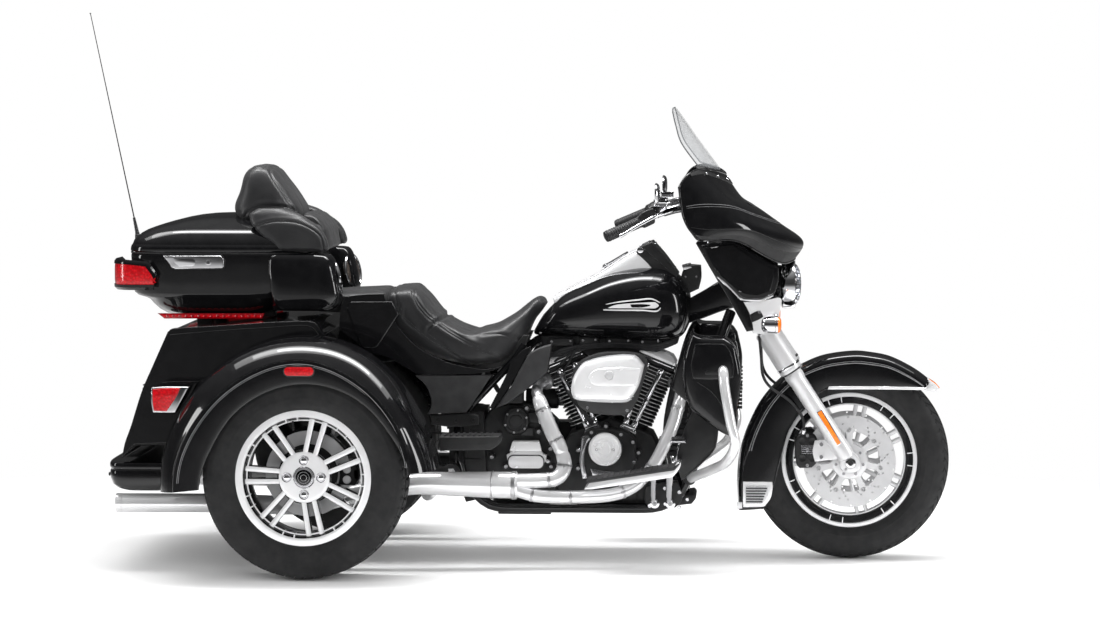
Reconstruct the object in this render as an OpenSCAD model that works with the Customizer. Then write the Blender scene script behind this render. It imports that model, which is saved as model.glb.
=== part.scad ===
// Three-wheeled touring motorcycle: front-steered, with a V-twin engine,
// two rear wheels under wide fenders, a rear trunk and a top box.
// Millimetres. +X points forward, +Y to the rider's left, +Z up.
// Shapes are written with X measured from the rear axle; place() moves
// them so that the middle of the whole length is at X = 0.

/* [Wheels] */
// Distance between the front and the rear axle
wheelbase = 1681; // [1675:1:1690]
// Outer radius of the front tyre
front_r = 319.5; // [316:0.5:320]
// Outer radius of the rear tyres
rear_r = 318; // [312:1:320]
// Centre line of the machine to the middle of a rear tyre
half_track = 555; // [550:1:560]
// Pairs of spokes in each wheel
spoke_pairs = 7; // [5:1:8]
/* [Steering] */
// Steering head, degrees from vertical
head_angle = 26; // [25.5:0.1:26.5]
// Fork legs, degrees from vertical
fork_angle = 33; // [32.5:0.1:33.5]
// Centre line of the machine to a fork leg
leg_y = 122; // [121:1:125]
// Radius of the lower fork legs
leg_r = 31; // [29:0.5:32]
/* [Body] */
// Centre line of the machine to the outside of a rear fender
fender_y = 695; // [690:1:705]
// Wall thickness of the moulded body shells
wall = 8; // [6:1:10]
// Half width of the trunk between the wheels
trunk_y = 418; // [410:1:420]
/* [Bars and guards] */
// Radius of the handlebar tube
bar_r = 13; // [12:0.5:14]
// Radius of the engine guard tube
guard_r = 16; // [14:0.5:17]

/* [Hidden] */
$fn = 48;
xo = -597;          // moves the rear axle to X = -597
fx = wheelbase;     // front axle
fz = front_r;
rz = rear_r;
sh = [sin(head_angle), cos(head_angle)];
ax0 = 1781;         // the steering axis meets the ground here
function axis_x(z) = ax0 - z * tan(head_angle);
function leg_x(z) = fx + 2 - (z - fz) * tan(fork_angle);
disc_y = 80;

// ---- helpers -------------------------------------------------------
module place() translate([xo, 0, 0]) children();
module both() { children(); mirror([0, 1, 0]) children(); }
module rod(p, q, r, r2 = undef) {
    v = q - p; L = norm(v);
    translate(p) rotate([0, acos(v[2] / L), atan2(v[1], v[0])])
        cylinder(h = L, r1 = r, r2 = r2 == undef ? r : r2);
}
module ycyl(x, z, y0, y1, r) translate([x, y0, z]) rotate([-90, 0, 0]) cylinder(h = y1 - y0, r = r);
module yslab(pts, y0, y1) translate([0, y1, 0]) rotate([90, 0, 0]) linear_extrude(y1 - y0) polygon(pts);
module zslab(pts, z0, z1) translate([0, 0, z0]) linear_extrude(z1 - z0) polygon(pts);
module yrev(x, z, pts) translate([x, 0, z]) rotate([-90, 0, 0]) rotate_extrude() polygon(pts);
module yarc(x, z, a0, a1, pts) translate([x, 0, z]) rotate([-90, 0, 0]) rotate([0, 0, -a1])
    rotate_extrude(angle = a1 - a0) polygon(pts);
function mix(a, b, t) = a + (b - a) * t;
function sg(x, e) = sign(x) * pow(abs(x), e);
// Catmull-Rom curve through points p, k steps a span
function crp(a, b, c, d, t) = 0.5 * (2 * b + (c - a) * t + (2 * a - 5 * b + 4 * c - d) * t * t + (3 * b - a - 3 * c + d) * t * t * t);
function curve(p, k) = let(n = len(p)) [for (i = [0:n - 2]) for (j = [0:k - 1])
    crp(p[max(i - 1, 0)], p[i], p[i + 1], p[min(i + 2, n - 1)], j / k), p[n - 1]];
function unit(v) = v / norm(v);
function frame_step(u, t) = unit(u - (u * t) * t);
// A round tube swept along a path
module tube(path, r, n = 10) {
    m = len(path);
    T = [for (i = [0:m - 1]) unit(path[min(i + 1, m - 1)] - path[max(i - 1, 0)])];
    u0 = abs(T[0][2]) < 0.9 ? [0, 0, 1] : [0, 1, 0];
    U = [for (i = 0, u = frame_step(u0, T[0]); i < m; i = i + 1, u = frame_step(u, T[min(i, m - 1)])) u];
    rr = is_list(r) ? r : [for (i = [0:m - 1]) r];
    pts = [for (i = [0:m - 1]) let(w = cross(T[i], U[i])) for (j = [0:n - 1])
        path[i] + rr[i] * (cos(360 * j / n) * U[i] + sin(360 * j / n) * w)];
    solid_rings(pts, m, n);
}
// Rings of n points joined into a closed solid
module solid_rings(pts, m, n) {
    a = [for (s = [0, 1]) let(o = s * (m - 1) * n) [for (k = [0:2]) 1 / n * [for (j = [0:n - 1]) pts[o + j][k]] * [for (j = [0:n - 1]) 1]]];
    all = concat(pts, a);
    side = [for (i = [0:m - 2]) for (j = [0:n - 1]) let(p = i * n + j, q = i * n + (j + 1) % n)
        each [[p, p + n, q], [q, p + n, q + n]]];
    ends = [for (j = [0:n - 1]) each [[m * n, j, (j + 1) % n], [m * n + 1, (m - 1) * n + (j + 1) % n, (m - 1) * n + j]]];
    polyhedron(all, concat(side, ends));
}
module loft(rings) solid_rings([for (r = rings) each r], len(rings), len(rings[0]));
// A cross-section at x: bottom centre (xb, zb), top centre (xt, zt), half width w, squareness e (1 round, small is square)
function xsec(xb, zb, xt, zt, w, e = 0.7, n = 20, y = 0) = [for (j = [0:n - 1]) let(a = 360 * j / n, t = (1 + sg(sin(a), e)) / 2)
    [mix(xb, xt, t), y + w * sg(cos(a), e), mix(zb, zt, t)]];
// A level ring: centre x, half length a, half width b
function zring(x, a, b, z, e = 0.35, n = 28, y = 0) = [for (j = [0:n - 1]) let(t = 360 * j / n)
    [x + a * sg(cos(t), e), y + b * sg(sin(t), e), z]];
// A sheet of thickness t laid under a grid of points
module sheet(g, t) {
    m = len(g); n = len(g[0]);
    nor = [for (i = [0:m - 1]) [for (j = [0:n - 1]) let(
        du = g[min(i + 1, m - 1)][j] - g[max(i - 1, 0)][j], dv = g[i][min(j + 1, n - 1)] - g[i][max(j - 1, 0)]) unit(cross(du, dv))]];
    pts = [for (i = [0:m - 1]) each concat(g[i], [for (j = [0:n - 1]) g[i][n - 1 - j] + t * nor[i][n - 1 - j]])];
    k = 2 * n;
    side = [for (i = [0:m - 2]) for (j = [0:k - 1]) let(p = i * k + j, q = i * k + (j + 1) % k)
        each [[p, p + k, q], [q, p + k, q + k]]];
    ends = [for (o = [0, m - 1]) for (j = [0:n - 2]) let(a = o * k + j, b = a + 1, c = o * k + k - 1 - j, d = c - 1)
        each (o == 0 ? [[a, b, c], [b, d, c]] : [[a, c, b], [b, c, d]])];
    faces = concat(side, ends);
    polyhedron(pts, t < 0 ? [for (f = faces) [f[2], f[1], f[0]]] : faces);
}

// ---- wheels ---------------------------------------------------------
module tyre(x, z, y, pts) yrev(x, z, concat([for (p = pts) [p[0], y - p[1]]], [for (i = [len(pts) - 1:-1:0]) [pts[i][0], y + pts[i][1]]]));
module front_tyre() color([0.05, 0.05, 0.05]) tyre(fx, fz, 0, [[199, 37], [217.5, 41.5], [219, 50], [232, 60], [250, 64.5], [268, 65],
    [front_r - 30, 61], [front_r - 15, 50], [front_r - 6, 32], [front_r - 1.5, 14], [front_r, 3]]);
module rear_tyre(y) color([0.05, 0.05, 0.05]) tyre(0, rz, y, [[192, 76], [209, 84.5], [210.5, 94], [228, 100.5], [250, 102.5], [275, 102],
    [rear_r - 18, 98], [rear_r - 6, 88], [rear_r - 1, 70], [rear_r, 12]]);

module front_rim() color([0.8, 0.8, 0.82]) {
    yrev(fx, fz, [[186, -30], [197, -39], [205, -40], [216, -43], [216, -46], [200, -46], [186, -38],
        [178, -24], [178, 24], [186, 38], [200, 46], [216, 46], [216, 43], [205, 40], [197, 39], [186, 30], [186, 26], [186, -26]]);
    difference() {
        union() {
            ycyl(fx, fz, -62, 62, 34);
            ycyl(fx, fz, -24, 24, 62);
            for (k = [0:spoke_pairs - 1]) for (s = [-1, 1])
                translate([fx, 0, fz]) rotate([0, -(k * 360 / spoke_pairs + 78), 0]) rotate([0, s * 2.2, 0])
                    translate([50, -9, s * 11 - 6]) cube([134, 18, 12]);
        }
        ycyl(fx, fz, -90, 90, 13);
    }
    // brake discs on their carriers, bolted to the hub
    both() yrev(fx, fz, [[14, -(disc_y + 2.5)], [147, -(disc_y + 2.5)], [147, -(disc_y - 2.5)], [66, -(disc_y - 2.5)], [44, -62], [14, -62]]);
}
module rear_rim(s) color([0.8, 0.8, 0.82]) {
    y = s * half_track;
    o = s;                     // outboard side
    yrev(0, rz, [for (p = [[186, -80], [190, -86], [208, -90], [208, -93], [196, -93], [180, -80], [176, -40],
        [176, 60], [184, 84], [196, 90], [208, 90], [208, 87], [196, 84], [190, 78], [186, 60], [186, -40]]) [p[0], y - o * p[1]]]);
    translate([0, y, rz]) {
        rotate([-90, 0, 0]) translate([0, 0, o > 0 ? 44 : -70]) cylinder(h = 26, r = 79);
        rotate([-90, 0, 0]) translate([0, 0, o > 0 ? -40 : -60]) cylinder(h = 100, r = 44);
        rotate([-90, 0, 0]) translate([0, 0, o > 0 ? 70 : -78]) cylinder(h = 8, r = 30);
        for (k = [0:3]) rotate([0, k * 90, 0]) translate([53, 0, 0]) rotate([-90, 0, 0])
            translate([0, 0, o > 0 ? 70 : -80]) cylinder(h = 10, r = 9);
        for (k = [0:spoke_pairs - 1]) for (t = [-1, 1])
            rotate([0, -(k * 360 / spoke_pairs + 75), 0]) rotate([0, t * 2.2, 0])
                translate([70, o > 0 ? 38 : -66, t * 12 - 6]) cube([112, 28, 12]);
        // brake disc and its bell on the inboard side, and the drive shaft
        rotate([-90, 0, 0]) translate([0, 0, o > 0 ? -46 : 40]) cylinder(h = 6, r = 133);
        rotate([-90, 0, 0]) translate([0, 0, o > 0 ? -160 : 46]) cylinder(h = 114, r = 21);
    }
}

// ---- chassis --------------------------------------------------------
module main_frame() color([0.06, 0.06, 0.06]) {
    difference() {
        union() {
            // head tube
            rod([axis_x(812), 0, 812], [axis_x(928), 0, 928], 33);
                // backbone under the tank, and the seat rail
            yslab([[1372, 812], [1330, 925], [1290, 905], [1120, 812], [900, 772], [700, 722], [600, 660], [420, 600],
                [420, 560], [560, 590], [640, 640], [700, 690], [900, 715], [1130, 745], [1290, 800]], -27, 27);
        }
        rod([axis_x(780), 0, 780], [axis_x(960), 0, 960], 20.5);
    }
    // down tubes and lower rails
    both() {
        rod([1300, -14, 790], [1215, -105, 560], 17);
        translate([1215, -105, 560]) sphere(18);
        rod([1215, -105, 560], [1150, -128, 215], 17);
        translate([1150, -128, 215]) sphere(18);
        rod([1150, -128, 215], [1080, -128, 170], 17);
        translate([1080, -128, 170]) sphere(18);
        rod([1080, -128, 170], [530, -128, 170], 17);
        translate([530, -128, 170]) sphere(18);
        rod([530, -128, 170], [440, -128, 265], 17);
        translate([440, -128, 265]) sphere(18);
        rod([440, -128, 265], [430, -128, 560], 17);
        translate([430, -128, 560]) sphere(18);
        rod([430, -128, 560], [425, -20, 580], 17);
    }
    // flat jacking plate across the lower rails
    translate([560, -128, 147]) cube([170, 256, 12]);
    // cross tubes
    rod([440, -128, 300], [440, 128, 300], 17);
}
module belt_shape(r1, r2) { translate([0, rz]) circle(r1); translate([575, 330]) circle(r2);
    polygon([[0, rz + r1], [575, 330 + r2], [575, 330 - r2], [0, rz - r1]]); }
module rear_axle() color([0.08, 0.08, 0.08]) {
    difference() {
        union() {
            both() rod([0, 60, rz], [0, 480, rz], 38);
            ycyl(0, rz, -80, 80, 92);
            // brake calipers on their brackets
            both() yslab([[0, 290], [92, 282], [150, 282], [162, 318], [150, 354], [92, 354], [0, 346]], 466, 480);
            both() yslab([[92, 282], [150, 282], [162, 318], [150, 354], [92, 354]], 478, 536);
        }
        both() rod([0, 300, rz], [0, 540, rz], 21.1);
        both() ycyl(0, rz, 502, 522, 140);
    }
    // swinging arms from the frame's cross tube
    both() {
        rod([8, 190, rz], [410, 165, 285], 26);
        ycyl(414, 285, 148, 182, 30);
    }
    // belt drive on the left
    difference() {
        ycyl(0, rz, 84, 106, 83);
        ycyl(0, rz, 84, 108, 60);
    }
    ycyl(0, rz, 82, 90, 62);
    ycyl(575, 330, 78, 102, 41);
    translate([0, 106, 0]) rotate([90, 0, 0]) linear_extrude(22) difference() { belt_shape(88, 46); belt_shape(84, 42); }
}

// ---- engine ----------------------------------------------------------
cx = 918; cz = 284;      // crankshaft centre
module engine_case() color([0.07, 0.07, 0.07]) {
    // crankcase with decks square to the two cylinders
    yslab([[770, 170], [1050, 175], [1100, 235], [1088, 330], [1051, 402], [918, 457], [785, 402], [750, 330], [748, 200]], -104, 104);
    // gearbox
    yslab([[500, 200], [560, 178], [746, 178], [748, 200], [750, 330], [744, 440], [690, 490], [600, 500], [520, 470], [490, 380]], -104, 70);
    // oil filter at the front
    rod([1096, -6, 250], [1170, -6, 238], 37);
    // lower cover ahead of the engine
    yslab([[1106, 202], [1186, 210], [1180, 182], [1106, 172]], -100, 100);
}
module fin_stack(n, pitch, ro, ri) rotate_extrude() polygon(concat([[0, 0]],
    [for (i = [0:n - 1]) each [[ri, i * pitch], [ri, i * pitch + pitch * 0.5], [ro, i * pitch + pitch * 0.5], [ro, i * pitch + pitch]]], [[0, n * pitch]]));
module cylinders() color([0.12, 0.12, 0.12]) for (s = [-1, 1]) difference() {
    translate([cx, 0, cz]) rotate([0, s * 22.5, 0]) {
        translate([0, 0, 164]) fin_stack(10, 15.5, 70, 58);
        translate([-66, -78, 318]) cube([132, 156, 52]);
        for (k = [0:2]) translate([-76, -88, 324 + k * 16]) cube([152, 176, 8]);
        // push rod tubes on the right
        for (k = [-1, 1]) rod([k * 14, -98, 166], [k * 26, -98, 366], 8);
        translate([-44, -107, 360]) cube([88, 30, 10]);
    }
    translate([s < 0 ? cx - 1 : cx - 101, -120, 380]) cube([102, 240, 120]);
}
module rocker_covers() color([0.85, 0.85, 0.87]) for (s = [-1, 1])
    translate([cx, 0, cz]) rotate([0, s * 22.5, 0]) {
        translate([-64, -92, 372]) cube([128, 184, 22]);
        translate([0, 92, 393]) rotate([90, 0, 0]) linear_extrude(184) polygon([[-64, 0], [64, 0], [58, 14], [44, 22], [-44, 22], [-58, 14]]);
    }
module air_cleaner() {
    color([0.85, 0.85, 0.87]) yslab([[804, 545], [802, 574], [814, 611], [834, 634], [858, 648], [905, 660], [960, 668], [1000, 666],
        [1018, 652], [1030, 633], [1024, 600], [1010, 560], [988, 531], [933, 522], [829, 526]], -305, -222);
    color([0.1, 0.1, 0.1]) {
        yslab([[820, 560], [815, 600], [850, 640], [980, 655], [1020, 630], [1016, 539], [989, 482], [931, 476], [819, 517]], -221, -180);
        yslab([[892, 560], [944, 560], [944, 610], [892, 610]], -181, -60);
    }
}
module engine_covers() {
    // cam cover on the right
    color([0.1, 0.1, 0.1]) yslab([[830, 330], [838, 290], [870, 262], [904, 252], [950, 262], [985, 290], [1000, 330], [1000, 390], [960, 420], [904, 424], [850, 420], [826, 390]], -150, -106);
    color([0.86, 0.86, 0.88]) {
        // round timer cover
        ycyl(904, 362, -178, -149, 52);
        // lifter blocks
        for (s = [-1, 1]) translate([cx, 0, cz]) rotate([0, s * 22.5, 0]) translate([-26, -140, 118]) cube([52, 34, 36]);
        // gearbox side cover
        yslab([[608, 384], [692, 384], [712, 342], [712, 322], [700, 300], [604, 300], [592, 322], [589, 342]], -150, -106);
    }
    // gearbox bearing cover, round
    color([0.09, 0.09, 0.09]) ycyl(618, 446, -135, -106, 42);
}
module primary_cover() color([0.12, 0.12, 0.12]) {
    yslab([[560, 330], [575, 250], [640, 215], [760, 200], [930, 205], [1010, 235], [1045, 300], [1040, 370], [990, 420], [900, 430], [760, 425], [640, 430], [580, 400]], 106, 172);
    yslab([[580, 330], [592, 262], [645, 232], [760, 218], [925, 222], [1000, 250], [1028, 305], [1022, 362], [980, 404], [895, 412], [760, 408], [645, 412], [595, 385]], 170, 188);
}

// ---- exhaust --------------------------------------------------------
module exhaust_pipes() color([0.86, 0.86, 0.88]) {
    // rear header: from the rear head out to the right, down and back
    tube(curve([[712, -54, 571], [692, -84, 562], [686, -150, 548], [694, -215, 535], [712, -252, 492], [740, -266, 428], [768, -274, 375], [781, -280, 322], [758, -292, 284], [700, -302, 276], [635, -310, 276]], 4), 22, 12);
    // front header: down the front of the engine and back under the floorboard
    tube(curve([[1124, -54, 571], [1142, -90, 556], [1136, -150, 500], [1110, -190, 420], [1060, -222, 320], [1000, -247, 255], [920, -272, 228], [800, -292, 224], [700, -304, 228], [635, -310, 244]], 4), 19, 12);
}
module mufflers() color([0.86, 0.86, 0.88]) {
    // right: from the collector back below the axle to the tip
    tube(curve([[633, -312, 262], [560, -318, 264], [430, -336, 268], [300, -350, 268], [120, -358, 236], [-40, -362, 202], [-300, -368, 206], [-626, -376, 206]], 4),
        [for (i = [0:28]) i < 8 ? 42 : i < 14 ? 36 : i < 22 ? 38 : 30], 14);
    // left: the same from the crossover pipe
    tube(curve([[380, 330, 262], [300, 350, 266], [120, 358, 236], [-40, 362, 202], [-300, 368, 206], [-626, 376, 206]], 4),
        [for (i = [0:20]) i < 2 ? 26 : i < 6 ? 36 : i < 14 ? 38 : 30], 14);
    tube(curve([[352, -330, 252], [345, -250, 224], [345, -120, 216], [345, 120, 216], [348, 250, 224], [360, 330, 256]], 4), 21, 12);
}

// ---- tank, seat, covers ----------------------------------------------
module fuel_tank() color([0.02, 0.02, 0.02]) difference() {
    loft([
        xsec(664, 722, 712, 786, 60, 0.8, 24),
        xsec(676, 716, 728, 812, 96, 0.8, 24),
        xsec(720, 714, 768, 850, 128, 0.8, 24),
        xsec(800, 708, 838, 884, 152, 0.75, 24),
        xsec(900, 702, 916, 918, 168, 0.75, 24),
        xsec(1000, 697, 1000, 938, 176, 0.75, 24),
        xsec(1080, 695, 1074, 938, 172, 0.75, 24),
        xsec(1140, 712, 1118, 922, 150, 0.8, 24),
        xsec(1166, 750, 1150, 896, 110, 0.85, 24),
        xsec(1174, 790, 1166, 868, 60, 0.9, 24)]);
    yslab([[640, 600], [640, 730], [900, 785], [1120, 822], [1200, 868], [1200, 600]], -40, 40);
}
module tank_console() color([0.86, 0.86, 0.88]) difference() {
    loft([
        xsec(742, 760, 726, 836, 26, 0.7, 16),
        xsec(800, 800, 785, 870, 48, 0.6, 16),
        xsec(880, 830, 870, 913, 62, 0.55, 16),
        xsec(960, 850, 940, 957, 72, 0.5, 16),
        xsec(1020, 860, 990, 985, 76, 0.5, 16),
        xsec(1090, 880, 1046, 1006, 74, 0.5, 16),
        xsec(1130, 905, 1094, 958, 66, 0.6, 16)]);
    translate([0, 0, -3]) scale(1) loft([
        xsec(600, 660, 660, 780, 60, 0.8, 24),
        xsec(676, 716, 731, 817, 96, 0.8, 24),
        xsec(720, 714, 768, 856, 128, 0.8, 24),
        xsec(800, 708, 838, 890, 152, 0.75, 24),
        xsec(900, 702, 916, 924, 168, 0.75, 24),
        xsec(1000, 697, 1000, 944, 176, 0.75, 24),
        xsec(1080, 695, 1074, 944, 172, 0.75, 24),
        xsec(1140, 712, 1118, 928, 150, 0.8, 24),
        xsec(1200, 740, 1170, 908, 130, 0.85, 24)]);
}
module fuel_door() color([0.86, 0.86, 0.88]) translate([966, 0, 978]) rotate([0, -31, 0]) {
    translate([-92, -30, -2]) cube([92, 60, 4]);
    ycyl(0, 0, -30, 30, 4);
}
module seat() color([0.06, 0.06, 0.06]) difference() {
    loft([
        xsec(-40, 806, -40, 848, 148, 0.5, 24),
        xsec(-22, 798, -26, 862, 166, 0.5, 24),
        xsec(60, 792, 60, 868, 172, 0.5, 24),
        xsec(150, 782, 150, 868, 174, 0.5, 24),
        xsec(215, 750, 225, 872, 172, 0.5, 24),
        xsec(262, 718, 292, 872, 172, 0.5, 24),
        xsec(300, 682, 330, 826, 174, 0.5, 24),
        xsec(350, 650, 366, 772, 178, 0.5, 24),
        xsec(420, 628, 424, 744, 184, 0.5, 24),
        xsec(490, 620, 490, 732, 180, 0.5, 24),
        xsec(550, 622, 562, 750, 160, 0.5, 24),
        xsec(600, 636, 618, 792, 128, 0.55, 24),
        xsec(632, 672, 662, 826, 100, 0.6, 24),
        xsec(648, 722, 694, 841, 78, 0.65, 24)]);
    yslab([[240, 560], [300, 650], [430, 650], [600, 690], [700, 745], [720, 600]], -32, 32);
}
module side_covers() {
    // black moulded panels between the seat and the rear fenders
    color([0.03, 0.03, 0.03]) difference() {
        both() yslab([[60, 742], [80, 836], [165, 854], [214, 790], [250, 730], [300, 672], [350, 640], [415, 618], [520, 612],
            [500, 560], [470, 515], [330, 510], [230, 560], [150, 640]], 186, 204);
    }
    // slanted air ducts below the tank
    color([0.1, 0.1, 0.1]) both() yslab([[612, 616], [745, 690], [742, 640], [600, 498], [545, 500]], 150, 196);
}

// ---- rear body -------------------------------------------------------
module trunk_body() color([0.02, 0.02, 0.02]) difference() {
    union() {
        difference() {
            yslab([[-455, 743], [-240, 772], [-12, 785], [35, 742], [60, 640], [60, 420], [-560, 400], [-598, 352], [-536, 561]], -trunk_y, trunk_y);
            // luggage space
            yslab([[-480, 725], [-440, 732], [-240, 772 - wall * 1.6], [-16, 785 - wall * 1.8], [35 - wall * 1.4, 738], [60 - wall * 1.4, 640], [60 - wall * 1.4, 430], [-300, 418], [-640, 404]],
                -trunk_y + wall, trunk_y - wall);
            // room for the door's hinge arms
            for (y = [-240, 240]) translate([-620, y - 37, 352]) cube([50, 74, 30]);
            // rear opening, closed by the door
            yslab([[-700, 376], [-700, 728], [-440, 728], [-570, 376]], -372, 372);
        }
        // cowl that carries the pillion seat
        yslab([[60, 640], [44, 700], [62, 775], [140, 765], [200, 725], [262, 680], [290, 645]], -118, 118);
    }
}
module trunk_door() color([0.02, 0.02, 0.02]) {
    difference() {
        union() {
            yslab([[-463, 723], [-451, 718], [-524, 557], [-577, 384], [-589, 386], [-536, 561]], -366, 366);
            // plate bracket
            yslab([[-584, 545], [-584, 445], [-560, 445], [-530, 545]], -95, 95);
        }
        for (y = [-73, 73]) for (z = [460, 530]) translate([-620, y, z]) rotate([0, 90, 0]) cylinder(h = 120, r = 3.5);
    }
    // hinge arms and barrels at the lower edge
    for (y = [-240, 240]) {
        ycyl(-606, 366, y - 30, y + 30, 6);
        yslab([[-610, 370], [-602, 362], [-578, 386], [-586, 400]], y - 30, y + 30);
    }
}
module rear_bumper() color([0.02, 0.02, 0.02])
    loft([zring(-532, 74, 400, 248, 0.3), zring(-540, 96, 414, 262, 0.3), zring(-540, 112, 417, 284, 0.3), zring(-540, 116, 418, 304, 0.3), zring(-540, 116, 418, 338, 0.3)]);
// radii of the fender's crown, crease and wheel opening about the axle, by angle
function f_out(a) = lookup(a, [[0, 412], [4.8, 408], [19.7, 392], [40.8, 395], [67.8, 421], [90.3, 427], [128.4, 433], [153, 437], [184.5, 456]]);
function f_crease(a) = lookup(a, [[6.5, 340], [37.3, 340], [63, 351], [90.3, 371], [122.3, 362], [150, 368], [185.2, 401]]);
function f_open(a) = lookup(a, [[6.6, 328], [26.6, 295], [60.6, 295], [89, 291], [115.3, 283], [159, 282], [178.3, 306], [185, 318]]);
function f_pt(a, r, y) = [r * cos(a), y, rz + r * sin(a)];
module rear_fenders() color([0.02, 0.02, 0.02]) both()
    sheet([for (a = [5:12:185]) let(ro = f_out(a), rc = f_crease(a), rp = f_open(a)) [
        f_pt(a, ro - 6, 424), f_pt(a, ro, 470), f_pt(a, ro, 560), f_pt(a, ro - 5, 620), f_pt(a, mix(ro, rc, 0.3), 660),
        f_pt(a, mix(ro, rc, 0.8), 685), f_pt(a, rc, fender_y - 1), f_pt(a, mix(rc, rp, 0.4), fender_y), f_pt(a, rp, fender_y - 4)]], wall);
module tail_lamps() color([0.7, 0.02, 0.02]) both() {
    // round the rear corners of the top box
    zslab([[-642, 120], [-642, 235], [-628, 275], [-600, 296], [-514, 300], [-514, 290], [-585, 288], [-612, 265], [-618, 235], [-618, 120]], 889, 952);
    // strips under the top box
    yslab([[-513, 795], [-172, 795], [-180, 780], [-491, 778]], 236, 250);
    // on the rear of the fenders
    yslab([[-470, 586], [-356, 590], [-404, 515], [-467, 518]], 432, 600);
    // markers on the fender sides
    for (s = [-1, 1]) translate([-5 + s * 34, fender_y + 0.2, 650]) rotate([-90, 0, 0]) cylinder(h = 1.8, r = 13);
    translate([-39, fender_y + 0.2, 637]) cube([68, 1.8, 26]);
}

// ---- top box -----------------------------------------------------------
module top_box_base() color([0.02, 0.02, 0.02]) {
    difference() {
        loft([zring(-330, 175, 225, 790), zring(-326, 200, 250, 812), zring(-324, 222, 268, 842), zring(-325, 250, 278, 850), zring(-325, 280, 284, 950), zring(-325, 284, 286, 985)]);
        loft([zring(-326, 214, 256, 850), zring(-325, 240, 268, 858), zring(-325, 272, 276, 950), zring(-325, 276, 278, 1000)]);
    }
    // legs on to the trunk
    both() { translate([-400, 110, 760]) cube([50, 60, 34]); translate([-210, 110, 782]) cube([60, 60, 12]); }
    // hinge barrels on the left
    for (x = [-500, -260]) { rod([x, 318, 992], [x + 50, 318, 992], 6); translate([x, 280, 970]) cube([50, 38, 8]); translate([x, 310, 970]) cube([50, 8, 18]); }
    // latch plate on the right
    yslab([[-488, 982], [-300, 983], [-288, 939], [-447, 937], [-470, 955]], -299, -282);
    // aerial bracket behind the left corner
    translate([-664, 180, 970]) cube([62, 40, 8]);
}
module top_box_lid() color([0.02, 0.02, 0.02]) {
    difference() {
        loft([zring(-325, 286, 287, 991), zring(-324, 285, 287, 1004), zring(-320, 280, 280, 1030), zring(-312, 258, 262, 1055), zring(-300, 200, 215, 1080), zring(-290, 110, 130, 1100), zring(-290, 50, 60, 1106)]);
        loft([zring(-325, 278, 279, 980), zring(-324, 277, 279, 1002), zring(-320, 270, 270, 1024), zring(-312, 248, 252, 1046), zring(-300, 190, 205, 1070), zring(-290, 90, 110, 1090)]);
    }
    // hinge barrels on the left
    for (x = [-445, -205]) { rod([x, 318, 992], [x + 50, 318, 992], 6); translate([x, 280, 1004]) cube([50, 38, 6]); translate([x, 312, 992]) cube([50, 6, 18]); }
}
module backrest() color([0.06, 0.06, 0.06]) {
    // pad that rides on the lid
    loft([zring(-120, 52, 150, 1108, 0.5), zring(-136, 62, 170, 1112, 0.5), zring(-160, 72, 172, 1160, 0.5), zring(-190, 66, 164, 1205, 0.5), zring(-206, 46, 150, 1240, 0.5), zring(-206, 20, 120, 1258, 0.5)]);
    // armrests ahead of the lid, one each side
    both() loft([zring(-4, 30, 50, 994, 0.6, 20, 232), zring(-4, 36, 54, 1004, 0.6, 20, 232), zring(-10, 38, 54, 1030, 0.6, 20, 232), zring(-20, 30, 50, 1060, 0.6, 20, 232), zring(-26, 16, 40, 1074, 0.6, 20, 232)]);
    // front pad between the armrests
    loft([zring(-2, 24, 172, 994, 0.4), zring(-4, 32, 176, 1004, 0.4), zring(-14, 30, 176, 1060, 0.4), zring(-40, 28, 172, 1100, 0.4), zring(-60, 20, 160, 1112, 0.4)]);
}
module speaker_pods() color([0.03, 0.03, 0.03]) {
    // loudspeaker housings at the front corners of the top box
    both() difference() {
        loft([for (q = [[808, 0.72], [830, 0.92], [860, 1], [940, 0.98], [975, 0.9], [985, 0.8]]) let(k = q[1]) [for (p = [[-138, 290], [-36, 290], [-34, 196], [20, 188], [66, 196], [78, 240], [72, 290], [40, 318], [-20, 326], [-100, 324], [-138, 316]])
            p[1] < 291 && p[0] < 0 ? [p[0], p[1], q[0]] : [-30 + (p[0] + 30) * k - (q[0] - 860) * 0.16, 260 + (p[1] - 260) * k, q[0]]]]);
    }
    // centre panel behind the pillion seat
    translate([-36, -180, 872]) cube([22, 360, 112]);
}
module antenna() color([0.04, 0.04, 0.04]) {
    rod([-653, 200, 979], [-653, 200, 1026], 9);
    rod([-653, 200, 1024], [-665, 200, 1082], 7, 5);
    rod([-665, 200, 1080], [-805, 200, 1753], 2.2, 1.6);
}

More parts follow.
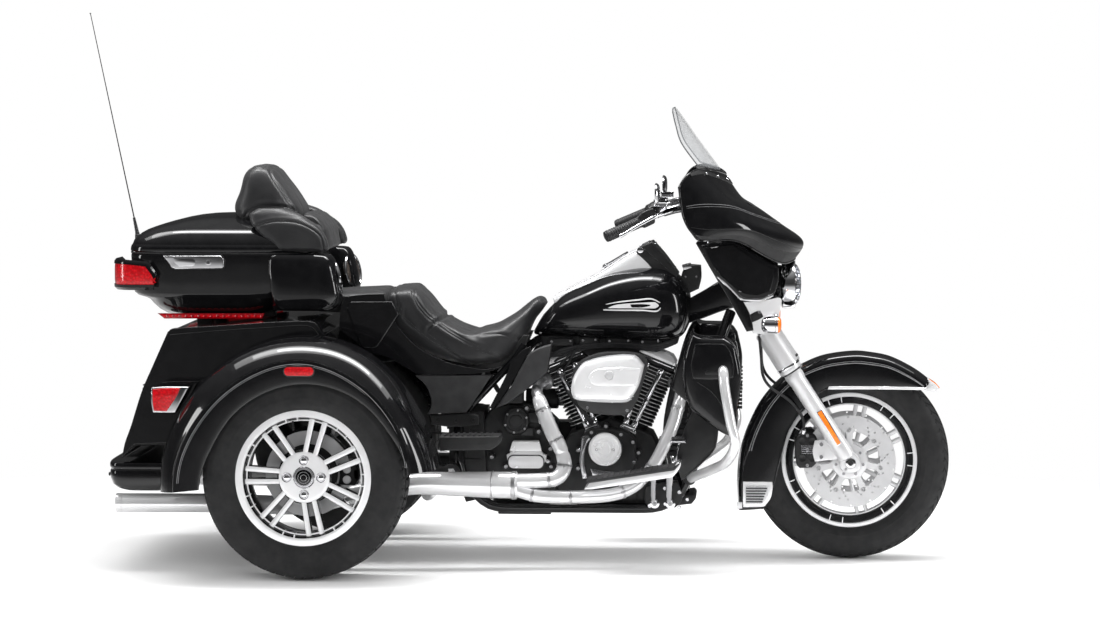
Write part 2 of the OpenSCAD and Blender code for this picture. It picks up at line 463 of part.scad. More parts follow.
// ---- guards, boards ----------------------------------------------------
module engine_guard() color([0.86, 0.86, 0.88]) both()
    tube(curve([[1250, 106, 615], [1264, 200, 622], [1275, 320, 638], [1280, 378, 632], [1286, 404, 576], [1304, 410, 474], [1318, 402, 404], [1290, 345, 344], [1242, 262, 309], [1168, 160, 268]], 4), guard_r, 12);
module lower_fairings() color([0.02, 0.02, 0.02]) both() difference() {
    loft([zring(1286, 38, 40, 432, 0.5, 24, 332), zring(1262, 66, 46, 470, 0.5, 24, 330), zring(1244, 88, 48, 540, 0.5, 24, 330), zring(1244, 92, 48, 620, 0.5, 24, 330), zring(1248, 78, 48, 700, 0.5, 24, 330), zring(1242, 56, 46, 738, 0.5, 24, 330), zring(1234, 40, 36, 752, 0.5, 24, 330)]);
    // hollow behind the outer skin
    loft([zring(1262, 50, 36, 455, 0.5, 24, 330), zring(1236, 80, 40, 540, 0.5, 24, 330), zring(1236, 84, 40, 620, 0.5, 24, 330), zring(1240, 62, 40, 700, 0.5, 24, 330), zring(1234, 46, 36, 740, 0.5, 24, 330)]);
    rod([1262, 240, 628], [1284, 410, 642], 28);
    rod([1279, 368, 636], [1288, 408, 578], 25);
    translate([1100, 200, 400]) cube([62, 200, 300]);
}
module floorboards() color([0.1, 0.1, 0.1]) both() {
    // rider's boards and their arms
    yslab([[858, 292], [1127, 337], [1152, 352], [1150, 330], [1128, 308], [862, 262]], 296, 425);
    for (x = [1062, 1112]) rod([x, 158, 190], [x, 305, 300], 9);
    // passenger's boards
    yslab([[398, 424], [584, 426], [584, 400], [560, 382], [398, 380]], 300, 414);
    rod([480, 150, 392], [480, 310, 394], 11);
    // pedals
    rod([1128, 158, 330], [1128, 196, 330], 12);
    rod([1128, 188, 330], [1140, 300, 408], 7);
    translate([1118, 290, 404]) cube([46, 70, 12]);
}

// ---- steered parts -------------------------------------------------------
module leg(z0, z1, r) both() rod([leg_x(z0), leg_y, z0], [leg_x(z1), leg_y, z1], r);
module head() translate([ax0, 0, 0]) rotate([0, -head_angle, 0]) children();
module fork() color([0.8, 0.8, 0.82]) {
    difference() {
        union() {
            leg(290, 612, leg_r);
            leg(608, 735, 37);
            leg(700, 962, 24);
            ycyl(fx, fz, -128, 128, 12.9);
        }
        // the axle is hollow, through both legs
        ycyl(fx, fz, -170, 170, 8);
    }
    // caliper lugs behind the legs
    both() yslab([[1570, 318], [1640, 330], [1640, 400], [1570, 390]], 113, 126);
}
module fork_clamps() color([0.06, 0.06, 0.06]) {
    // stem in the head tube
    head() translate([0, 0, 866]) cylinder(h = 196, r = 18);
    difference() {
        head() {
            translate([0, 0, 868]) linear_extrude(30) polygon([[34, -34], [22, -158], [-52, -158], [-58, -40], [-58, 40], [-52, 158], [22, 158], [34, 34]]);
            translate([0, 0, 1038]) linear_extrude(24) polygon([[34, -34], [4, -156], [-76, -156], [-80, -40], [-80, 40], [-76, 156], [4, 156], [34, 34]]);
        }
        leg(690, 990, 24.6);
    }
    // risers for the handlebar
    both() rod([1254, 45, 966], [1232, 45, 1024], 15);
}
bar = [[1228, 0, 1040], [1228, 90, 1041], [1222, 150, 1060], [1205, 215, 1118], [1170, 280, 1140], [1110, 340, 1130], [1052, 374, 1110], [1012, 392, 1092], [925, 430, 1053]];
module handlebar() color([0.86, 0.86, 0.88]) both() tube(curve(bar, 4), bar_r, 10);
module hand_controls() color([0.08, 0.08, 0.08]) both() {
    // grips and their housings
    difference() {
        union() {
            rod([920, 432, 1051], [1026, 387, 1097], 18);
            rod([1022, 387, 1095], [1060, 370, 1113], 24);
        }
        rod([912, 435, 1047.5], [1026, 386, 1098], bar_r + 3);
        rod([1010, 393, 1091], [1090, 354, 1126], bar_r + 5);
    }
    // master cylinder and lever
    translate([1066, 355, 1143]) cube([40, 49, 19]);
    rod([1052, 374, 1135], [1088, 374, 1140], 8);
    rod([1070, 400, 1112], [960, 460, 1052], 6);
    // mirror on its stalk
    rod([1077, 388, 1152], [1077, 425, 1190], 5);
    translate([1070, 372, 1150]) cube([14, 118, 66]);
}
fair = [[[1284, 1233], [1338, 1153], [1395, 1120], [1468, 1068], [1536, 1017], [1509, 965]],
    [[1268, 1243], [1322, 1165], [1375, 1128], [1440, 1078], [1498, 1030], [1466, 952]],
    [[1240, 1252], [1290, 1180], [1338, 1140], [1385, 1095], [1425, 1050], [1402, 985]],
    [[1205, 1256], [1250, 1200], [1290, 1155], [1325, 1110], [1345, 1070], [1318, 1036]],
    [[1165, 1240], [1190, 1195], [1212, 1152], [1228, 1110], [1236, 1068], [1222, 1034]],
    [[1142, 1202], [1146, 1170], [1150, 1140], [1156, 1110], [1172, 1076], [1200, 1044]]];
fair_y = [0, 140, 230, 310, 375, 402];
function mirrored(g, ys) = concat([for (i = [len(g) - 1:-1:1]) [for (p = g[i]) [p[0], -ys[i], p[1]]]], [for (i = [0:len(g) - 1]) [for (p = g[i]) [p[0], ys[i], p[1]]]]);
module front_fairing() color([0.02, 0.02, 0.02]) {
    sheet(mirrored(fair, fair_y), 6);
    // nacelle sides below the fairing
    both() yslab([[1208, 1012], [1250, 919], [1323, 850], [1396, 842], [1440, 861], [1452, 940], [1380, 985], [1300, 1030]], 163, 170);
}
module dash_panel() color([0.05, 0.05, 0.05]) difference() {
    sheet(mirrored([[[1222, 1236], [1206, 1170], [1212, 1110], [1238, 1062]], [[1212, 1238], [1195, 1170], [1200, 1110], [1224, 1060]], [[1178, 1222], [1162, 1170], [1168, 1110], [1192, 1066]]], [0, 190, 340]), -8);
    both() for (i = [1:4]) rod(bar[i], bar[i + 1], 22);
    both() for (i = [2:4]) translate(bar[i]) sphere(22);
}
module windshield() color([0.6, 0.7, 0.75, 0.4])
    sheet(mirrored([[[1119, 1445], [1154, 1397], [1189, 1347], [1264, 1247]], [[1116, 1443], [1148, 1397], [1178, 1347], [1246, 1254]], [[1118, 1432], [1128, 1390], [1146, 1335], [1196, 1266]]], [0, 130, 222]), -4);
module headlight() {
    color([0.86, 0.86, 0.88]) translate([1462, 0, 880]) rotate([0, 90, 0]) difference() { cylinder(h = 44, r = 78); translate([0, 0, 20]) cylinder(h = 30, r = 68); }
    color([0.9, 0.92, 0.95]) translate([1484, 0, 880]) rotate([0, 90, 0]) cylinder(h = 42, r = 66);
    color([0.04, 0.04, 0.04]) translate([1426, 0, 880]) rotate([0, 90, 0]) cylinder(h = 36, r = 62);
}
module lamp_bar() {
    color([0.86, 0.86, 0.88]) {
        translate([1438, -182, 757]) cube([13, 364, 45]);
        both() rod([1444, 178, 768], [1430, 250, 768], 10);
        both() rod([1398, 270, 768], [1446, 270, 768], 27);
    }
    color([0.9, 0.45, 0.05]) both() rod([1446, 270, 768], [1461, 270, 768], 25);
}
f_outer = [[1936, 572], [1926, 588], [1812, 652], [1689, 667], [1600, 654], [1531, 626], [1478, 594], [1433, 552], [1392, 498], [1360, 434], [1340, 380], [1331, 335], [1324, 290], [1322, 242], [1322, 200], [1323, 158]];
module front_fender() color([0.02, 0.02, 0.02]) {
    difference() {
        yslab(concat(f_outer, [[1346, 158], [1404, 168], [1440, 250], [1464, 345], [1482, 419], [1530, 490], [1606, 553], [1918, 553]]), -81, 81);
        yslab([[1940, 540], [1914, 584], [1806, 646], [1689, 661], [1602, 648], [1535, 621], [1483, 590], [1439, 548], [1398, 494], [1366, 431], [1346, 378], [1337, 334], [1330, 290], [1328, 242], [1328, 200], [1329, 150], [1500, 100], [1900, 300]], -76, 76);
    }
    // brackets to the legs
    both() translate([1545, 80, 488]) cube([44, 11, 34]);
    // lamp on the tip
    yslab([[1936, 572], [1969, 549], [1962, 541], [1920, 554]], -22, 22);
}
module brake_calipers() color([0.04, 0.04, 0.04]) both() difference() {
    yslab([[1507, 330], [1520, 298], [1562, 300], [1578, 330], [1578, 392], [1560, 413], [1522, 408], [1507, 380]], 56, 112);
    ycyl(fx, fz, disc_y - 8, disc_y + 8, 154);
}

place() main_frame();
place() engine_case();
place() cylinders();
place() rocker_covers();
place() air_cleaner();
place() engine_covers();
place() primary_cover();
place() exhaust_pipes();
place() mufflers();
place() fuel_tank();
place() tank_console();
place() fuel_door();
place() seat();
place() side_covers();
place() trunk_body();
place() trunk_door();
place() rear_bumper();
place() rear_fenders();
place() rear_axle();
place() top_box_base();
place() top_box_lid();
place() backrest();
place() speaker_pods();
place() tail_lamps();
place() antenna();
place() engine_guard();
place() lower_fairings();
place() floorboards();
place() fork();
place() fork_clamps();
place() handlebar();
place() hand_controls();
place() front_fairing();
place() dash_panel();
place() windshield();
place() headlight();
place() lamp_bar();
place() front_fender();
place() brake_calipers();
place() front_tyre();
place() front_rim();
place() rear_tyre(-half_track);  // rear_tyre_right
place() rear_rim(-1);  // rear_rim_right
place() rear_tyre(half_track);  // rear_tyre_left
place() rear_rim(1);  // rear_rim_left
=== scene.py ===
import bpy, bmesh, math
import numpy as np
from mathutils import Vector, Matrix


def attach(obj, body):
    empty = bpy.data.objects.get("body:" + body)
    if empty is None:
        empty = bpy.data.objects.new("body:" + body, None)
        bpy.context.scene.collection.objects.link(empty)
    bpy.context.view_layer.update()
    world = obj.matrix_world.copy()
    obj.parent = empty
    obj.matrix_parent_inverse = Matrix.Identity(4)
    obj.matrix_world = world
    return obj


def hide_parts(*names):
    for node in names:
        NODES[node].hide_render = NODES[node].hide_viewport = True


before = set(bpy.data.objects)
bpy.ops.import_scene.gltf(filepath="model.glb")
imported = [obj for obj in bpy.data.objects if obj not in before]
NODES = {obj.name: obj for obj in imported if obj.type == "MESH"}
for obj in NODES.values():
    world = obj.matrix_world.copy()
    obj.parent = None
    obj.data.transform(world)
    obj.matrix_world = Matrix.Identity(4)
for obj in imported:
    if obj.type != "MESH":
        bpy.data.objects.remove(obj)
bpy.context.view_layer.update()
scene = bpy.context.scene
XO = -597.0
rad, deg = math.radians, math.degrees
sin, cos, tan, pi = math.sin, math.cos, math.tan, math.pi

# ------------------------------------------------------------------ camera
cam_data = bpy.data.cameras.new("camera")
cam = bpy.data.objects.new("camera", cam_data)
scene.collection.objects.link(cam)
cam_data.lens, cam_data.sensor_width = 116.2, 36.0
cam.location = (0.790, -11.386, 1.552)
cam.rotation_mode = "QUATERNION"
cam.rotation_quaternion = (Vector((0.122, 0, 0.7795)) - Vector(cam.location)).to_track_quat("-Z", "Y")
cam_data.clip_start, cam_data.clip_end = 0.5, 100
scene.camera = cam
scene.view_settings.view_transform = "Standard"
scene.view_settings.look = "None"

# ------------------------------------------------------------------ mesh helpers (millimetres, X from the rear axle)
def A(v):
    return np.asarray(v, float).reshape(-1, 3)

class Part:
    """Collects pieces of geometry, each with its own material, into one object."""
    def __init__(self, name):
        self.name, self.v, self.f, self.m, self.mats, self.n = name, [], [], [], [], 0
    def add(self, prim, mat, both=False):
        v, f = prim
        v = A(v)
        if mat not in self.mats:
            self.mats.append(mat)
        k = self.mats.index(mat)
        for s in ((1, -1) if both else (1,)):
            w = v.copy()
            w[:, 1] *= s
            self.v.append(w)
            self.f += [tuple(i + self.n for i in (q if s > 0 else q[::-1])) for q in f]
            self.m += [k] * len(f)
            self.n += len(w)
        return self
    def done(self, body, replaces=(), slot=None, angle=32, weighted=False, weld=False, subsurf=0):
        co = np.concatenate(self.v) / 1000.0
        co[:, 0] += XO / 1000.0
        me = bpy.data.meshes.new(self.name)
        me.from_pydata(co.tolist(), [], self.f)
        for m in self.mats:
            me.materials.append(m)
        me.polygons.foreach_set("material_index", self.m)
        bm = bmesh.new()
        bm.from_mesh(me)
        if weld:
            bmesh.ops.remove_doubles(bm, verts=bm.verts, dist=0.00002)
        bmesh.ops.dissolve_degenerate(bm, dist=0.000001, edges=bm.edges)
        bmesh.ops.recalc_face_normals(bm, faces=bm.faces)
        bm.to_mesh(me)
        bm.free()
        me.shade_smooth()
        me.set_sharp_from_angle(angle=rad(angle))
        ob = bpy.data.objects.new(self.name, me)
        scene.collection.objects.link(ob)
        if subsurf:
            s = ob.modifiers.new("smooth", "SUBSURF")
            s.levels = s.render_levels = subsurf
        if weighted:
            w = ob.modifiers.new("normals", "WEIGHTED_NORMAL")
            w.keep_sharp, w.weight = True, 80
        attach(ob, body)
        if replaces:
            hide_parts(*replaces)
        return ob

def from_bm(bm):
    bm.verts.ensure_lookup_table()
    out = ([v.co[:] for v in bm.verts], [tuple(v.index for v in f.verts) for f in bm.faces])
    bm.free()
    return out

def xf(prim, m):
    m = Matrix(m)
    r = np.array(m.to_3x3(), float)
    return (A(prim[0]) @ r.T + np.array(m.translation, float), prim[1])

def move(prim, x=0, y=0, z=0):
    return (A(prim[0]) + np.array([x, y, z], float), prim[1])

def join(*prims):
    v, f, n = [], [], 0
    for p in prims:
        w = A(p[0])
        v.append(w)
        f += [tuple(i + n for i in q) for q in p[1]]
        n += len(w)
    return (np.concatenate(v), f)

def mirror_y(prim):
    v = A(prim[0]).copy()
    v[:, 1] *= -1
    return (v, [q[::-1] for q in prim[1]])

def spin(prim, x, z, a):
    """Turns a piece about the axle line at (x, z) by a degrees, counted from +X towards +Z."""
    v = A(prim[0]).copy()
    c, s = cos(rad(a)), sin(rad(a))
    dx, dz = v[:, 0] - x, v[:, 2] - z
    v[:, 0], v[:, 2] = x + dx * c - dz * s, z + dx * s + dz * c
    return (v, prim[1])

def crv(pts, k=6, closed=False):
    """Points on a Catmull-Rom curve, k steps a span."""
    p = np.asarray(pts, float)
    n = len(p)
    out = []
    rng = range(n) if closed else range(n - 1)
    for i in rng:
        a, b, c, d = (p[(i - 1) % n], p[i], p[(i + 1) % n], p[(i + 2) % n]) if closed else (
            p[max(i - 1, 0)], p[i], p[i + 1], p[min(i + 2, n - 1)])
        for j in range(k):
            t = j / k
            out.append(0.5 * (2 * b + (c - a) * t + (2 * a - 5 * b + 4 * c - d) * t * t + (3 * b - a - 3 * c + d) * t ** 3))
    if not closed:
        out.append(p[-1])
    return np.array(out)

def pin(pts, k=6):
    """A closed outline where a point written with a trailing 0 stays a sharp corner."""
    segs, cur, n = [], [], len(pts)
    sharp = [i for i, p in enumerate(pts) if len(p) > 2]
    if not sharp:
        return crv([p[:2] for p in pts], k, True)
    out = []
    for a, b in zip(sharp, sharp[1:] + [sharp[0] + n]):
        run = [pts[i % n][:2] for i in range(a, b + 1)]
        out += list(crv(run, k if len(run) > 2 else 1))[:-1]
    return np.array(out)

def smooth_grid(ctrl, ku=5, kv=5, closed_v=False):
    c = np.asarray(ctrl, float)
    rows = [crv(r, kv, closed_v) for r in c]
    g = np.array(rows)
    return np.array([crv(g[:, j], ku) for j in range(g.shape[1])]).transpose(1, 0, 2)

def grid_faces(m, n, closed_u=False, closed_v=False, off=0):
    f = []
    for i in range(m if closed_u else m - 1):
        for j in range(n if closed_v else n - 1):
            a, b = i * n + j, i * n + (j + 1) % n
            c, d = ((i + 1) % m) * n + (j + 1) % n, ((i + 1) % m) * n + j
            f.append((a + off, b + off, c + off, d + off))
    return f

def surface(g, closed_u=False, closed_v=False):
    g = np.asarray(g, float)
    m, n = g.shape[:2]
    return (g.reshape(-1, 3), grid_faces(m, n, closed_u, closed_v))

def shell(g, t, closed_v=False):
    """A sheet with thickness t behind a grid of points; t is signed."""
    g = np.asarray(g, float)
    m, n = g.shape[:2]
    du = np.gradient(g, axis=0)
    if closed_v:
        dv = (np.roll(g, -1, 1) - np.roll(g, 1, 1)) / 2
    else:
        dv = np.gradient(g, axis=1)
    nor = np.cross(du, dv)
    nor /= np.maximum(np.linalg.norm(nor, axis=2, keepdims=True), 1e-9)
    h = g + nor * t
    f = grid_faces(m, n, False, closed_v) + [q[::-1] for q in grid_faces(m, n, False, closed_v, m * n)]
    o = m * n
    def strip(ids, close=False):
        r = list(zip(ids, ids[1:])) + ([(ids[-1], ids[0])] if close else [])
        return [(a, a + o, b + o, b) for a, b in r]
    f += strip([j for j in range(n)], closed_v) + [q[::-1] for q in strip([(m - 1) * n + j for j in range(n)], closed_v)]
    if not closed_v:
        f += [q[::-1] for q in strip([i * n for i in range(m)])] + strip([i * n + n - 1 for i in range(m)])
    return (np.concatenate([g.reshape(-1, 3), h.reshape(-1, 3)]), f)

def loft(rings, caps=True, k=0):
    g = np.asarray(rings, float)
    if k:
        g = np.array([crv(g[:, j], k) for j in range(g.shape[1])]).transpose(1, 0, 2)
    m, n = g.shape[:2]
    v, f = surface(g, False, True)
    v = list(map(tuple, v))
    if caps:
        for row, o in ((0, 0), (m - 1, (m - 1) * n)):
            c = len(v)
            v.append(tuple(g[row].mean(0)))
            for j in range(n):
                q = (c, o + j, o + (j + 1) % n)
                f.append(q if row else q[::-1])
    return (A(v), f)

def frames(path):
    p = np.asarray(path, float)
    t = np.gradient(p, axis=0)
    t /= np.maximum(np.linalg.norm(t, axis=1, keepdims=True), 1e-9)
    u = np.cross(t[0], [0, 0, 1] if abs(t[0][2]) < 0.9 else [0, 1, 0])
    us = []
    for i in range(len(p)):
        u = u - (u @ t[i]) * t[i]
        u = u / max(np.linalg.norm(u), 1e-9)
        us.append(u)
    us = np.array(us)
    return p, t, us, np.cross(t, us)

def tube(path, r, n=14, k=6, caps=True, round_ends=0):
    """A round tube along a smooth path; r is a number, or radii spread along it."""
    p = crv(path, k) if k else np.asarray(path, float)
    m = len(p)
    rr = np.full(m, float(r)) if np.isscalar(r) else np.interp(np.linspace(0, 1, m), np.linspace(0, 1, len(r)), r)
    p, t, u, w = frames(p)
    a = np.linspace(0, 2 * pi, n, endpoint=False)
    rings = [p[i] + rr[i] * (np.outer(np.cos(a), u[i]) + np.outer(np.sin(a), w[i])) for i in range(m)]
    if round_ends:
        e0 = [p[0] - t[0] * rr[0] * s + (rings[0] - p[0]) * c for s, c in ((0.8, 0.6), (0.5, 0.87))]
        e1 = [p[-1] + t[-1] * rr[-1] * s + (rings[-1] - p[-1]) * c for s, c in ((0.5, 0.87), (0.8, 0.6))]
        rings = e0 + rings + e1
    return loft(rings, caps)

def rev(profile, p=(0, 0, 0), d=(0, 1, 0), n=48, closed=False):
    """Turned shape: profile is (radius, height along d) from point p."""
    d = Vector(d).normalized()
    q = Vector((0, 0, 1)).rotation_difference(d).to_matrix()
    a = np.linspace(0, 2 * pi, n, endpoint=False)
    v, f, rows = [], [], []
    for r, h in profile:
        if r < 1e-6:
            rows.append([len(v)])
            v.append((0, 0, h))
        else:
            rows.append(list(range(len(v), len(v) + n)))
            v += [(r * cos(x), r * sin(x), h) for x in a]
    pairs = list(zip(rows, rows[1:])) + ([(rows[-1], rows[0])] if closed else [])
    for a_, b_ in pairs:
        for j in range(n):
            i = (j + 1) % n
            if len(a_) == 1 and len(b_) == 1:
                continue
            if len(a_) == 1:
                f.append((a_[0], b_[i], b_[j]))
            elif len(b_) == 1:
                f.append((a_[j], a_[i], b_[0]))
            else:
                f.append((a_[j], a_[i], b_[i], b_[j]))
    v = A(v) @ np.array(q, float).T + np.array(p, float)
    return (v, f)

def cyl(p, q, r, r2=None, n=24, b=None):
    """A closed cylinder or cone between two points, with rounded rims."""
    p, q = Vector(p), Vector(q)
    r2 = r if r2 is None else r2
    L = (q - p).length
    b = min(r, r2, L / 2) * 0.18 if b is None else min(b, r, r2, L / 2)
    return rev([(0, 0), (r - b, 0), (r - b * 0.3, b * 0.3), (r, b), (r2, L - b), (r2 - b * 0.3, L - b * 0.3), (r2 - b, L), (0, L)], p, q - p, n)

def ring(p, d, r_in, r_out, h, n=48, b=1.0):
    """A flat ring with eased edges, h thick along d from p."""
    return rev([(r_in, b), (r_in + b, 0), (r_out - b, 0), (r_out, b), (r_out, h - b), (r_out - b, h), (r_in + b, h), (r_in, h - b)], p, d, n, True)

def extr(outline, y0, y1, b=2.0, seg=2, axis="y"):
    """An outline in X, Z drawn through Y (or X, Y through Z), with rounded edges."""
    bm = bmesh.new()
    pts = [tuple(p[:2]) for p in outline]
    if axis == "y":
        vs = [bm.verts.new((x, y0, z)) for x, z in pts]
        d = (0, y1 - y0, 0)
    elif axis == "z":
        vs = [bm.verts.new((x, z, y0)) for x, z in pts]
        d = (0, 0, y1 - y0)
    else:
        vs = [bm.verts.new((y0, x, z)) for x, z in pts]
        d = (y1 - y0, 0, 0)
    face = bm.faces.new(vs)
    r = bmesh.ops.extrude_face_region(bm, geom=[face])
    top = [g for g in r["geom"] if isinstance(g, bmesh.types.BMVert)]
    bmesh.ops.translate(bm, verts=top, vec=d)
    if b:
        ts = set(top)
        e = [x for x in bm.edges if (x.verts[0] in ts) == (x.verts[1] in ts)]
        bmesh.ops.bevel(bm, geom=e, offset=b, segments=seg, profile=0.5, affect="EDGES", clamp_overlap=True)
    bmesh.ops.recalc_face_normals(bm, faces=bm.faces)
    return from_bm(bm)

def box(x0, x1, y0, y1, z0, z1, b=2.0, seg=2):
    bm = bmesh.new()
    bmesh.ops.create_cube(bm, size=1)
    for v in bm.verts:
        v.co = Vector(((x0 + x1) / 2 + v.co.x * (x1 - x0), (y0 + y1) / 2 + v.co.y * (y1 - y0), (z0 + z1) / 2 + v.co.z * (z1 - z0)))
    b = min(b, abs(x1 - x0) * 0.45, abs(y1 - y0) * 0.45, abs(z1 - z0) * 0.45)
    if b:
        bmesh.ops.bevel(bm, geom=list(bm.edges), offset=b, segments=seg, profile=0.5, affect="EDGES")
    return from_bm(bm)

def lozenge(w, h, r, k=5):
    """A rounded rectangle outline, w by h, about the origin."""
    out = []
    for cx_, cy_, a0 in ((w / 2 - r, h / 2 - r, 0), (-w / 2 + r, h / 2 - r, 90), (-w / 2 + r, -h / 2 + r, 180), (w / 2 - r, -h / 2 + r, 270)):
        for i in range(k + 1):
            a = rad(a0 + 90 * i / k)
            out.append((cx_ + r * cos(a), cy_ + r * sin(a)))
    return out

def rot2(pts, a, x=0, z=0):
    c, s = cos(rad(a)), sin(rad(a))
    return [(x + p[0] * c - p[1] * s, z + p[0] * s + p[1] * c) for p in pts]

def bolt(p, d, r=6, h=5, n=12, socket=True):
    """A round-headed screw with a socket in it."""
    if socket:
        return rev([(r, 0), (r, h * 0.6), (r * 0.8, h), (r * 0.5, h), (r * 0.45, h * 0.5), (0, h * 0.5)], p, d, n)
    return rev([(r * 1.35, 0), (r * 1.35, h * 0.25), (r, h * 0.3), (r, h * 0.8), (r * 0.85, h), (0, h)], p, d, 6)

def sge(x, e):
    return math.copysign(abs(x) ** e, x)

def xsec(xb, zb, xt, zt, w, e=0.7, n=48, y=0):
    out = []
    for j in range(n):
        a = 2 * pi * j / n
        t = (1 + sge(sin(a), e)) / 2
        out.append((xb + (xt - xb) * t, y + w * sge(cos(a), e), zb + (zt - zb) * t))
    return out

def zring(x, a, b, z, e=0.35, n=64, y=0):
    return [(x + a * sge(cos(2 * pi * j / n), e), y + b * sge(sin(2 * pi * j / n), e), z) for j in range(n)]

# ------------------------------------------------------------------ materials
def mat(name):
    m = bpy.data.materials.new(name)
    m.use_nodes = True
    nt = m.node_tree
    return m, nt, nt.nodes["Principled BSDF"], nt.nodes.new("ShaderNodeTexCoord")

def noise_node(nt, tc, scale, detail=3.0, rough=0.5):
    t = nt.nodes.new("ShaderNodeTexNoise")
    t.inputs["Scale"].default_value, t.inputs["Detail"].default_value, t.inputs["Roughness"].default_value = scale, detail, rough
    nt.links.new(tc.outputs["Object"], t.inputs["Vector"])
    return t

def to_range(nt, src, a, b, lo=0.3, hi=0.7):
    m = nt.nodes.new("ShaderNodeMapRange")
    m.inputs[1].default_value, m.inputs[2].default_value, m.inputs[3].default_value, m.inputs[4].default_value = lo, hi, a, b
    nt.links.new(src, m.inputs[0])
    return m.outputs[0]

def two_tone(nt, src, c1, c2, lo=0.35, hi=0.65):
    r = nt.nodes.new("ShaderNodeValToRGB")
    r.color_ramp.elements[0].position, r.color_ramp.elements[1].position = lo, hi
    r.color_ramp.elements[0].color, r.color_ramp.elements[1].color = (*c1, 1), (*c2, 1)
    nt.links.new(src, r.inputs[0])
    return r.outputs[0]

def bumped(nt, bs, src, strength, dist):
    b = nt.nodes.new("ShaderNodeBump")
    b.inputs["Strength"].default_value, b.inputs["Distance"].default_value = strength, dist
    nt.links.new(src, b.inputs["Height"])
    nt.links.new(b.outputs[0], bs.inputs["Normal"])

def surface_mat(name, c1, c2, r1, r2, metal=0.0, scale=30, coat=0.0, coat_r=0.03, bump=0.0, bump_scale=400, dist=0.0004, spec=None):
    m, nt, bs, tc = mat(name)
    n1 = noise_node(nt, tc, scale)
    nt.links.new(two_tone(nt, n1.outputs[0], c1, c2), bs.inputs["Base Color"])
    n2 = noise_node(nt, tc, scale * 3.1, 5)
    nt.links.new(to_range(nt, n2.outputs[0], r1, r2), bs.inputs["Roughness"])
    bs.inputs["Metallic"].default_value = metal
    bs.inputs["Coat Weight"].default_value = coat
    bs.inputs["Coat Roughness"].default_value = coat_r
    if spec is not None:
        bs.inputs["Specular IOR Level"].default_value = spec
    if bump:
        n3 = noise_node(nt, tc, bump_scale, 2)
        bumped(nt, bs, n3.outputs[0], bump, dist)
    return m

def g3(v):
    return (v, v, v)

M = {}
# clear-coated black paint over the bodywork, with a faint orange peel
M["gloss"] = surface_mat("gloss_black_paint", (0.0035, 0.0035, 0.0040), (0.0055, 0.0055, 0.0060), 0.14, 0.20, coat=0.9, coat_r=0.03, bump=0.02, bump_scale=120, dist=0.0002, spec=0.06)
M["satin"] = surface_mat("satin_black_metal", (0.006, 0.006, 0.0065), (0.011, 0.011, 0.0115), 0.38, 0.5, bump=0.15, bump_scale=900, dist=0.0002)
M["plastic"] = surface_mat("black_moulded_plastic", (0.007, 0.007, 0.0075), (0.012, 0.012, 0.0125), 0.45, 0.6, bump=0.35, bump_scale=1400, dist=0.00025)
M["deep"] = surface_mat("dark_inside", (0.004, 0.004, 0.004), (0.007, 0.007, 0.007), 0.7, 0.85, bump=0.1, bump_scale=500, dist=0.0003)
M["chrome"] = surface_mat("bright_chrome", (0.86, 0.86, 0.88), (0.90, 0.90, 0.92), 0.035, 0.075, metal=1.0, scale=12)
M["chrome_soft"] = surface_mat("soft_chrome", (0.78, 0.78, 0.80), (0.84, 0.84, 0.86), 0.14, 0.22, metal=1.0, scale=14)
M["silver"] = surface_mat("satin_silver", (0.66, 0.66, 0.67), (0.70, 0.70, 0.71), 0.32, 0.38, metal=0.45, scale=12)
M["machined"] = surface_mat("machined_alloy", (0.76, 0.76, 0.77), (0.80, 0.80, 0.81), 0.28, 0.32, metal=0.35, scale=14)
M["cast"] = surface_mat("wrinkle_black_casting", (0.005, 0.005, 0.0055), (0.011, 0.011, 0.0115), 0.42, 0.58, bump=0.4, bump_scale=1000, dist=0.0004)
M["fin"] = surface_mat("fin_edges", (0.66, 0.66, 0.67), (0.74, 0.74, 0.75), 0.28, 0.36, metal=0.45, scale=20)
M["mirror"] = surface_mat("mirror_glass", (0.80, 0.82, 0.84), (0.83, 0.85, 0.87), 0.02, 0.03, metal=1.0, scale=3)
M["cover"] = surface_mat("bright_cover", (0.80, 0.80, 0.81), (0.86, 0.86, 0.87), 0.20, 0.28, metal=0.35, scale=10)
M["edge"] = surface_mat("screen_edge", (0.10, 0.105, 0.11), (0.14, 0.145, 0.15), 0.25, 0.35, scale=20)
M["pipe"] = surface_mat("polished_pipe", (0.80, 0.80, 0.81), (0.86, 0.86, 0.87), 0.10, 0.16, metal=0.55, scale=10)
M["tyre"] = surface_mat("tyre_rubber", (0.0065, 0.0065, 0.007), (0.011, 0.011, 0.0115), 0.62, 0.78, scale=14, bump=0.25, bump_scale=1500, dist=0.0003)
M["tread"] = surface_mat("tread_rubber", (0.006, 0.006, 0.0065), (0.010, 0.010, 0.0105), 0.7, 0.85, scale=25, bump=0.3, bump_scale=1500, dist=0.0003)
M["grip"] = surface_mat("grip_rubber", (0.010, 0.010, 0.011), (0.017, 0.017, 0.018), 0.5, 0.65, scale=60, bump=0.3, bump_scale=1600, dist=0.0003)
M["pin"] = surface_mat("pinstripe_grey", (0.16, 0.16, 0.165), (0.20, 0.20, 0.205), 0.25, 0.35, coat=0.5)
M["badge"] = surface_mat("badge_metal", (0.70, 0.70, 0.72), (0.80, 0.80, 0.82), 0.12, 0.2, metal=1.0, scale=90)
M["steel"] = surface_mat("brushed_steel", (0.50, 0.50, 0.51), (0.60, 0.60, 0.61), 0.25, 0.38, metal=0.9, scale=140)
M["disc"] = surface_mat("disc_steel", (0.58, 0.58, 0.59), (0.64, 0.64, 0.65), 0.28, 0.34, metal=0.45, scale=16)
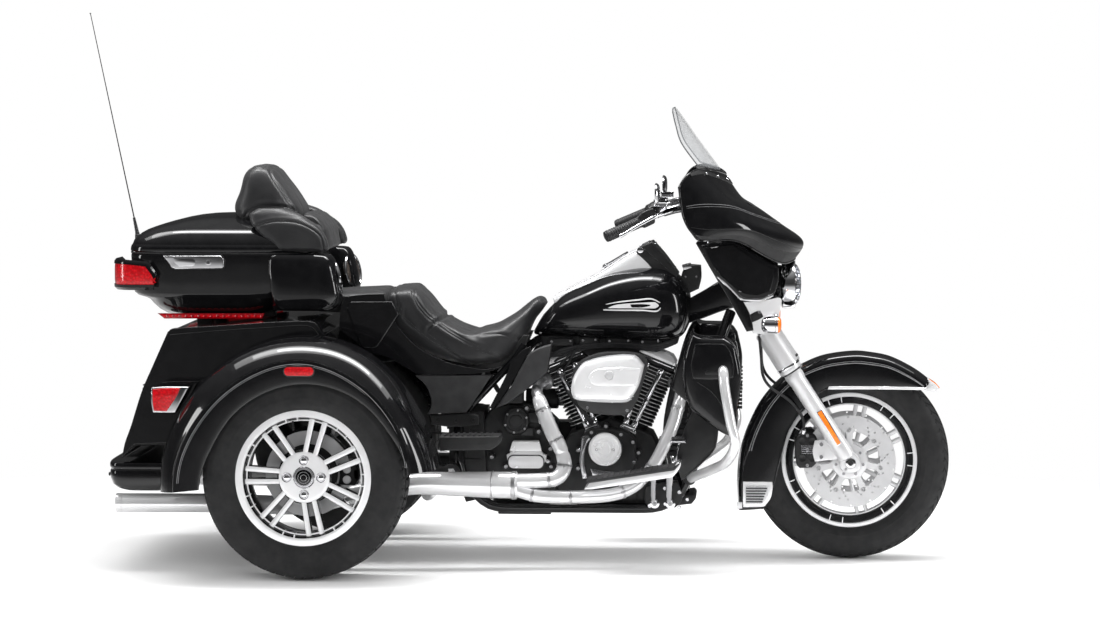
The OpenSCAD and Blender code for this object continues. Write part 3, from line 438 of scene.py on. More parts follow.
M["dark_grey"] = surface_mat("dark_grey_cover", (0.020, 0.020, 0.021), (0.030, 0.030, 0.031), 0.42, 0.52, scale=30, bump=0.15, bump_scale=900, dist=0.0002)

def leather():
    m, nt, bs, tc = mat("black_leather")
    n1 = noise_node(nt, tc, 9, 4)
    nt.links.new(two_tone(nt, n1.outputs[0], (0.010, 0.010, 0.011), (0.019, 0.019, 0.020), 0.3, 0.7), bs.inputs["Base Color"])
    v = nt.nodes.new("ShaderNodeTexVoronoi")
    v.inputs["Scale"].default_value = 420
    nt.links.new(tc.outputs["Object"], v.inputs["Vector"])
    n2 = noise_node(nt, tc, 46, 5, 0.6)
    mx = nt.nodes.new("ShaderNodeMath")
    mx.operation = "MULTIPLY_ADD"
    mx.inputs[1].default_value = 0.55
    nt.links.new(v.outputs["Distance"], mx.inputs[0])
    nt.links.new(n2.outputs[0], mx.inputs[2])
    bumped(nt, bs, mx.outputs[0], 0.32, 0.0009)
    nt.links.new(to_range(nt, n2.outputs[0], 0.36, 0.52), bs.inputs["Roughness"])
    bs.inputs["Specular IOR Level"].default_value = 0.5
    bs.inputs["Sheen Weight"].default_value = 0.05
    return m
M["leather"] = leather()
M["piping"] = surface_mat("seat_piping", (0.012, 0.012, 0.013), (0.022, 0.022, 0.023), 0.35, 0.45, scale=90, bump=0.3, bump_scale=900, dist=0.0003)

def glass(name, col, rough=0.02, alpha=1.0, trans=1.0, ior=1.45):
    m, nt, bs, tc = mat(name)
    n = noise_node(nt, tc, 20)
    nt.links.new(two_tone(nt, n.outputs[0], [c * 0.97 for c in col], col), bs.inputs["Base Color"])
    nt.links.new(to_range(nt, n.outputs[0], rough, rough * 1.8), bs.inputs["Roughness"])
    bs.inputs["Transmission Weight"].default_value = trans
    bs.inputs["IOR"].default_value = ior
    bs.inputs["Alpha"].default_value = alpha
    return m
M["lamp_glass"] = glass("lamp_glass", (0.95, 0.97, 1.0), 0.03)

def screen():
    m, nt, bs, tc = mat("clear_screen")
    n = noise_node(nt, tc, 14)
    nt.links.new(two_tone(nt, n.outputs[0], (0.30, 0.31, 0.32), (0.34, 0.35, 0.36)), bs.inputs["Base Color"])
    nt.links.new(to_range(nt, n.outputs[0], 0.03, 0.07), bs.inputs["Roughness"])
    bs.inputs["Alpha"].default_value = 0.24
    bs.inputs["Specular IOR Level"].default_value = 0.6
    return m
M["screen"] = screen()

def lens(name, c1, c2, emit, strength):
    m, nt, bs, tc = mat(name)
    v = nt.nodes.new("ShaderNodeTexVoronoi")
    v.inputs["Scale"].default_value = 130
    nt.links.new(tc.outputs["Object"], v.inputs["Vector"])
    nt.links.new(two_tone(nt, v.outputs["Distance"], c1, c2, 0.1, 0.7), bs.inputs["Base Color"])
    n = noise_node(nt, tc, 60)
    nt.links.new(to_range(nt, n.outputs[0], 0.12, 0.22), bs.inputs["Roughness"])
    bumped(nt, bs, v.outputs["Distance"], 0.35, 0.002)
    bs.inputs["Coat Weight"].default_value = 0.8
    bs.inputs["Emission Color"].default_value = (*emit, 1)
    bs.inputs["Emission Strength"].default_value = strength
    return m
M["red"] = lens("red_lens", (0.48, 0.001, 0.006), (0.24, 0.0, 0.002), (0.9, 0.002, 0.010), 0.16)
M["red_dark"] = lens("deep_red_lens", (0.28, 0.0, 0.004), (0.14, 0.0, 0.002), (0.7, 0.0, 0.008), 0.10)
# amber lens: its emission is the lamp's light on the lamp bar and fender tip lamps, and a painted glow on the fork-leg
# reflector
M["amber"] = lens("amber_lens", (0.90, 0.22, 0.01), (0.70, 0.14, 0.004), (1.0, 0.24, 0.01), 0.20)

def mesh_grille():
    m, nt, bs, tc = mat("woven_grille")
    v = nt.nodes.new("ShaderNodeTexVoronoi")
    v.inputs["Scale"].default_value = 330
    nt.links.new(tc.outputs["Object"], v.inputs["Vector"])
    nt.links.new(two_tone(nt, v.outputs["Distance"], (0.10, 0.065, 0.045), (0.012, 0.010, 0.009), 0.1, 0.6), bs.inputs["Base Color"])
    bumped(nt, bs, v.outputs["Distance"], 0.7, 0.002)
    bs.inputs["Roughness"].default_value = 0.5
    return m
M["grille"] = mesh_grille()

def ribbed(name, c1, c2, pitch, metal, rough, axis=2):
    """Fine parallel ribs across one axis, pitch in metres."""
    m, nt, bs, tc = mat(name)
    w = nt.nodes.new("ShaderNodeTexWave")
    w.wave_type, w.bands_direction = "BANDS", "XYZ"[axis]
    w.inputs["Scale"].default_value = 0.314 / pitch
    nt.links.new(tc.outputs["Object"], w.inputs["Vector"])
    nt.links.new(two_tone(nt, w.outputs[1], c1, c2, 0.2, 0.8), bs.inputs["Base Color"])
    bumped(nt, bs, w.outputs[1], 0.5, pitch * 0.3)
    n = noise_node(nt, tc, 90)
    nt.links.new(to_range(nt, n.outputs[0], rough, rough * 1.4), bs.inputs["Roughness"])
    bs.inputs["Metallic"].default_value = metal
    return m
M["ribs"] = ribbed("ribbed_rubber", (0.014, 0.014, 0.015), (0.022, 0.022, 0.023), 0.006, 0.0, 0.55, 0)

# every CAD node starts with a finish that suits it, until a modelled piece stands for it
DEFAULT = {"main_frame": "satin", "engine_case": "cast", "cylinders": "cast", "rocker_covers": "chrome", "air_cleaner": "chrome", "engine_covers": "cast",
    "primary_cover": "cast", "exhaust_pipes": "chrome", "mufflers": "chrome", "fuel_tank": "gloss", "tank_console": "chrome", "fuel_door": "chrome", "seat": "leather",
    "side_covers": "gloss", "trunk_body": "gloss", "trunk_door": "gloss", "rear_bumper": "gloss", "rear_fenders": "gloss", "rear_axle": "satin",
    "top_box_base": "gloss", "top_box_lid": "gloss", "backrest": "leather", "speaker_pods": "gloss", "tail_lamps": "red", "antenna": "satin",
    "engine_guard": "chrome", "lower_fairings": "gloss", "floorboards": "plastic", "fork": "silver", "fork_clamps": "satin", "handlebar": "chrome",
    "hand_controls": "plastic", "front_fairing": "gloss", "dash_panel": "plastic", "windshield": "screen", "headlight": "chrome", "lamp_bar": "chrome",
    "front_fender": "gloss", "brake_calipers": "satin", "front_tyre": "tyre", "front_rim": "silver", "rear_tyre_right": "tyre", "rear_rim_right": "silver",
    "rear_tyre_left": "tyre", "rear_rim_left": "silver"}
for n_, o_ in NODES.items():
    o_.data.materials.clear()
    o_.data.materials.append(M[DEFAULT.get(n_, "satin")])

# ------------------------------------------------------------------ stage: floor, world, lights
def make_floor():
    m, nt, bs, tc = mat("studio_floor")
    n = noise_node(nt, tc, 1.2)
    nt.links.new(two_tone(nt, n.outputs[0], g3(0.80), g3(0.82)), bs.inputs["Base Color"])
    bs.inputs["Roughness"].default_value = 0.9
    bs.inputs["Specular IOR Level"].default_value = 0.1
    gr = nt.nodes.new("ShaderNodeTexGradient")
    gr.gradient_type = "SPHERICAL"
    mp = nt.nodes.new("ShaderNodeMapping")
    mp.inputs["Scale"].default_value = (1 / 3.6, 1 / 2.6, 1)
    nt.links.new(tc.outputs["Object"], mp.inputs["Vector"])
    nt.links.new(mp.outputs[0], gr.inputs[0])
    al = to_range(nt, gr.outputs[0], 0.0, 1.0, 0.0, 0.5)
    nt.links.new(al, bs.inputs["Alpha"])
    me = bpy.data.meshes.new("floor")
    k = 48
    me.from_pydata([(3.6 * cos(2 * pi * i / k), 2.6 * sin(2 * pi * i / k), 0) for i in range(k)], [], [tuple(range(k))])
    me.materials.append(m)
    ob = bpy.data.objects.new("floor", me)
    scene.collection.objects.link(ob)
    ob.location = (0.1, 0, -0.0005)
make_floor()

def area(name, loc, target, sx, sy, power, col=(1, 1, 1), glossy=True):
    d = bpy.data.lights.new(name, "AREA")
    d.shape, d.size, d.size_y, d.energy, d.color = "RECTANGLE", sx, sy, power, col
    o = bpy.data.objects.new(name, d)
    scene.collection.objects.link(o)
    o.location = loc
    o.rotation_mode = "QUATERNION"
    o.rotation_quaternion = (Vector(target) - Vector(loc)).to_track_quat("-Z", "Y")
    o.visible_camera = False
    o.visible_glossy = glossy
    return o
area("overhead_softbox", (0.1, 0.0, 3.7), (0.1, 0, 0), 7.0, 1.3, 95)
area("overhead_inner", (0.1, 0.0, 3.68), (0.1, 0, 0), 5.4, 0.8, 80)
area("overhead_core", (0.1, 0.0, 3.66), (0.1, 0, 0), 3.6, 0.42, 65)
area("front_fill", (0.6, -6.5, 2.2), (0.1, 0, 0.6), 5.0, 2.0, 175, glossy=False)
area("back_fill", (0.3, 6.5, 2.2), (0.1, 0, 0.6), 5.0, 2.0, 90, glossy=False)
area("rear_strip", (-5.5, -1.5, 1.6), (-0.6, 0, 0.7), 0.7, 2.6, 60)
area("nose_strip", (5.5, -1.2, 1.7), (0.8, 0, 0.8), 0.8, 2.6, 70)

def make_world():
    w = bpy.data.worlds.new("studio")
    scene.world = w
    w.use_nodes = True
    nt = w.node_tree
    nt.nodes.clear()
    out = nt.nodes.new("ShaderNodeOutputWorld")
    lp = nt.nodes.new("ShaderNodeLightPath")
    tc = nt.nodes.new("ShaderNodeTexCoord")
    sep = nt.nodes.new("ShaderNodeSeparateXYZ")
    nt.links.new(tc.outputs["Generated"], sep.inputs[0])
    ramp = nt.nodes.new("ShaderNodeValToRGB")
    e = ramp.color_ramp.elements
    e[0].position, e[0].color = 0.0, (0.75, 0.75, 0.75, 1)
    e[1].position, e[1].color = 1.0, (0.42, 0.42, 0.42, 1)
    for pos, v in ((0.38, 0.62), (0.47, 0.10), (0.53, 0.035), (0.70, 0.05), (0.86, 0.22)):
        x = e.new(pos)
        x.color = (v, v, v, 1)
    mr = nt.nodes.new("ShaderNodeMapRange")
    mr.inputs[1].default_value, mr.inputs[2].default_value = -1, 1
    nt.links.new(sep.outputs[2], mr.inputs[0])
    nt.links.new(mr.outputs[0], ramp.inputs[0])
    white = nt.nodes.new("ShaderNodeBackground")
    white.inputs[0].default_value, white.inputs[1].default_value = (1, 1, 1, 1), 1.0
    amb = nt.nodes.new("ShaderNodeBackground")
    amb.inputs[0].default_value, amb.inputs[1].default_value = (1, 1, 1, 1), 0.75
    dark = nt.nodes.new("ShaderNodeBackground")
    nt.links.new(ramp.outputs[0], dark.inputs[0])
    m1, m2 = nt.nodes.new("ShaderNodeMixShader"), nt.nodes.new("ShaderNodeMixShader")
    nt.links.new(lp.outputs["Is Glossy Ray"], m1.inputs[0])
    nt.links.new(amb.outputs[0], m1.inputs[1])
    nt.links.new(dark.outputs[0], m1.inputs[2])
    nt.links.new(lp.outputs["Is Camera Ray"], m2.inputs[0])
    nt.links.new(m1.outputs[0], m2.inputs[1])
    nt.links.new(white.outputs[0], m2.inputs[2])
    nt.links.new(m2.outputs[0], out.inputs[0])
make_world()
# ------------------------------------------------------------------ wheels
RZ, FX, FZ = 318.0, 1681.0, 319.5

def tyre_prim(x, y, z, half, ymid, rtop, pitches, depth, grooves, skew):
    """A tyre with real tread blocks. half: (radius, half width) from the bead to the shoulder; beyond it the tread runs
    from the shoulder to 0. ymid is not used.
    """
    side = crv(half, 5)
    rows = []                                   # radius, y, 0 sidewall / 1 lateral grooves / 2 ring groove
    rs, ys = side[-1]
    for r, w in side:
        rows.append((r, w, 0.0))
    # small raised rings on the sidewall
    out = []
    for r, w, k in rows:
        bulge = 0.0
        for c in (half[4][0] - 6, half[5][0] + 4):
            if abs(r - c) < 1.6:
                bulge = 0.9
        out.append((r, w + bulge, k))
    rows = out
    y_s = ys
    tread = []
    marks = sorted([(g, 5.0) for g in grooves], reverse=True)

    steps = [y_s - 2, y_s - 9]
    for g, w in marks:
        steps += [g + w + 0.6, g + w - 0.6, g - w + 0.6, g - w - 0.6]
    steps += [2.0]
    for yy in steps:
        t = 1 - (yy / y_s) ** 2
        rr = rs + (rtop - rs) * (1 - (yy / y_s) ** 2.4)
        kind = 1.0
        for g, w in marks:
            if g - w < yy < g + w:
                kind = 2.0
        tread.append((rr, yy, kind))
    rows = rows + tread
    full = rows + [(r, -w, k) for r, w, k in reversed(rows)]
    ph = [0.0, 0.36, 0.40, 0.60, 0.64]
    inside = [0, 0, 1, 1, 0]
    v, n = [], len(full)
    for p in range(pitches):
        for q, ins in zip(ph, inside):
            for j, (r, w, k) in enumerate(full):
                sk = skew * math.sin(w / y_s * pi * 1.25) if k else 0
                sh_ = 0.5 if w < 0 else 0.0
                a = 2 * pi * (p + q + (sk + sh_ if k else sh_)) / pitches
                d = 0.0
                if k == 1 and ins:
                    d = depth
                if k == 2:
                    d = depth * 1.1
                if k == 0 and r > half[-2][0] and ins:
                    d = depth * 0.45 * (r - half[-2][0]) / (half[-1][0] - half[-2][0])
                v.append((x + (r - d) * cos(a), y + w, z + (r - d) * sin(a)))
    m = pitches * len(ph)
    f, tread_f = [], []
    for i in range(m):
        i2 = (i + 1) % m
        for j in range(n - 1):
            q = (i * n + j, i * n + j + 1, i2 * n + j + 1, i2 * n + j)
            (tread_f if full[j][2] or full[j + 1][2] else f).append(q)
    # bead closing strip on the inside
    for i in range(m):
        i2 = (i + 1) % m
        f.append((i * n, i2 * n, i2 * n + n - 1, i * n + n - 1))
    return A(v), f, tread_f

def tyre(name, body, node, *args):
    v, f, tf = tyre_prim(*args)
    p = Part(name)
    p.add((v, f), M["tyre"])
    p.mats.append(M["tread"])
    p.f += tf
    p.m += [1] * len(tf)
    return p.done(body, (node,), "tyre_rubber", angle=28)

REAR_HALF = [(192, 76), (209, 84.5), (210.5, 93), (228, 100), (250, 102), (275, 101.5), (296, 98), (308, 91)]
FRONT_HALF = [(199, 37), (217.5, 41.5), (219, 50), (232, 59.5), (250, 63.6), (268, 64.2), (288, 60.5), (302, 52)]
tyre("rear_tyre_right_detail", "rear_wheel_right", "rear_tyre_right", 0, -555, RZ, REAR_HALF, 91, 317.2, 64, 6, (22, 60), 0.22)
tyre("rear_tyre_left_detail", "rear_wheel_left", "rear_tyre_left", 0, 555, RZ, REAR_HALF, 91, 317.2, 64, 6, (22, 60), 0.22)
tyre("front_tyre_detail", "front_wheel", "front_tyre", FX, 0, FZ, FRONT_HALF, 52, 318.8, 60, 5, (14, ), 0.55)

def spoke(r0, o0, r1, o1, w0, w1, y_face, y_back, crown=2.0):
    """One spoke along +X: width w, its face crowned towards +Y."""
    rings = []
    for t in np.linspace(0, 1, 7):
        r, o, w = r0 + (r1 - r0) * t, o0 + (o1 - o0) * t, w0 + (w1 - w0) * t
        yb = y_back + (y_face - 10 - y_back) * max(0, (t - 0.72) / 0.28) * 0.4
        rings.append([(r, y_face - 2.6, o - w / 2), (r, y_face - 0.6, o - w / 2 + 1.6), (r, y_face + crown * 0.4, o - w / 5), (r, y_face + crown * 0.4, o + w / 5),
            (r, y_face - 0.6, o + w / 2 - 1.6), (r, y_face - 2.6, o + w / 2), (r, yb, o + w / 2 - 1), (r, yb, o - w / 2 + 1)])
    return loft(rings)

def rear_rim(side, body):
    s = -1 if side == "right" else 1
    p = Part("rear_wheel_%s_detail" % side)
    def put(prim, m):
        v = A(prim[0]).copy()
        v[:, 1] = s * (555 + v[:, 1])
        v[:, 2] += RZ
        p.add((v, prim[1] if s > 0 else [q[::-1] for q in prim[1]]), M[m])
    # outer lip, well and inboard flange
    put(rev([(209, 84), (209, 92), (205, 93.2), (192, 93.0), (189, 91), (187.5, 88), (186.5, 84), (189, 80), (205, 82)], n=128, closed=True), "machined")
    put(rev([(188, 84), (186, 82), (181, 66), (178, 40), (177, -20), (179, -60), (186, -80), (208, -88), (208, -92), (190, -90), (184, -84), (183, -60), (181, 30), (186, 66), (190, 82)], n=128, closed=True), "gloss")
    put(ring((0, 64, 0), (0, 1, 0), 174.5, 179, 3, 128, 0.8), "machined")
    for k in range(7):
        a = k * 360 / 7 + 75.3
        for t in (-1, 1):
            # the spoke's bright face and its black flank
            put(spin(spoke(76, t * 16, 183, t * 20.5, 15, 17, 68, 30), 0, 0, a), "machined")
            put(spin(spoke(72, t * 15.5, 180, t * 20, 19, 19, 62.5, 22, 0), 0, 0, a), "gloss")
            # ribs on the well between the pairs
            put(spin(extr([(176.5, -1.6), (188.5, -1.8), (188.5, 1.8), (176.5, 1.6)], 34, 88, 0.5, 1), 0, 0, a + 25.7 + t * 5.6), "machined")
    # hub face, lug bolts and cap
    put(rev([(0, 70), (66, 70), (74, 69.3), (78, 66.5), (79, 62), (79, 48), (60, 40), (0, 40)], n=96), "machined")
    put(rev([(79.2, 60), (83, 58), (84, 44), (80, 36), (60, 34)], n=96), "gloss")
    for k in range(4):
        a = rad(k * 90 + 45 + 45)
        c = (53 * cos(a), 69, 53 * sin(a))
        put(rev([(15.5, 0), (15.5, 1.5), (14.2, 2.6), (12.5, 2.2), (11.8, 3.2), (10.5, 8), (7.5, 11), (3.5, 12.2), (0, 12.5)], c, (0, 1, 0), 28), "chrome")
    put(rev([(34, 69), (34, 72.5), (32, 74.5), (29.5, 74.5), (28, 73), (25.5, 73), (24.5, 75.5)], n=64), "chrome")
    put(rev([(25, 72), (24.6, 76), (20, 78.3), (10, 79.3), (0, 79.6)], n=48), "gloss")
    for r in (17.5, 9.5):
        put(ring((0, 77.2 if r > 15 else 78.6, 0), (0, 1, 0), r - 0.9, r + 0.9, 1.5, 40, 0.3), "badge")
    # brake disc inboard, with its bell and drive shaft
    put(rev([(88, -40), (133, -40), (133, -46), (88, -46)], n=96, closed=True), "disc")
    put(rev([(60, -30), (92, -39), (92, -47), (54, -47), (44, 40), (52, 40)], n=64, closed=True), "satin")
    put(rev([(0, -46), (21, -46), (21, -160), (0, -160)], n=24), "satin")
    # valve
    put(rev([(3.2, 0), (3.2, 22), (2.2, 23), (2.2, 30), (0, 31)], (176 * cos(rad(101)), 70, 176 * sin(rad(101))), (-cos(rad(101)), 0.6, -sin(rad(101))), 10), "satin")
    return p.done(body, ("rear_rim_" + side,), "silver", angle=32)
rear_rim("right", "rear_wheel_right")
rear_rim("left", "rear_wheel_left")

def perforated(r0, r1, rows, segs, holes, rh, y0, y1, x, z):
    """A flat ring with real round holes: holes are (row, segment) cells."""
    v, f = [], []
    idx = {}
    def vert(i, j, s):
        key = (i, j % segs, s)
        if key not in idx:
            r = r0 + (r1 - r0) * i / rows
            a = 2 * pi * j / segs
            idx[key] = len(v)
            v.append((x + r * cos(a), y1 if s else y0, z + r * sin(a)))
        return idx[key]
    for i in range(rows):
        for j in range(segs):
            rc, ac = r0 + (r1 - r0) * (i + 0.5) / rows, 2 * pi * (j + 0.5) / segs
            for s in (0, 1):
                c = [vert(i, j, s), vert(i + 1, j, s), vert(i + 1, j + 1, s), vert(i, j + 1, s)]
                if (i, j) not in holes:
                    f.append(tuple(c) if s else tuple(c[::-1]))
                    continue
                hs = []
                for k in range(8):
                    t = 2 * pi * k / 8 + pi * 1.25          # starts at the inner, lower corner and follows the cell's corners
                    dr, dt = rh * cos(t), rh * sin(t)
                    r, a = rc + dr, ac + dt / rc
                    hs.append(len(v))
                    v.append((x + r * cos(a), y1 if s else y0, z + r * sin(a)))
                # corners in order: (-,-), (+,-), (+,+), (-,+) in (radius, angle)
                for k in range(4):
                    q = (c[k], c[(k + 1) % 4], hs[(2 * k + 2) % 8], hs[2 * k + 1], hs[2 * k])
                    f.append(q if s else q[::-1])
                if s == 0:
                    low = hs
                else:
                    for k in range(8):
                        f.append((low[k], low[(k + 1) % 8], hs[(k + 1) % 8], hs[k]))
    for i in (0, rows):
        for j in range(segs):
            f.append((vert(i, j, 0), vert(i, j + 1, 0), vert(i, j + 1, 1), vert(i, j, 1)))
    return (A(v), f)

def front_rim():
    p = Part("front_wheel_detail")
    def put(prim, m, both=False):
        v = A(prim[0]).copy()
        v[:, 0] += FX
        v[:, 2] += FZ
        p.add((v, prim[1]), M[m], both)
    for s in (-1, 1):
        pr = [(216.5, 40), (216.5, 44.5), (214, 46), (207, 46), (204, 44), (202.5, 40), (206, 36), (214, 38)]
        put(rev([(r, s * y) for r, y in pr], n=128, closed=True), "machined")
        for k in range(7):
            a = k * 360 / 7 + 78
            for t in (-1, 1):
                put(spin(extr([(186, -1.5), (204, -1.8), (204, 1.8), (186, 1.5)], s * 24 if s > 0 else -43, 43 if s > 0 else -24, 0.5, 1), 0, 0, a + 25.7 + t * 6), "machined")
    put(rev([(203, 40), (200, 36), (190, 28), (187, 20), (187, -20), (190, -28), (200, -36), (203, -40), (207, -42), (200, -43), (184, -32), (179, -22), (179, 22), (184, 32), (200, 43), (207, 42)], n=128, closed=True), "gloss")
    for s in (-1, 1):
        put(ring((0, s * 22 - (1.5 if s > 0 else 1.5), 0), (0, 1, 0), 176, 181, 3, 128, 0.8), "machined")
    for k in range(7):
        a = k * 360 / 7 + 78
        for t in (-1, 1):
            sp = spoke(50, t * 11, 188, t * 15, 12, 13, 14, 0, 2)
            put(spin(sp, 0, 0, a), "machined")
            put(spin(mirror_y(sp), 0, 0, a), "machined")
    put(rev([(0, -62), (34, -62), (34, -30), (60, -24), (62, -20), (62, 20), (60, 24), (34, 30), (34, 62), (0, 62)], n=64), "machined")
    # floating discs: drilled rotor, carrier arms and bobbins, both sides
    holes = set()
    for g in range(14):
        for k, (row, off) in enumerate(((0, 0), (1, 1), (2, 2), (4, 3))):
            holes.add((row, (g * 6 + off + (3 if g % 2 and row == 2 else 0)) % 84))
    rotor = perforated(97, 147, 5, 84, holes, 3.1, 77.5, 82.5, 0, 0)
    for s in (1, -1):
        q = rotor if s > 0 else mirror_y(rotor)
        put(q, "disc")
        yy = lambda a_, b_: (a_, b_) if s > 0 else (-b_, -a_)
        put(rev([(26, s * 62), (26, s * 84), (34, s * 86), (48, s * 84), (56, s * 81), (58, s * 76), (56, s * 70), (40, s * 62)], n=56, closed=True), "silver")
        for k in range(7):
            a = k * 360 / 7 + 65 + 25.7
            y0, y1 = yy(75.5, 80.8)
            arm = extr([(50, -14), (66, -9), (88, -11), (99, -17), (104, -15), (104, 15), (99, 17), (88, 11), (66, 9), (50, 14)], y0, y1, 1.2, 1)
            put(spin(arm, 0, 0, a), "silver")
            put(spin(rev([(7.5, 0), (7.5, 2.6), (6.2, 3.4), (4.4, 3.4), (3.6, 2), (0, 2)], (101, s * 81.5, 0), (0, s, 0), 16), 0, 0, a), "steel")
            put(spin(bolt((44, s * 83, 0), (0, s, 0), 5.5, 4.5), 0, 0, a), "chrome_soft")
    return p.done("front_wheel", ("front_rim",), "silver", angle=32)
front_rim()
# ------------------------------------------------------------------ rear fenders
def lookup(a, t):
    return float(np.interp(a, [q[0] for q in t], [q[1] for q in t]))
F_OUT = [[0, 412], [4.8, 408], [19.7, 392], [40.8, 395], [67.8, 421], [90.3, 427], [128.4, 433], [153, 437], [184.5, 456]]
F_CR = [[0, 340], [6.5, 340], [37.3, 340], [63, 351], [90.3, 371], [122.3, 362], [150, 368], [185.2, 401]]
F_OP = [[0, 330], [6.6, 326], [26.6, 301], [60.6, 297], [89, 292], [115.3, 285], [159, 286], [178.3, 308], [188, 322]]

def smooth_fn(t):
    xs = np.linspace(3, 186, 16)
    ys = [np.mean([lookup(x + d, t) for d in (-9, -4, 0, 4, 9)]) for x in xs]
    def f(a):
        return float(np.interp(a, xs2, ys2))
    pts = crv(list(zip(xs, ys)), 8)
    xs2, ys2 = pts[:, 0], pts[:, 1]
    return f
f_out, f_cr, f_op = smooth_fn(F_OUT), smooth_fn(F_CR), smooth_fn(F_OP)

def fpt(a, r, y):
    return (r * cos(rad(a)), y, RZ + r * sin(rad(a)))

def fender_row(a):
    ro, rc, rp = f_out(a), f_cr(a), f_op(a)
    m = lambda u, v, t: u + (v - u) * t
    prof = [(ro - 7, 424), (ro - 2, 440), (ro, 470), (ro, 520), (ro - 1, 565), (ro - 5, 605), (m(ro, rc, 0.22), 636), (m(ro, rc, 0.45), 660), (m(ro, rc, 0.70), 678),
            (m(ro, rc, 0.90), 689), (rc + 1, 693.5)]
    prof = [tuple(q) for q in crv(prof, 4)]
    # the crease: a small step, then the flat outer side down to the wheel opening, which rolls in
    low = [(rc - 1.2, 694.4), (rc - 3.2, 692.2), (rc - 8, 692.4), (m(rc, rp, 0.45), 693.8), (m(rc, rp, 0.8), 693.2), (rp + 5, 692.4), (rp + 1.6, 691), (rp, 688), (rp + 0.6, 684), (rp + 3, 681)]
    return [fpt(a, r, y) for r, y in prof + low]

ends = list(np.linspace(3.5, 186, 88))
g = np.array([fender_row(a) for a in ends])
fend = Part("rear_fenders_detail")
fend.add(shell(g, 4.0), M["gloss"], True)
# twin pinstripes just inside the crease
def stripe_band(dr, w, y):
    rows = []
    for a in np.linspace(7, 182, 120):
        rc = f_cr(a)
        rows.append([fpt(a, rc - dr, y - 0.6), fpt(a, rc - dr, y), fpt(a, rc - dr - w, y), fpt(a, rc - dr - w, y - 0.6)])
    return surface(rows)
fend.add(stripe_band(13.0, 1.9, 693.35), M["pin"], True)
fend.add(stripe_band(18.0, 1.2, 693.45), M["pin"], True)
# inner flange where the fender meets the trunk
rows = []
for a in np.linspace(5, 184, 80):
    ro = f_out(a)
    rows.append([fpt(a, ro - 7, 426), fpt(a, ro - 10, 421), fpt(a, ro - 46, 419), fpt(a, ro - 46, 423)])
fend.add(surface(rows), M["satin"], True)
# a liner under the crown
rows = []
for a in np.linspace(8, 182, 70):
    ro, rc, rp = f_out(a), f_cr(a), f_op(a)
    rows.append([fpt(a, ro - 16, 424), fpt(a, ro - 10, 560), fpt(a, ro - 20, 620), fpt(a, rc + 4, 676), fpt(a, rp + 8, 684)])
fend.add(shell(rows, 2.0), M["deep"], True)
fend.done("chassis", ("rear_fenders",), "gloss_black", angle=40)

# ------------------------------------------------------------------ trunk between the wheels
def slab_outline(pts, k=5):
    return pin(pts, k)

trunk_side = slab_outline([(-455, 743, 0), (-448, 752), (-420, 760), (-232, 773), (-120, 781), (-12, 785, 0), (14, 776), (35, 742, 0), (52, 700), (60, 640, 0), (60, 420, 0),
    (-300, 408, 0), (-560, 396, 0), (-600, 352, 0), (-590, 400), (-570, 455), (-536, 561), (-498, 648)], 5)
tb = Part("trunk_shell_detail")
tb.add(extr(trunk_side, 374, 418, 11, 4), M["gloss"], True)
# roof and floor between the two sides, and the frame round the rear opening
roof = [(x, 742 + z) for x, z in ((-448, 8), (-420, 17), (-360, 22), (-232, 30), (-120, 38.4), (-12, 42), (12, 34), (30, 2))]
tb.add(extr([(x, z) for x, z in roof] + [(x, z - 10) for x, z in roof[::-1]], -376, 376, 1.5, 1), M["gloss"])
tb.add(extr([(60, 420), (60, 640), (48, 700), (36, 738), (24, 738), (38, 700), (50, 640), (50, 420)], -376, 376, 1.5, 1), M["gloss"])
tb.add(extr([(60, 420), (-300, 408), (-560, 396), (-592, 372), (-598, 354), (-560, 386), (-300, 396), (60, 408)], -376, 376, 1.5, 1), M["satin"])
tb.add(extr([(-470, 712), (-452, 738), (-430, 744), (-430, 728)], -376, 376, 2, 2), M["gloss"])
# seam line along the trunk's upper edge
tb.add(tube([(-444, 0, 741), (-300, 0, 756), (-120, 0, 770), (-14, 0, 774), (20, 0, 745)], 1.6, 6, 8), M["deep"])
tb.add(move(tube([(-446, 418, 740), (-300, 418.4, 753), (-120, 418.4, 765), (-14, 418.4, 770), (22, 418.4, 742)], 1.3, 6, 8)), M["satin"], True)
# cowl under the pillion seat
cowl = slab_outline([(60, 640, 0), (46, 700), (62, 772, 0), (140, 765), (200, 728), (262, 682), (290, 645, 0), (180, 632)], 5)
tb.add(extr(cowl, -118, 118, 14, 4), M["gloss"])
tb.done("chassis", ("trunk_body",), "gloss_black", weighted=True, angle=40)

td = Part("trunk_door_detail")
N_ = np.array([0.900, 0.436])      # outward normal of the door in X, Z, to the rear
def door_pt(u, y, out):
    """u runs down the door from its top edge; out is the distance behind its face."""
    line = crv([(-455, 728), (-497, 646), (-532, 561), (-560, 480), (-578, 425), (-586, 388)], 10)
    s = np.concatenate([[0], np.cumsum(np.linalg.norm(np.diff(line, axis=0), axis=1))])
    x = np.interp(u * s[-1], s, line[:, 0])
    z = np.interp(u * s[-1], s, line[:, 1])
    return (x - out * 0.92, y, z + out * 0.36)
rows = []
for u in np.linspace(0, 1, 25):
    row = []
    for y in np.linspace(-366, 366, 41):
        e = min(u, 1 - u) * 380
        f_ = 366 - abs(y)
        edge = min(e, f_)
        out = -4.5 + 4.5 * (1 - max(0, 1 - edge / 10) ** 2) ** 0.5
        # a shallow pressed panel for the plate
        if abs(y) < 150 and 0.42 < u < 0.86:
            out -= 5 * min(1, (150 - abs(y)) / 8, (u - 0.42) * 380 / 8, (0.86 - u) * 380 / 8)
        row.append(door_pt(u, y, out))
    rows.append(row)
td.add(shell(rows, 7), M["gloss"])
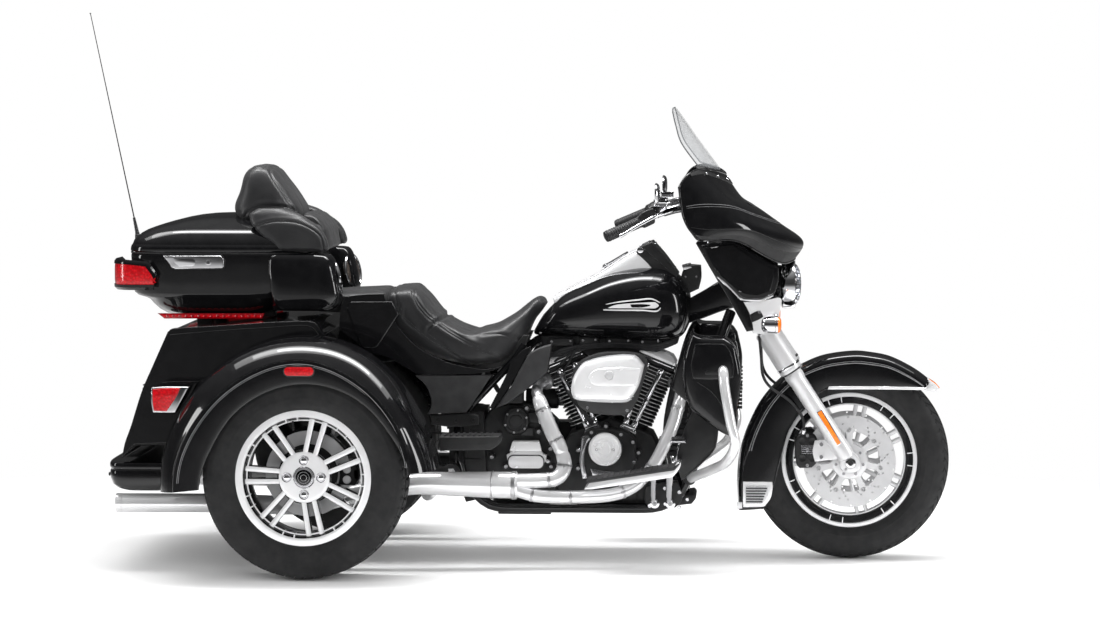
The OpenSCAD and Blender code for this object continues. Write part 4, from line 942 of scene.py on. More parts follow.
# plate bracket with its lamp and four bolts, bare
td.add(box(-590, -584, -95, 95, 445, 545, 3, 2), M["satin"])
td.add(box(-588, -556, -80, 80, 452, 538, 4, 2), M["satin"])
td.add(extr([(-594, 552), (-566, 560), (-548, 556), (-556, 546), (-590, 546)], -70, 70, 2.5, 2), M["chrome"])
for yy in (-73, 73):
    for zz in (460, 530):
        td.add(rev([(3.6, -1), (7, -1), (7, 1.5), (5.6, 3.5), (3.8, 3.5), (3.6, -6)], (-590.5, yy, zz), (-1, 0, 0), 16), M["chrome_soft"])
# handle at the top
td.add(extr([(-500, 668), (-488, 690), (-474, 690), (-484, 664)], -62, 62, 4, 3), M["chrome"])
for yy in (-240, 240):
    td.add(cyl((-606, yy - 30, 366), (-606, yy + 30, 366), 6, b=1), M["satin"])
    td.add(extr([(-610, 370), (-602, 362), (-580, 384), (-586, 398)], yy - 29, yy + 29, 1, 1), M["satin"])
td.done("trunk_door", ("trunk_door",), "gloss_black", weighted=True, angle=40)

# ------------------------------------------------------------------ rear bumper
rb = Part("rear_bumper_detail")
rings = [zring(-532, 60, 392, 246.5, 0.3, 96), zring(-532, 76, 402, 248.5, 0.3, 96), zring(-538, 92, 411, 255, 0.3, 96), zring(-540, 108, 416, 268, 0.3, 96), zring(-540, 114, 417.6, 286, 0.3, 96), zring(-540, 115.2, 418, 303, 0.3, 96),
    zring(-540, 114.0, 417, 309, 0.3, 96), zring(-540, 111.5, 414.5, 311, 0.3, 96), zring(-540, 111.5, 414.5, 315, 0.3, 96), zring(-540, 114, 417, 317, 0.3, 96), zring(-540, 115.5, 418, 322, 0.3, 96), zring(-540, 115.5, 418, 331, 0.3, 96),
    zring(-540, 113, 416, 335.5, 0.3, 96), zring(-540, 108, 411, 337.5, 0.3, 96), zring(-540, 90, 395, 338, 0.3, 96)]
rb.add(loft(rings), M["gloss"])
# a ribbed step pad and lower valance bolts
for i in range(5):
    rb.add(box(-618 + i * 9, -613 + i * 9, -250, 250, 337.5, 340, 1, 1), M["plastic"])
for yy in (-330, -110, 110, 330):
    rb.add(bolt((-653.5, yy, 292), (-1, 0, 0), 6, 4), M["satin"])
rb.done("chassis", ("rear_bumper",), "gloss_black", angle=40)

# ------------------------------------------------------------------ lamps of the rear
tl = Part("tail_lamps_detail")
for s in (1,):
    # wrap-round lamps on the corners of the top box: housing and lens
    path = [(-640, 118), (-641, 180), (-640, 232), (-628, 268), (-604, 290), (-570, 297), (-540, 299), (-514, 300)]
    p2 = crv([(x, y, 0) for x, y in path], 6)
    rows = []
    n = len(p2)
    T = np.gradient(p2, axis=0)
    T /= np.linalg.norm(T, axis=1, keepdims=True)
    Nn = np.stack([-T[:, 1], T[:, 0], np.zeros(n)], 1)
    for i, q in enumerate(p2):
        fr = i / (n - 1)
        ztop = 953 - 10 * max(0, (fr - 0.55) / 0.45)
        zbot = 889 + 2 * fr
        if fr > 0.86:
            ztop -= (fr - 0.86) / 0.14 * 36
        o = Nn[i] * 2.2
        rows.append([(q[0], q[1], zbot), (q[0] + o[0] * 0.7, q[1] + o[1] * 0.7, zbot + 5), (q[0] + o[0], q[1] + o[1], zbot + 14), (q[0] + o[0], q[1] + o[1], ztop - 14), (q[0] + o[0] * 0.7, q[1] + o[1] * 0.7, ztop - 4), (q[0], q[1], ztop)])
    tl.add(shell(rows, -9), M["red"], True)
    hrows = [[(r[0][0] - Nn[i][0] * 3, r[0][1] - Nn[i][1] * 3, r[0][2] - 6), (r[0][0] - Nn[i][0] * 1, r[0][1] - Nn[i][1] * 1, r[0][2] - 5), (r[0][0] - Nn[i][0] * 1, r[0][1] - Nn[i][1] * 1, r[0][2] - 1)] for i, r in enumerate(rows)]
    tl.add(shell(hrows, -14), M["gloss"], True)
    hrows = [[(r[-1][0] - Nn[i][0] * 1, r[-1][1] - Nn[i][1] * 1, r[-1][2] + 1), (r[-1][0] - Nn[i][0] * 1, r[-1][1] - Nn[i][1] * 1, r[-1][2] + 4), (r[-1][0] - Nn[i][0] * 3, r[-1][1] - Nn[i][1] * 3, r[-1][2] + 6)] for i, r in enumerate(rows)]
    tl.add(shell(hrows, -14), M["gloss"], True)
    # strip of small lamps under the top box
    tl.add(extr([(-513, 795), (-172, 796), (-180, 780), (-491, 778)], 236, 247, 2, 2), M["red_dark"], True)
    for i in range(16):
        x = -496 + i * 20
        tl.add(box(x, x + 13, 244, 250, 782.5, 791.5, 2, 1), M["red"], True)
    # fender lamps: lens, chrome bezel and a chrome insert
    lamp = pin([(-470, 585, 0), (-438, 588), (-384, 590, 0), (-398, 560), (-428, 516, 0), (-467, 518, 0), (-471, 550)], 4)
    bez = pin([(-474, 589, 0), (-438, 592), (-358, 592, 0), (-372, 566), (-402, 512, 0), (-470, 513, 0), (-476, 550)], 4)
    tl.add(extr(bez, 434, 594, 3, 3), M["chrome"], True)
    tl.add(extr(lamp, 430, 600, 4, 3), M["red"], True)
    tl.add(extr([(-430, 545), (-384, 588), (-360, 590), (-404, 516)], 440, 590, 2, 2), M["chrome_soft"], True)
    # side markers with a thin dark surround
    tl.add(extr([(x - 5, z + 650) for x, z in lozenge(98, 34, 16.9, 8)], 691, 694.6, 0.8, 2), M["satin"], True)
    tl.add(extr([(x - 5, z + 650) for x, z in lozenge(90, 27, 13.4, 8)], 691, 697.0, 2.2, 3), M["red"], True)
tl.done("chassis", ("tail_lamps",), "red_lens", angle=35)

# ------------------------------------------------------------------ top box
def sx(x, a, b, z, e=0.35, n=112):
    return zring(x, a, b, z, e, n)
bx = Part("top_box_base_detail")
bx.add(loft([sx(-338, 150, 200, 789, 0.42), sx(-332, 172, 224, 793, 0.42), sx(-328, 196, 246, 806, 0.40), sx(-325, 216, 262, 824, 0.38), sx(-325, 226, 270, 838, 0.36), sx(-325, 238, 275, 845, 0.34),
    sx(-325, 262, 280, 852, 0.33), sx(-325, 274, 282, 862, 0.33), sx(-325, 281, 284.5, 900, 0.33), sx(-325, 283, 285.5, 950, 0.33), sx(-325, 284.5, 286, 975, 0.33), sx(-325, 284, 285.6, 981, 0.33), sx(-325, 282, 284, 984, 0.33), sx(-325, 276, 278, 985.5, 0.33)], False), M["gloss"])
# inside: a moulded liner with a floor
bx.add(loft([sx(-325, 276, 278, 985.5, 0.33), sx(-325, 272, 275, 980, 0.34), sx(-325, 270, 273, 950, 0.35), sx(-325, 238, 266, 870, 0.36), sx(-326, 226, 258, 860, 0.4), sx(-326, 150, 180, 857, 0.5), sx(-326, 30, 40, 857, 0.6)]), M["plastic"])
bx.add(loft([sx(-338, 150, 200, 789, 0.42), sx(-338, 60, 80, 788.4, 0.5)]), M["satin"])
# groove line round the middle, and the seal at the mouth
bx.add(loft([sx(-325, 284.6, 286.2, 985, 0.33), sx(-325, 285.6, 287, 987.5, 0.33), sx(-325, 284.6, 286.2, 990, 0.33), sx(-325, 281, 283, 989.5, 0.33), sx(-325, 281, 283, 986, 0.33)], False), M["grip"])
for sgn in (1, -1):
    bx.add(box(-400, -350, sgn * 110 if sgn > 0 else -170, 170 if sgn > 0 else -110, 760, 796, 4, 2), M["satin"])
    bx.add(box(-210, -150, sgn * 110 if sgn > 0 else -170, 170 if sgn > 0 else -110, 781, 798, 3, 2), M["satin"])
# hinges on the left
for x in (-500, -260):
    bx.add(cyl((x, 318, 992), (x + 50, 318, 992), 6, b=1), M["chrome"])
    bx.add(box(x, x + 50, 283, 318, 970, 977, 2, 2), M["chrome"])
    bx.add(box(x, x + 50, 311, 317, 970, 990, 2, 2), M["chrome"])
# latch plate, bare, with its key lock
bx.add(extr(pin([(-489, 983, 0), (-300, 984, 0), (-289, 968), (-289, 946), (-296, 938, 0), (-447, 936, 0), (-462, 942), (-470, 956)], 4), -291, -284, 2, 2), M["satin"])
bx.add(extr(pin([(-486, 980, 0), (-303, 981, 0), (-293, 967), (-293, 947), (-298, 941, 0), (-446, 939, 0), (-459, 945), (-467, 958)], 4), -299, -288, 3, 3), M["chrome_soft"])
bx.add(extr(pin([(-452, 973, 0), (-392, 974, 0), (-384, 966), (-384, 954), (-392, 948, 0), (-436, 947, 0), (-448, 958)], 4), -300.5, -297, 1.5, 2), M["chrome"])
bx.add(rev([(9.5, 0), (9.5, 2.5), (7.5, 3.4), (6.4, 3.2), (6.2, 1.6), (0, 1.6)], (-342, -298.5, 961), (0, -1, 0), 28), M["chrome"])
# the key slot is not cut: this near-black bar on the lock face is painted shade for the keyway
bx.add(box(-343, -341, -300.6, -299.6, 956, 966, 0.4, 1), M["deep"])
# luggage bracket for the aerial at the back
bx.add(box(-664, -602, 180, 220, 971, 978, 2, 2), M["satin"])
bx.done("chassis", ("top_box_base",), "gloss_black", angle=38)

ld = Part("top_box_lid_detail")
lid = [(991, -325, 284, 285.4, 0.33), (994, -325, 286, 287, 0.33), (1003, -324.6, 285.6, 286.8, 0.33), (1010, -324, 284, 285.5, 0.33), (1013, -324, 281, 283, 0.33), (1016, -323.5, 280.4, 282.2, 0.33), (1026, -322, 278.6, 279.5, 0.34), (1036, -318.6, 273, 273.2, 0.35),
    (1048, -315, 263, 265, 0.36), (1058, -311, 249, 254, 0.37), (1066, -307.5, 232, 241, 0.38), (1074, -303.5, 212, 225, 0.40), (1083, -299, 186, 200, 0.42), (1091, -295, 158, 172, 0.45), (1098, -292, 124, 140, 0.5), (1103, -290, 84, 98, 0.6), (1105.6, -290, 44, 52, 0.8)]
ld.add(loft([sx(x, a, b, z, e) for z, x, a, b, e in lid]), M["gloss"])
ld.add(loft([sx(-325, 284, 285.4, 991, 0.33), sx(-325, 277, 278, 991, 0.33), sx(-324, 272, 273, 1010, 0.34), sx(-318, 252, 256, 1040, 0.36), sx(-305, 205, 220, 1066, 0.42), sx(-292, 130, 150, 1086, 0.5), sx(-290, 40, 50, 1094, 0.7)]), M["plastic"])
for x in (-445, -205):
    ld.add(cyl((x, 318, 992), (x + 50, 318, 992), 6, b=1), M["chrome"])
    ld.add(box(x, x + 50, 284, 318, 1004, 1010, 2, 2), M["chrome"])
    ld.add(box(x, x + 50, 312, 318, 994, 1008, 2, 2), M["chrome"])
ld.done("top_box_lid", ("top_box_lid",), "gloss_black", angle=38)

# ------------------------------------------------------------------ loudspeaker pods and the panel between them
sp = Part("speaker_pods_detail")
def pod_ring(z, k, sh_, shr=0.0):
    pts = [(-139, 290, 0), (-60, 290, 0), (-36, 289, 0), (-34, 240), (-33, 200, 0), (-10, 193), (22, 189), (52, 191), (70, 202), (79, 240), (75, 278), (60, 302), (30, 318), (-20, 325), (-90, 325), (-128, 322), (-140, 312, 0)]
    o = pin(pts, 3)
    out = []
    for x, y in o:
        if y < 291 and x < 0 and x < -30:
            out.append((x + shr, y, z))
        else:
            out.append((-30 + (x + 30) * k + sh_, 260 + (y - 260) * k, z))
    return out
zs = [(808, 0.64), (811, 0.74), (818, 0.84), (830, 0.92), (846, 0.975), (862, 1.0), (900, 0.995), (930, 0.98), (952, 0.955), (968, 0.92), (978, 0.875), (983.5, 0.82), (985, 0.74)]
sp.add(loft([pod_ring(z, k, -max(0, (z - 860)) * 0.16) for z, k in zs]), M["gloss"], True)
# grilles facing forward and inward, each in a chrome ring
c0, d0 = np.array((54.0, 226.0, 905.0)), np.array((0.93, -0.30, 0.17))
sp.add(rev([(50, -6), (59, -2), (61, 3), (58.5, 6.5), (54, 6.5), (51.5, 2), (50, -6)], c0, d0, 56), M["chrome"], True)
sp.add(rev([(52, -8), (52, 1.5), (46, 4.5), (30, 7.5), (12, 8.6), (0, 8.8)], c0, d0, 56), M["grille"], True)
# centre panel: padded map pocket and buttons
sp.add(box(-36, -18, -186, 186, 874, 984, 5, 3), M["plastic"])
sp.add(box(-20, -13, -150, 150, 884, 972, 3, 2), M["satin"])
for i in range(4):
    sp.add(box(-16, -11.5, -70 + i * 38, -46 + i * 38, 946, 962, 1.5, 2), M["plastic"])
sp.done("chassis", ("speaker_pods",), "gloss_black", angle=38)

# ------------------------------------------------------------------ aerial
an = Part("antenna_detail")
an.add(rev([(0, 0), (13, 0), (13, 3), (10.5, 6), (9.2, 8), (9, 20), (9.8, 22), (9.8, 27), (9, 29), (9, 46), (7.4, 48), (0, 48)], (-653, 200, 978), (0, 0, 1), 20), M["plastic"])
dv = Vector((-12, 0, 58)).normalized()
an.add(rev([(7.2, 0), (7.2, 8), (6.4, 10)] + [q for i in range(9) for q in ((6.9 - i * 0.22, 11 + i * 5), (5.6 - i * 0.22, 13 + i * 5), (6.7 - i * 0.22, 15 + i * 5))] + [(4.2, 58), (0, 60)], (-653, 200, 1023), dv, 14), M["grip"])
an.add(tube([(-664, 200, 1078), (-700, 200, 1250), (-752, 200, 1500), (-804, 200, 1751)], [2.2, 1.9, 1.6, 1.3], 8, 6), M["satin"])
an.add(rev([(0, -2), (2.6, -1.4), (2.9, 0), (2.4, 1.3), (0, 2)], (-804, 200, 1750.5), (0, 0, 1), 12), M["satin"])
an.done("chassis", ("antenna",), "satin_black", angle=35)

# ------------------------------------------------------------------ axle, swinging arms, belt: seen from below and behind
ra = Part("rear_axle_detail")
for s in (1, -1):
    ra.add(rev([(0, 60), (44, 60), (46, 66), (38, 84), (38, 200), (41, 204), (41, 216), (38, 220), (38, 440), (48, 446), (52, 456), (52, 470), (23, 478), (23, 500)] , (0, 0, RZ), (0, s, 0), 40), M["satin"])
    ra.add(tube([(8, s * 190, 318), (140, s * 184, 306), (280, s * 172, 292), (400, s * 165, 286)], [27, 26, 25, 25], 20, 6, round_ends=1), M["satin"])
    ra.add(rev([(0, -18), (30, -18), (31, -15), (31, 15), (30, 18), (0, 18)], (414, s * 165, 285), (0, 1, 0), 32), M["satin"])
    ra.add(bolt((414, s * 184, 285), (0, s, 0), 12, 8, socket=False), M["steel"])
    y0, y1 = (466, 480) if s > 0 else (-480, -466)
    ra.add(extr([(0, 290), (92, 282), (150, 282), (162, 318), (150, 354), (92, 354), (0, 346)], y0, y1, 3, 2), M["satin"])
    for ya, yb in ((480, 505), (512, 534)):
        a_, b_ = (ya, yb) if s > 0 else (-yb, -ya)
        ra.add(extr(pin([(94, 286, 0), (146, 284, 0), (158, 302), (161, 318), (158, 334), (146, 352, 0), (94, 350, 0), (100, 318)], 4), a_, b_, 4, 3), M["cast"])
    ra.add(box(140, 160, min(s * 480, s * 534), max(s * 480, s * 534), 300, 336, 4, 2), M["cast"])
    for z in (302, 334):
        ra.add(rev([(13, 0), (13, 3), (11, 5), (0, 5)], (122, s * 533, z), (0, s, 0), 20), M["silver"])
    # hose from the caliper
    ra.add(tube([(120, s * 500, 350), (110, s * 480, 392), (60, s * 420, 430), (20, s * 330, 440), (10, s * 220, 420), (60, s * 140, 400)], 4, 8, 6), M["grip"])
ra.add(rev([(0, -84), (60, -84), (84, -70), (94, -44), (94, 44), (84, 70), (60, 84), (0, 84)], (0, 0, RZ), (0, 1, 0), 56), M["cast"])
for i in range(8):
    a = i * 45 + 22.5
    ra.add(bolt((86 * cos(rad(a)), 66, RZ + 86 * sin(rad(a))), (0, 1, 0), 6, 5, socket=False), M["steel"])
# toothed belt over its two pulleys
def belt_path(r1, r2, n=40):
    a0 = math.asin((r1 - r2) / 575.2) if r1 != r2 else 0
    tilt = math.atan2(12, 575)
    out = []
    for t in np.linspace(pi / 2 + tilt - 0 + a0 * 0 + 0.07, 3 * pi / 2 + tilt - 0.07, n):
        out.append((r1 * cos(t), RZ + r1 * sin(t)))
    for t in np.linspace(-pi / 2 + tilt - 0.07, pi / 2 + tilt + 0.07, n // 2):
        out.append((575 + r2 * cos(t), 330 + r2 * sin(t)))
    return out
o1, o2 = belt_path(88, 46), belt_path(84, 42)
v, f = [], []
m_ = len(o1)
for (x, z) in o1:
    v += [(x, 84, z), (x, 106, z)]
for (x, z) in o2:
    v += [(x, 84, z), (x, 106, z)]
for i in range(m_):
    j = (i + 1) % m_
    f += [(2 * i, 2 * j, 2 * j + 1, 2 * i + 1), (2 * m_ + 2 * i, 2 * m_ + 2 * i + 1, 2 * m_ + 2 * j + 1, 2 * m_ + 2 * j),
          (2 * i, 2 * m_ + 2 * i, 2 * m_ + 2 * j, 2 * j), (2 * i + 1, 2 * j + 1, 2 * m_ + 2 * j + 1, 2 * m_ + 2 * i + 1)]
ra.add((v, f), M["grip"])
ra.add(rev([(46, 84), (83, 84), (86, 82), (86, 84), (83.5, 86), (83.5, 104), (86, 106), (83, 108), (58, 108), (46, 100)], (0, 0, RZ), (0, 1, 0), 64), M["cast"])
ra.add(rev([(12, 80), (41, 80), (44, 79), (44, 81), (41.5, 83), (41.5, 101), (44, 103), (40, 104), (12, 104)], (575, 0, 330), (0, 1, 0), 40), M["steel"])
ra.done("chassis", ("rear_axle",), "satin_black", angle=35)
# ------------------------------------------------------------------ soft goods: seat, backrest, arm pads
def param_rings(rows, k, n, kind):
    p = crv(rows, k)
    out = []
    for q in p:
        if kind == "x":
            out.append(xsec(q[0], q[1], q[2], q[3], q[4], q[5], n))
        else:
            out.append(zring(q[0], q[1], q[2], q[3], q[4], n, q[5] if len(q) > 5 else 0))
    return np.array(out)

def round_ends(rings, a=True, b=True, depth=0.35):
    """Adds shrinking rings at the ends so that a pad closes in a crown."""
    g = list(rings)
    def cap(r0, r1, flip):
        c0 = r0.mean(0)
        d = r0.mean(0) - r1.mean(0)
        d = d / max(np.linalg.norm(d), 1e-9)
        rad_ = np.linalg.norm(r0 - c0, axis=1).mean() * depth
        rows = []
        for t in (0.22, 0.42, 0.6, 0.76, 0.89, 0.97):
            s = math.sqrt(max(0.0, 1 - t * t))
            rows.append(c0 + (r0 - c0) * (0.12 + 0.88 * s) + d * rad_ * t * 0.55)
        return rows[::-1] if flip else rows
    if a:
        g = cap(g[0], g[1], True) + g
    if b:
        g = g + cap(g[-1], g[-2], False)
    return np.array(g)

def normals_of(g):
    du = np.gradient(g, axis=0)
    dv = (np.roll(g, -1, 1) - np.roll(g, 1, 1)) / 2
    n = np.cross(du, dv)
    return n / np.maximum(np.linalg.norm(n, axis=2, keepdims=True), 1e-9)

def poly_dist(px, pz, line):
    line = np.asarray(line, float)
    best = np.full(px.shape, 1e9)
    for a, b in zip(line[:-1], line[1:]):
        d = b - a
        L = max(d @ d, 1e-9)
        t = np.clip(((px - a[0]) * d[0] + (pz - a[1]) * d[1]) / L, 0, 1)
        best = np.minimum(best, np.hypot(px - a[0] - t * d[0], pz - a[1] - t * d[1]))
    return best

def outward(g):
    n = normals_of(g)
    c = g.mean((0, 1))
    s = np.sign(((g - g.mean(1, keepdims=True)) * n).sum())
    return n * (s if s else 1)

def sew(g, seams, depth=2.6, width=2.4, puff=1.3, where=None):
    """Sinks sewn lines, given in X, Z, into a pad's sides and lifts the leather beside them."""
    n = outward(g)
    off = np.zeros(g.shape[:2])
    for line in seams:
        d = poly_dist(g[:, :, 0], g[:, :, 2], crv(line, 6))
        off += -depth * np.exp(-(d / width) ** 2) + puff * np.exp(-((d - 9) / 6.0) ** 2)
    if where is not None:
        off *= where(g)
    return g + n * off[:, :, None]

def wrinkle(g, amp, scale, seed=0.0):
    """Slow, shallow hollows in the leather, the same on every run."""
    n = outward(g)
    x, y, z = g[:, :, 0] / scale, g[:, :, 1] / scale, g[:, :, 2] / scale
    w = np.sin(x * 2.1 + 1.3 * np.sin(y * 1.7 + seed)) * np.sin(z * 1.9 + 0.9 * np.sin(x * 1.3 + y) + seed) + 0.5 * np.sin(y * 3.1 + z * 2.3 + seed)
    return g + n * (amp * w)[:, :, None]

def closed(g):
    return loft(g)

def inflate(g, cap=5.0, frames=20, step=9.0, pressure=4.0):
    """Swells a pad as stuffed cloth: a coarse copy is simulated, its moves are capped and laid on the fine grid."""
    m, n = g.shape[:2]
    lu = np.linalg.norm(np.diff(g, axis=0), axis=2).sum(0).mean()
    lv = np.linalg.norm(np.roll(g, -1, 1) - g, axis=2).sum(1).max()
    iu = np.unique(np.round(np.linspace(0, m - 1, max(8, int(lu / step)))).astype(int))
    iv = np.unique(np.round(np.linspace(0, n, max(16, int(lv / step)), endpoint=False)).astype(int))
    c = g[iu][:, iv]
    v, f = loft(c)
    me = bpy.data.meshes.new("pad_cloth")
    me.from_pydata((A(v) / 1000.0).tolist(), [], f)
    ob = bpy.data.objects.new("pad_cloth", me)
    scene.collection.objects.link(ob)
    bm = bmesh.new()
    bm.from_mesh(me)
    bmesh.ops.recalc_face_normals(bm, faces=bm.faces)
    bm.to_mesh(me)
    bm.free()
    cl = ob.modifiers.new("cloth", "CLOTH")
    cs = cl.settings
    cs.use_pressure = True
    cs.uniform_pressure_force = pressure
    cs.effector_weights.gravity = 0
    cs.tension_stiffness = cs.compression_stiffness = 15
    cs.bending_stiffness = 1.5
    cs.quality = 6
    cl.collision_settings.use_collision = False
    cl.point_cache.frame_start, cl.point_cache.frame_end = 1, frames
    for fr in range(1, frames + 1):
        scene.frame_set(fr)
    ev = ob.evaluated_get(bpy.context.evaluated_depsgraph_get())
    k = len(iu) * len(iv)
    w = np.array([q.co[:] for q in ev.data.vertices][:k]) * 1000.0
    d = (w - c.reshape(-1, 3)).reshape(len(iu), len(iv), 3)
    bpy.data.objects.remove(ob)
    bpy.data.meshes.remove(me)
    scene.frame_set(1)
    d -= d.mean((0, 1))
    L = np.linalg.norm(d, axis=2, keepdims=True)
    big = float(L.max())
    d = d / (1.0 + L / cap)
    print("PAD_CLOTH", len(iu), len(iv), "largest move mm", round(big, 2), "kept", round(float(np.linalg.norm(d, axis=2).max()), 2), "middle", round(float(np.median(np.linalg.norm(d, axis=2))), 2))
    dv = np.stack([np.stack([np.interp(np.arange(n), np.append(iv, n), np.append(r[:, a], r[0, a])) for a in range(3)], 1) for r in d])
    du_ = np.stack([np.stack([np.interp(np.arange(m), iu, dv[:, j, a]) for a in range(3)], 1) for j in range(n)], 1)
    return g + du_

def stitches(part, g, line, material, side=0.5, gap=6.0, shift=4.5):
    """Two rows of short threads beside a seam, laid on the pad."""
    n = outward(g)
    P, Nn = g.reshape(-1, 3), n.reshape(-1, 3)
    c = crv(line, 10)
    s = np.concatenate([[0], np.cumsum(np.linalg.norm(np.diff(c, axis=0), axis=1))])
    prims = []
    for sgn in (1, -1):
        cand = np.where(P[:, 1] * sgn > 60)[0]
        Q, QN = P[cand], Nn[cand]
        if not len(cand):
            continue
        for row in (-shift, shift):
            t = 3.0
            while t < s[-1] - 3:
                x, z = np.interp(t, s, c[:, 0]), np.interp(t, s, c[:, 1])
                x2, z2 = np.interp(t + 1, s, c[:, 0]), np.interp(t + 1, s, c[:, 1])
                d = np.array([x2 - x, z2 - z])
                d /= max(np.linalg.norm(d), 1e-9)
                x, z = x - d[1] * row, z + d[0] * row
                i = np.argmin((Q[:, 0] - x) ** 2 + (Q[:, 2] - z) ** 2)
                if (Q[i, 0] - x) ** 2 + (Q[i, 2] - z) ** 2 < 16:
                    q, m = Q[i], QN[i]
                    e = np.array([d[0], 0, d[1]])
                    e = e - (e @ m) * m
                    e /= max(np.linalg.norm(e), 1e-9)
                    w = np.cross(m, e)
                    a, b = q - e * 1.9 + m * 0.05, q + e * 1.9 + m * 0.05
                    top = q + m * 0.75
                    v = [a - w * 0.35, a + w * 0.35, b + w * 0.35, b - w * 0.35, top - e * 0.9, top + e * 0.9]
                    prims.append((v, [(0, 1, 4), (1, 2, 5, 4), (2, 3, 5), (3, 0, 4, 5)]))
                t += gap
    if prims:
        part.add(join(*prims), material)

M["thread"] = surface_mat("grey_thread", (0.045, 0.045, 0.047), (0.07, 0.07, 0.072), 0.5, 0.6, scale=200)

# rider's seat with its rolled back
SEAT = [(214, 792, 216, 852, 156, .55), (217, 780, 222, 866, 168, .48), (232, 752, 258, 875, 172, .46), (252, 722, 290, 873, 174, .46), (274, 700, 321, 848, 175, .48), (305, 676, 356, 804, 177, .5),
    (345, 654, 386, 771, 180, .5), (410, 634, 436, 745, 183, .5), (480, 623, 485, 734, 181, .5), (540, 624, 538, 744, 168, .5), (590, 636, 596, 772, 141, .52), (622, 660, 646, 811, 110, .58),
    (642, 700, 679, 838, 84, .65), (655, 736, 700, 836, 64, .72), (668, 766, 709, 822, 46, .8)]
g = param_rings(SEAT, 14, 168, "x")
g = round_ends(g)
g = inflate(g, 5.0, pressure=0.6)
seamA = [(288, 862), (290, 850), (294, 843), (309, 814), (338, 780), (367, 758), (411, 730), (460, 703), (523, 674), (596, 640)]
seamA2 = [(295, 862), (300, 843), (316, 817), (344, 785), (372, 764), (415, 736), (463, 709), (526, 680), (600, 645)]
seamB = [(231, 872), (238, 845), (250, 809), (279, 762), (338, 722), (411, 673), (484, 626)]
seamC = [(510, 726), (560, 727), (599, 720), (643, 696)]
pleat = [(340, 744), (356, 758), (372, 770), (400, 782)]
side = lambda q: np.clip((np.abs(q[:, :, 1]) - 55) / 40, 0, 1)
g = sew(g, [seamA, seamA2], 2.4, 2.0, 1.2)
g = sew(g, [seamB], 2.6, 2.2, 1.2, side)
g = sew(g, [seamC], 2.2, 2.2, 1.2, side)
g = sew(g, [pleat], 7.0, 7.0, 2.0)
# the dished middle, and soft hollows in the leather
top = np.clip((g[:, :, 2] - 700) / 60, 0, 1) * np.exp(-(g[:, :, 1] / 95) ** 2)
lo = np.exp(-((g[:, :, 0] - 470) / 90) ** 2)
g[:, :, 2] -= 5 * top * lo
g = wrinkle(g, 0.7, 38, 0.4)
rs = Part("rider_seat_leather")
rs.add(closed(g), M["leather"])
stitches(rs, g, seamA[2:], M["thread"], shift=5.5)
stitches(rs, g, seamB[1:], M["thread"], shift=4.0)
# flat mounting pan under the leather
rs.add(extr([(330, 640), (470, 612), (560, 616), (630, 652), (660, 720), (640, 722), (600, 665), (480, 632), (350, 655)], -120, 120, 3, 2), M["plastic"])
seat_ob = rs.done("chassis", ("seat",), "leather", angle=60)

# pillion seat, up to the top box
PIL = [(-38, 806, -40, 838, 132, .5), (-34, 800, -36, 846, 150, .48), (-22, 796, -22, 850, 164, .46), (10, 794, 10, 853, 170, .45), (74, 792, 74, 859, 172, .44), (140, 786, 140, 863, 172, .44),
    (190, 780, 186, 865, 171, .44), (206, 776, 201, 864, 168, .46), (210, 778, 206, 858, 160, .5)]
g = param_rings(PIL, 12, 150, "x")
g = round_ends(g, depth=0.16)
g = inflate(g, 5.0, pressure=0.8)
g = sew(g, [[(-60, 838), (20, 842), (100, 845), (196, 848)]], 1.6, 1.8, 0.9, side)
g = wrinkle(g, 0.6, 45, 2.1)
pl = Part("pillion_seat_leather")
pl.add(closed(g), M["leather"])
stitches(pl, g, [(-30, 838), (20, 842), (100, 845), (196, 848)], M["thread"], shift=3.6)
pil_ob = pl.done("chassis", (), "leather", angle=60)

# backrest: main pad, wings that wrap round as armrests, and the low front pad
def zpad(rows, k, n):
    g = param_rings(rows, k, n, "z")
    return g

bk = zpad([(-168, 84, 160, 1082, .5, 0), (-174, 102, 171, 1096, .5, 0), (-177, 108, 176, 1112, .5, 0), (-182, 103, 178, 1138, .5, 0), (-190, 80, 173, 1182, .52, 0), (-199, 60, 163, 1222, .55, 0), (-202, 44, 152, 1244, .6, 0), (-204, 26, 136, 1256, .7, 0)], 9, 150)
bk = round_ends(bk, False, True, 0.10)
bk = inflate(bk, 5.0, pressure=1.6)
faceline = [(-172, 1270), (-169, 1250), (-151, 1214), (-109, 1153), (-86, 1112), (-80, 1090)]
bk = sew(bk, [faceline], 3.0, 2.6, 1.6)
bk = sew(bk, [[(-246, 1098), (-227, 1119), (-196, 1133), (-160, 1135), (-111, 1130), (-84, 1118)]], 2.6, 2.4, 1.5, lambda q: np.clip((np.abs(q[:, :, 1]) - 90) / 40, 0, 1))
# sewn channels across the face of the pad
fr = np.clip((bk[:, :, 0] + 176 + (bk[:, :, 2] - 1112) * 0.30) / 26, 0, 1)
nn = outward(bk)
ch = -2.4 * np.exp(-((np.abs(bk[:, :, 1]) - 62) / 3.2) ** 2) * fr
bk = bk + nn * ch[:, :, None]
bk = wrinkle(bk, 0.9, 40, 1.1)
br = Part("backrest_leather")
br.add(closed(bk), M["leather"])
stitches(br, bk, faceline[1:-1], M["thread"], shift=4.6)
wing = zpad([(-47, 74, 33, 996, .5, 248), (-52, 84, 36.5, 1003, .5, 248), (-56, 88, 37.5, 1014, .5, 248), (-78, 99, 38, 1043, .52, 247), (-99, 101, 38, 1069, .55, 245), (-122, 93, 36, 1090, .6, 241), (-140, 76, 33, 1112, .65, 236), (-150, 44, 27, 1127, .75, 231)], 9, 130)
wing = round_ends(wing, True, True, 0.08)
wing = inflate(wing, 5.0)
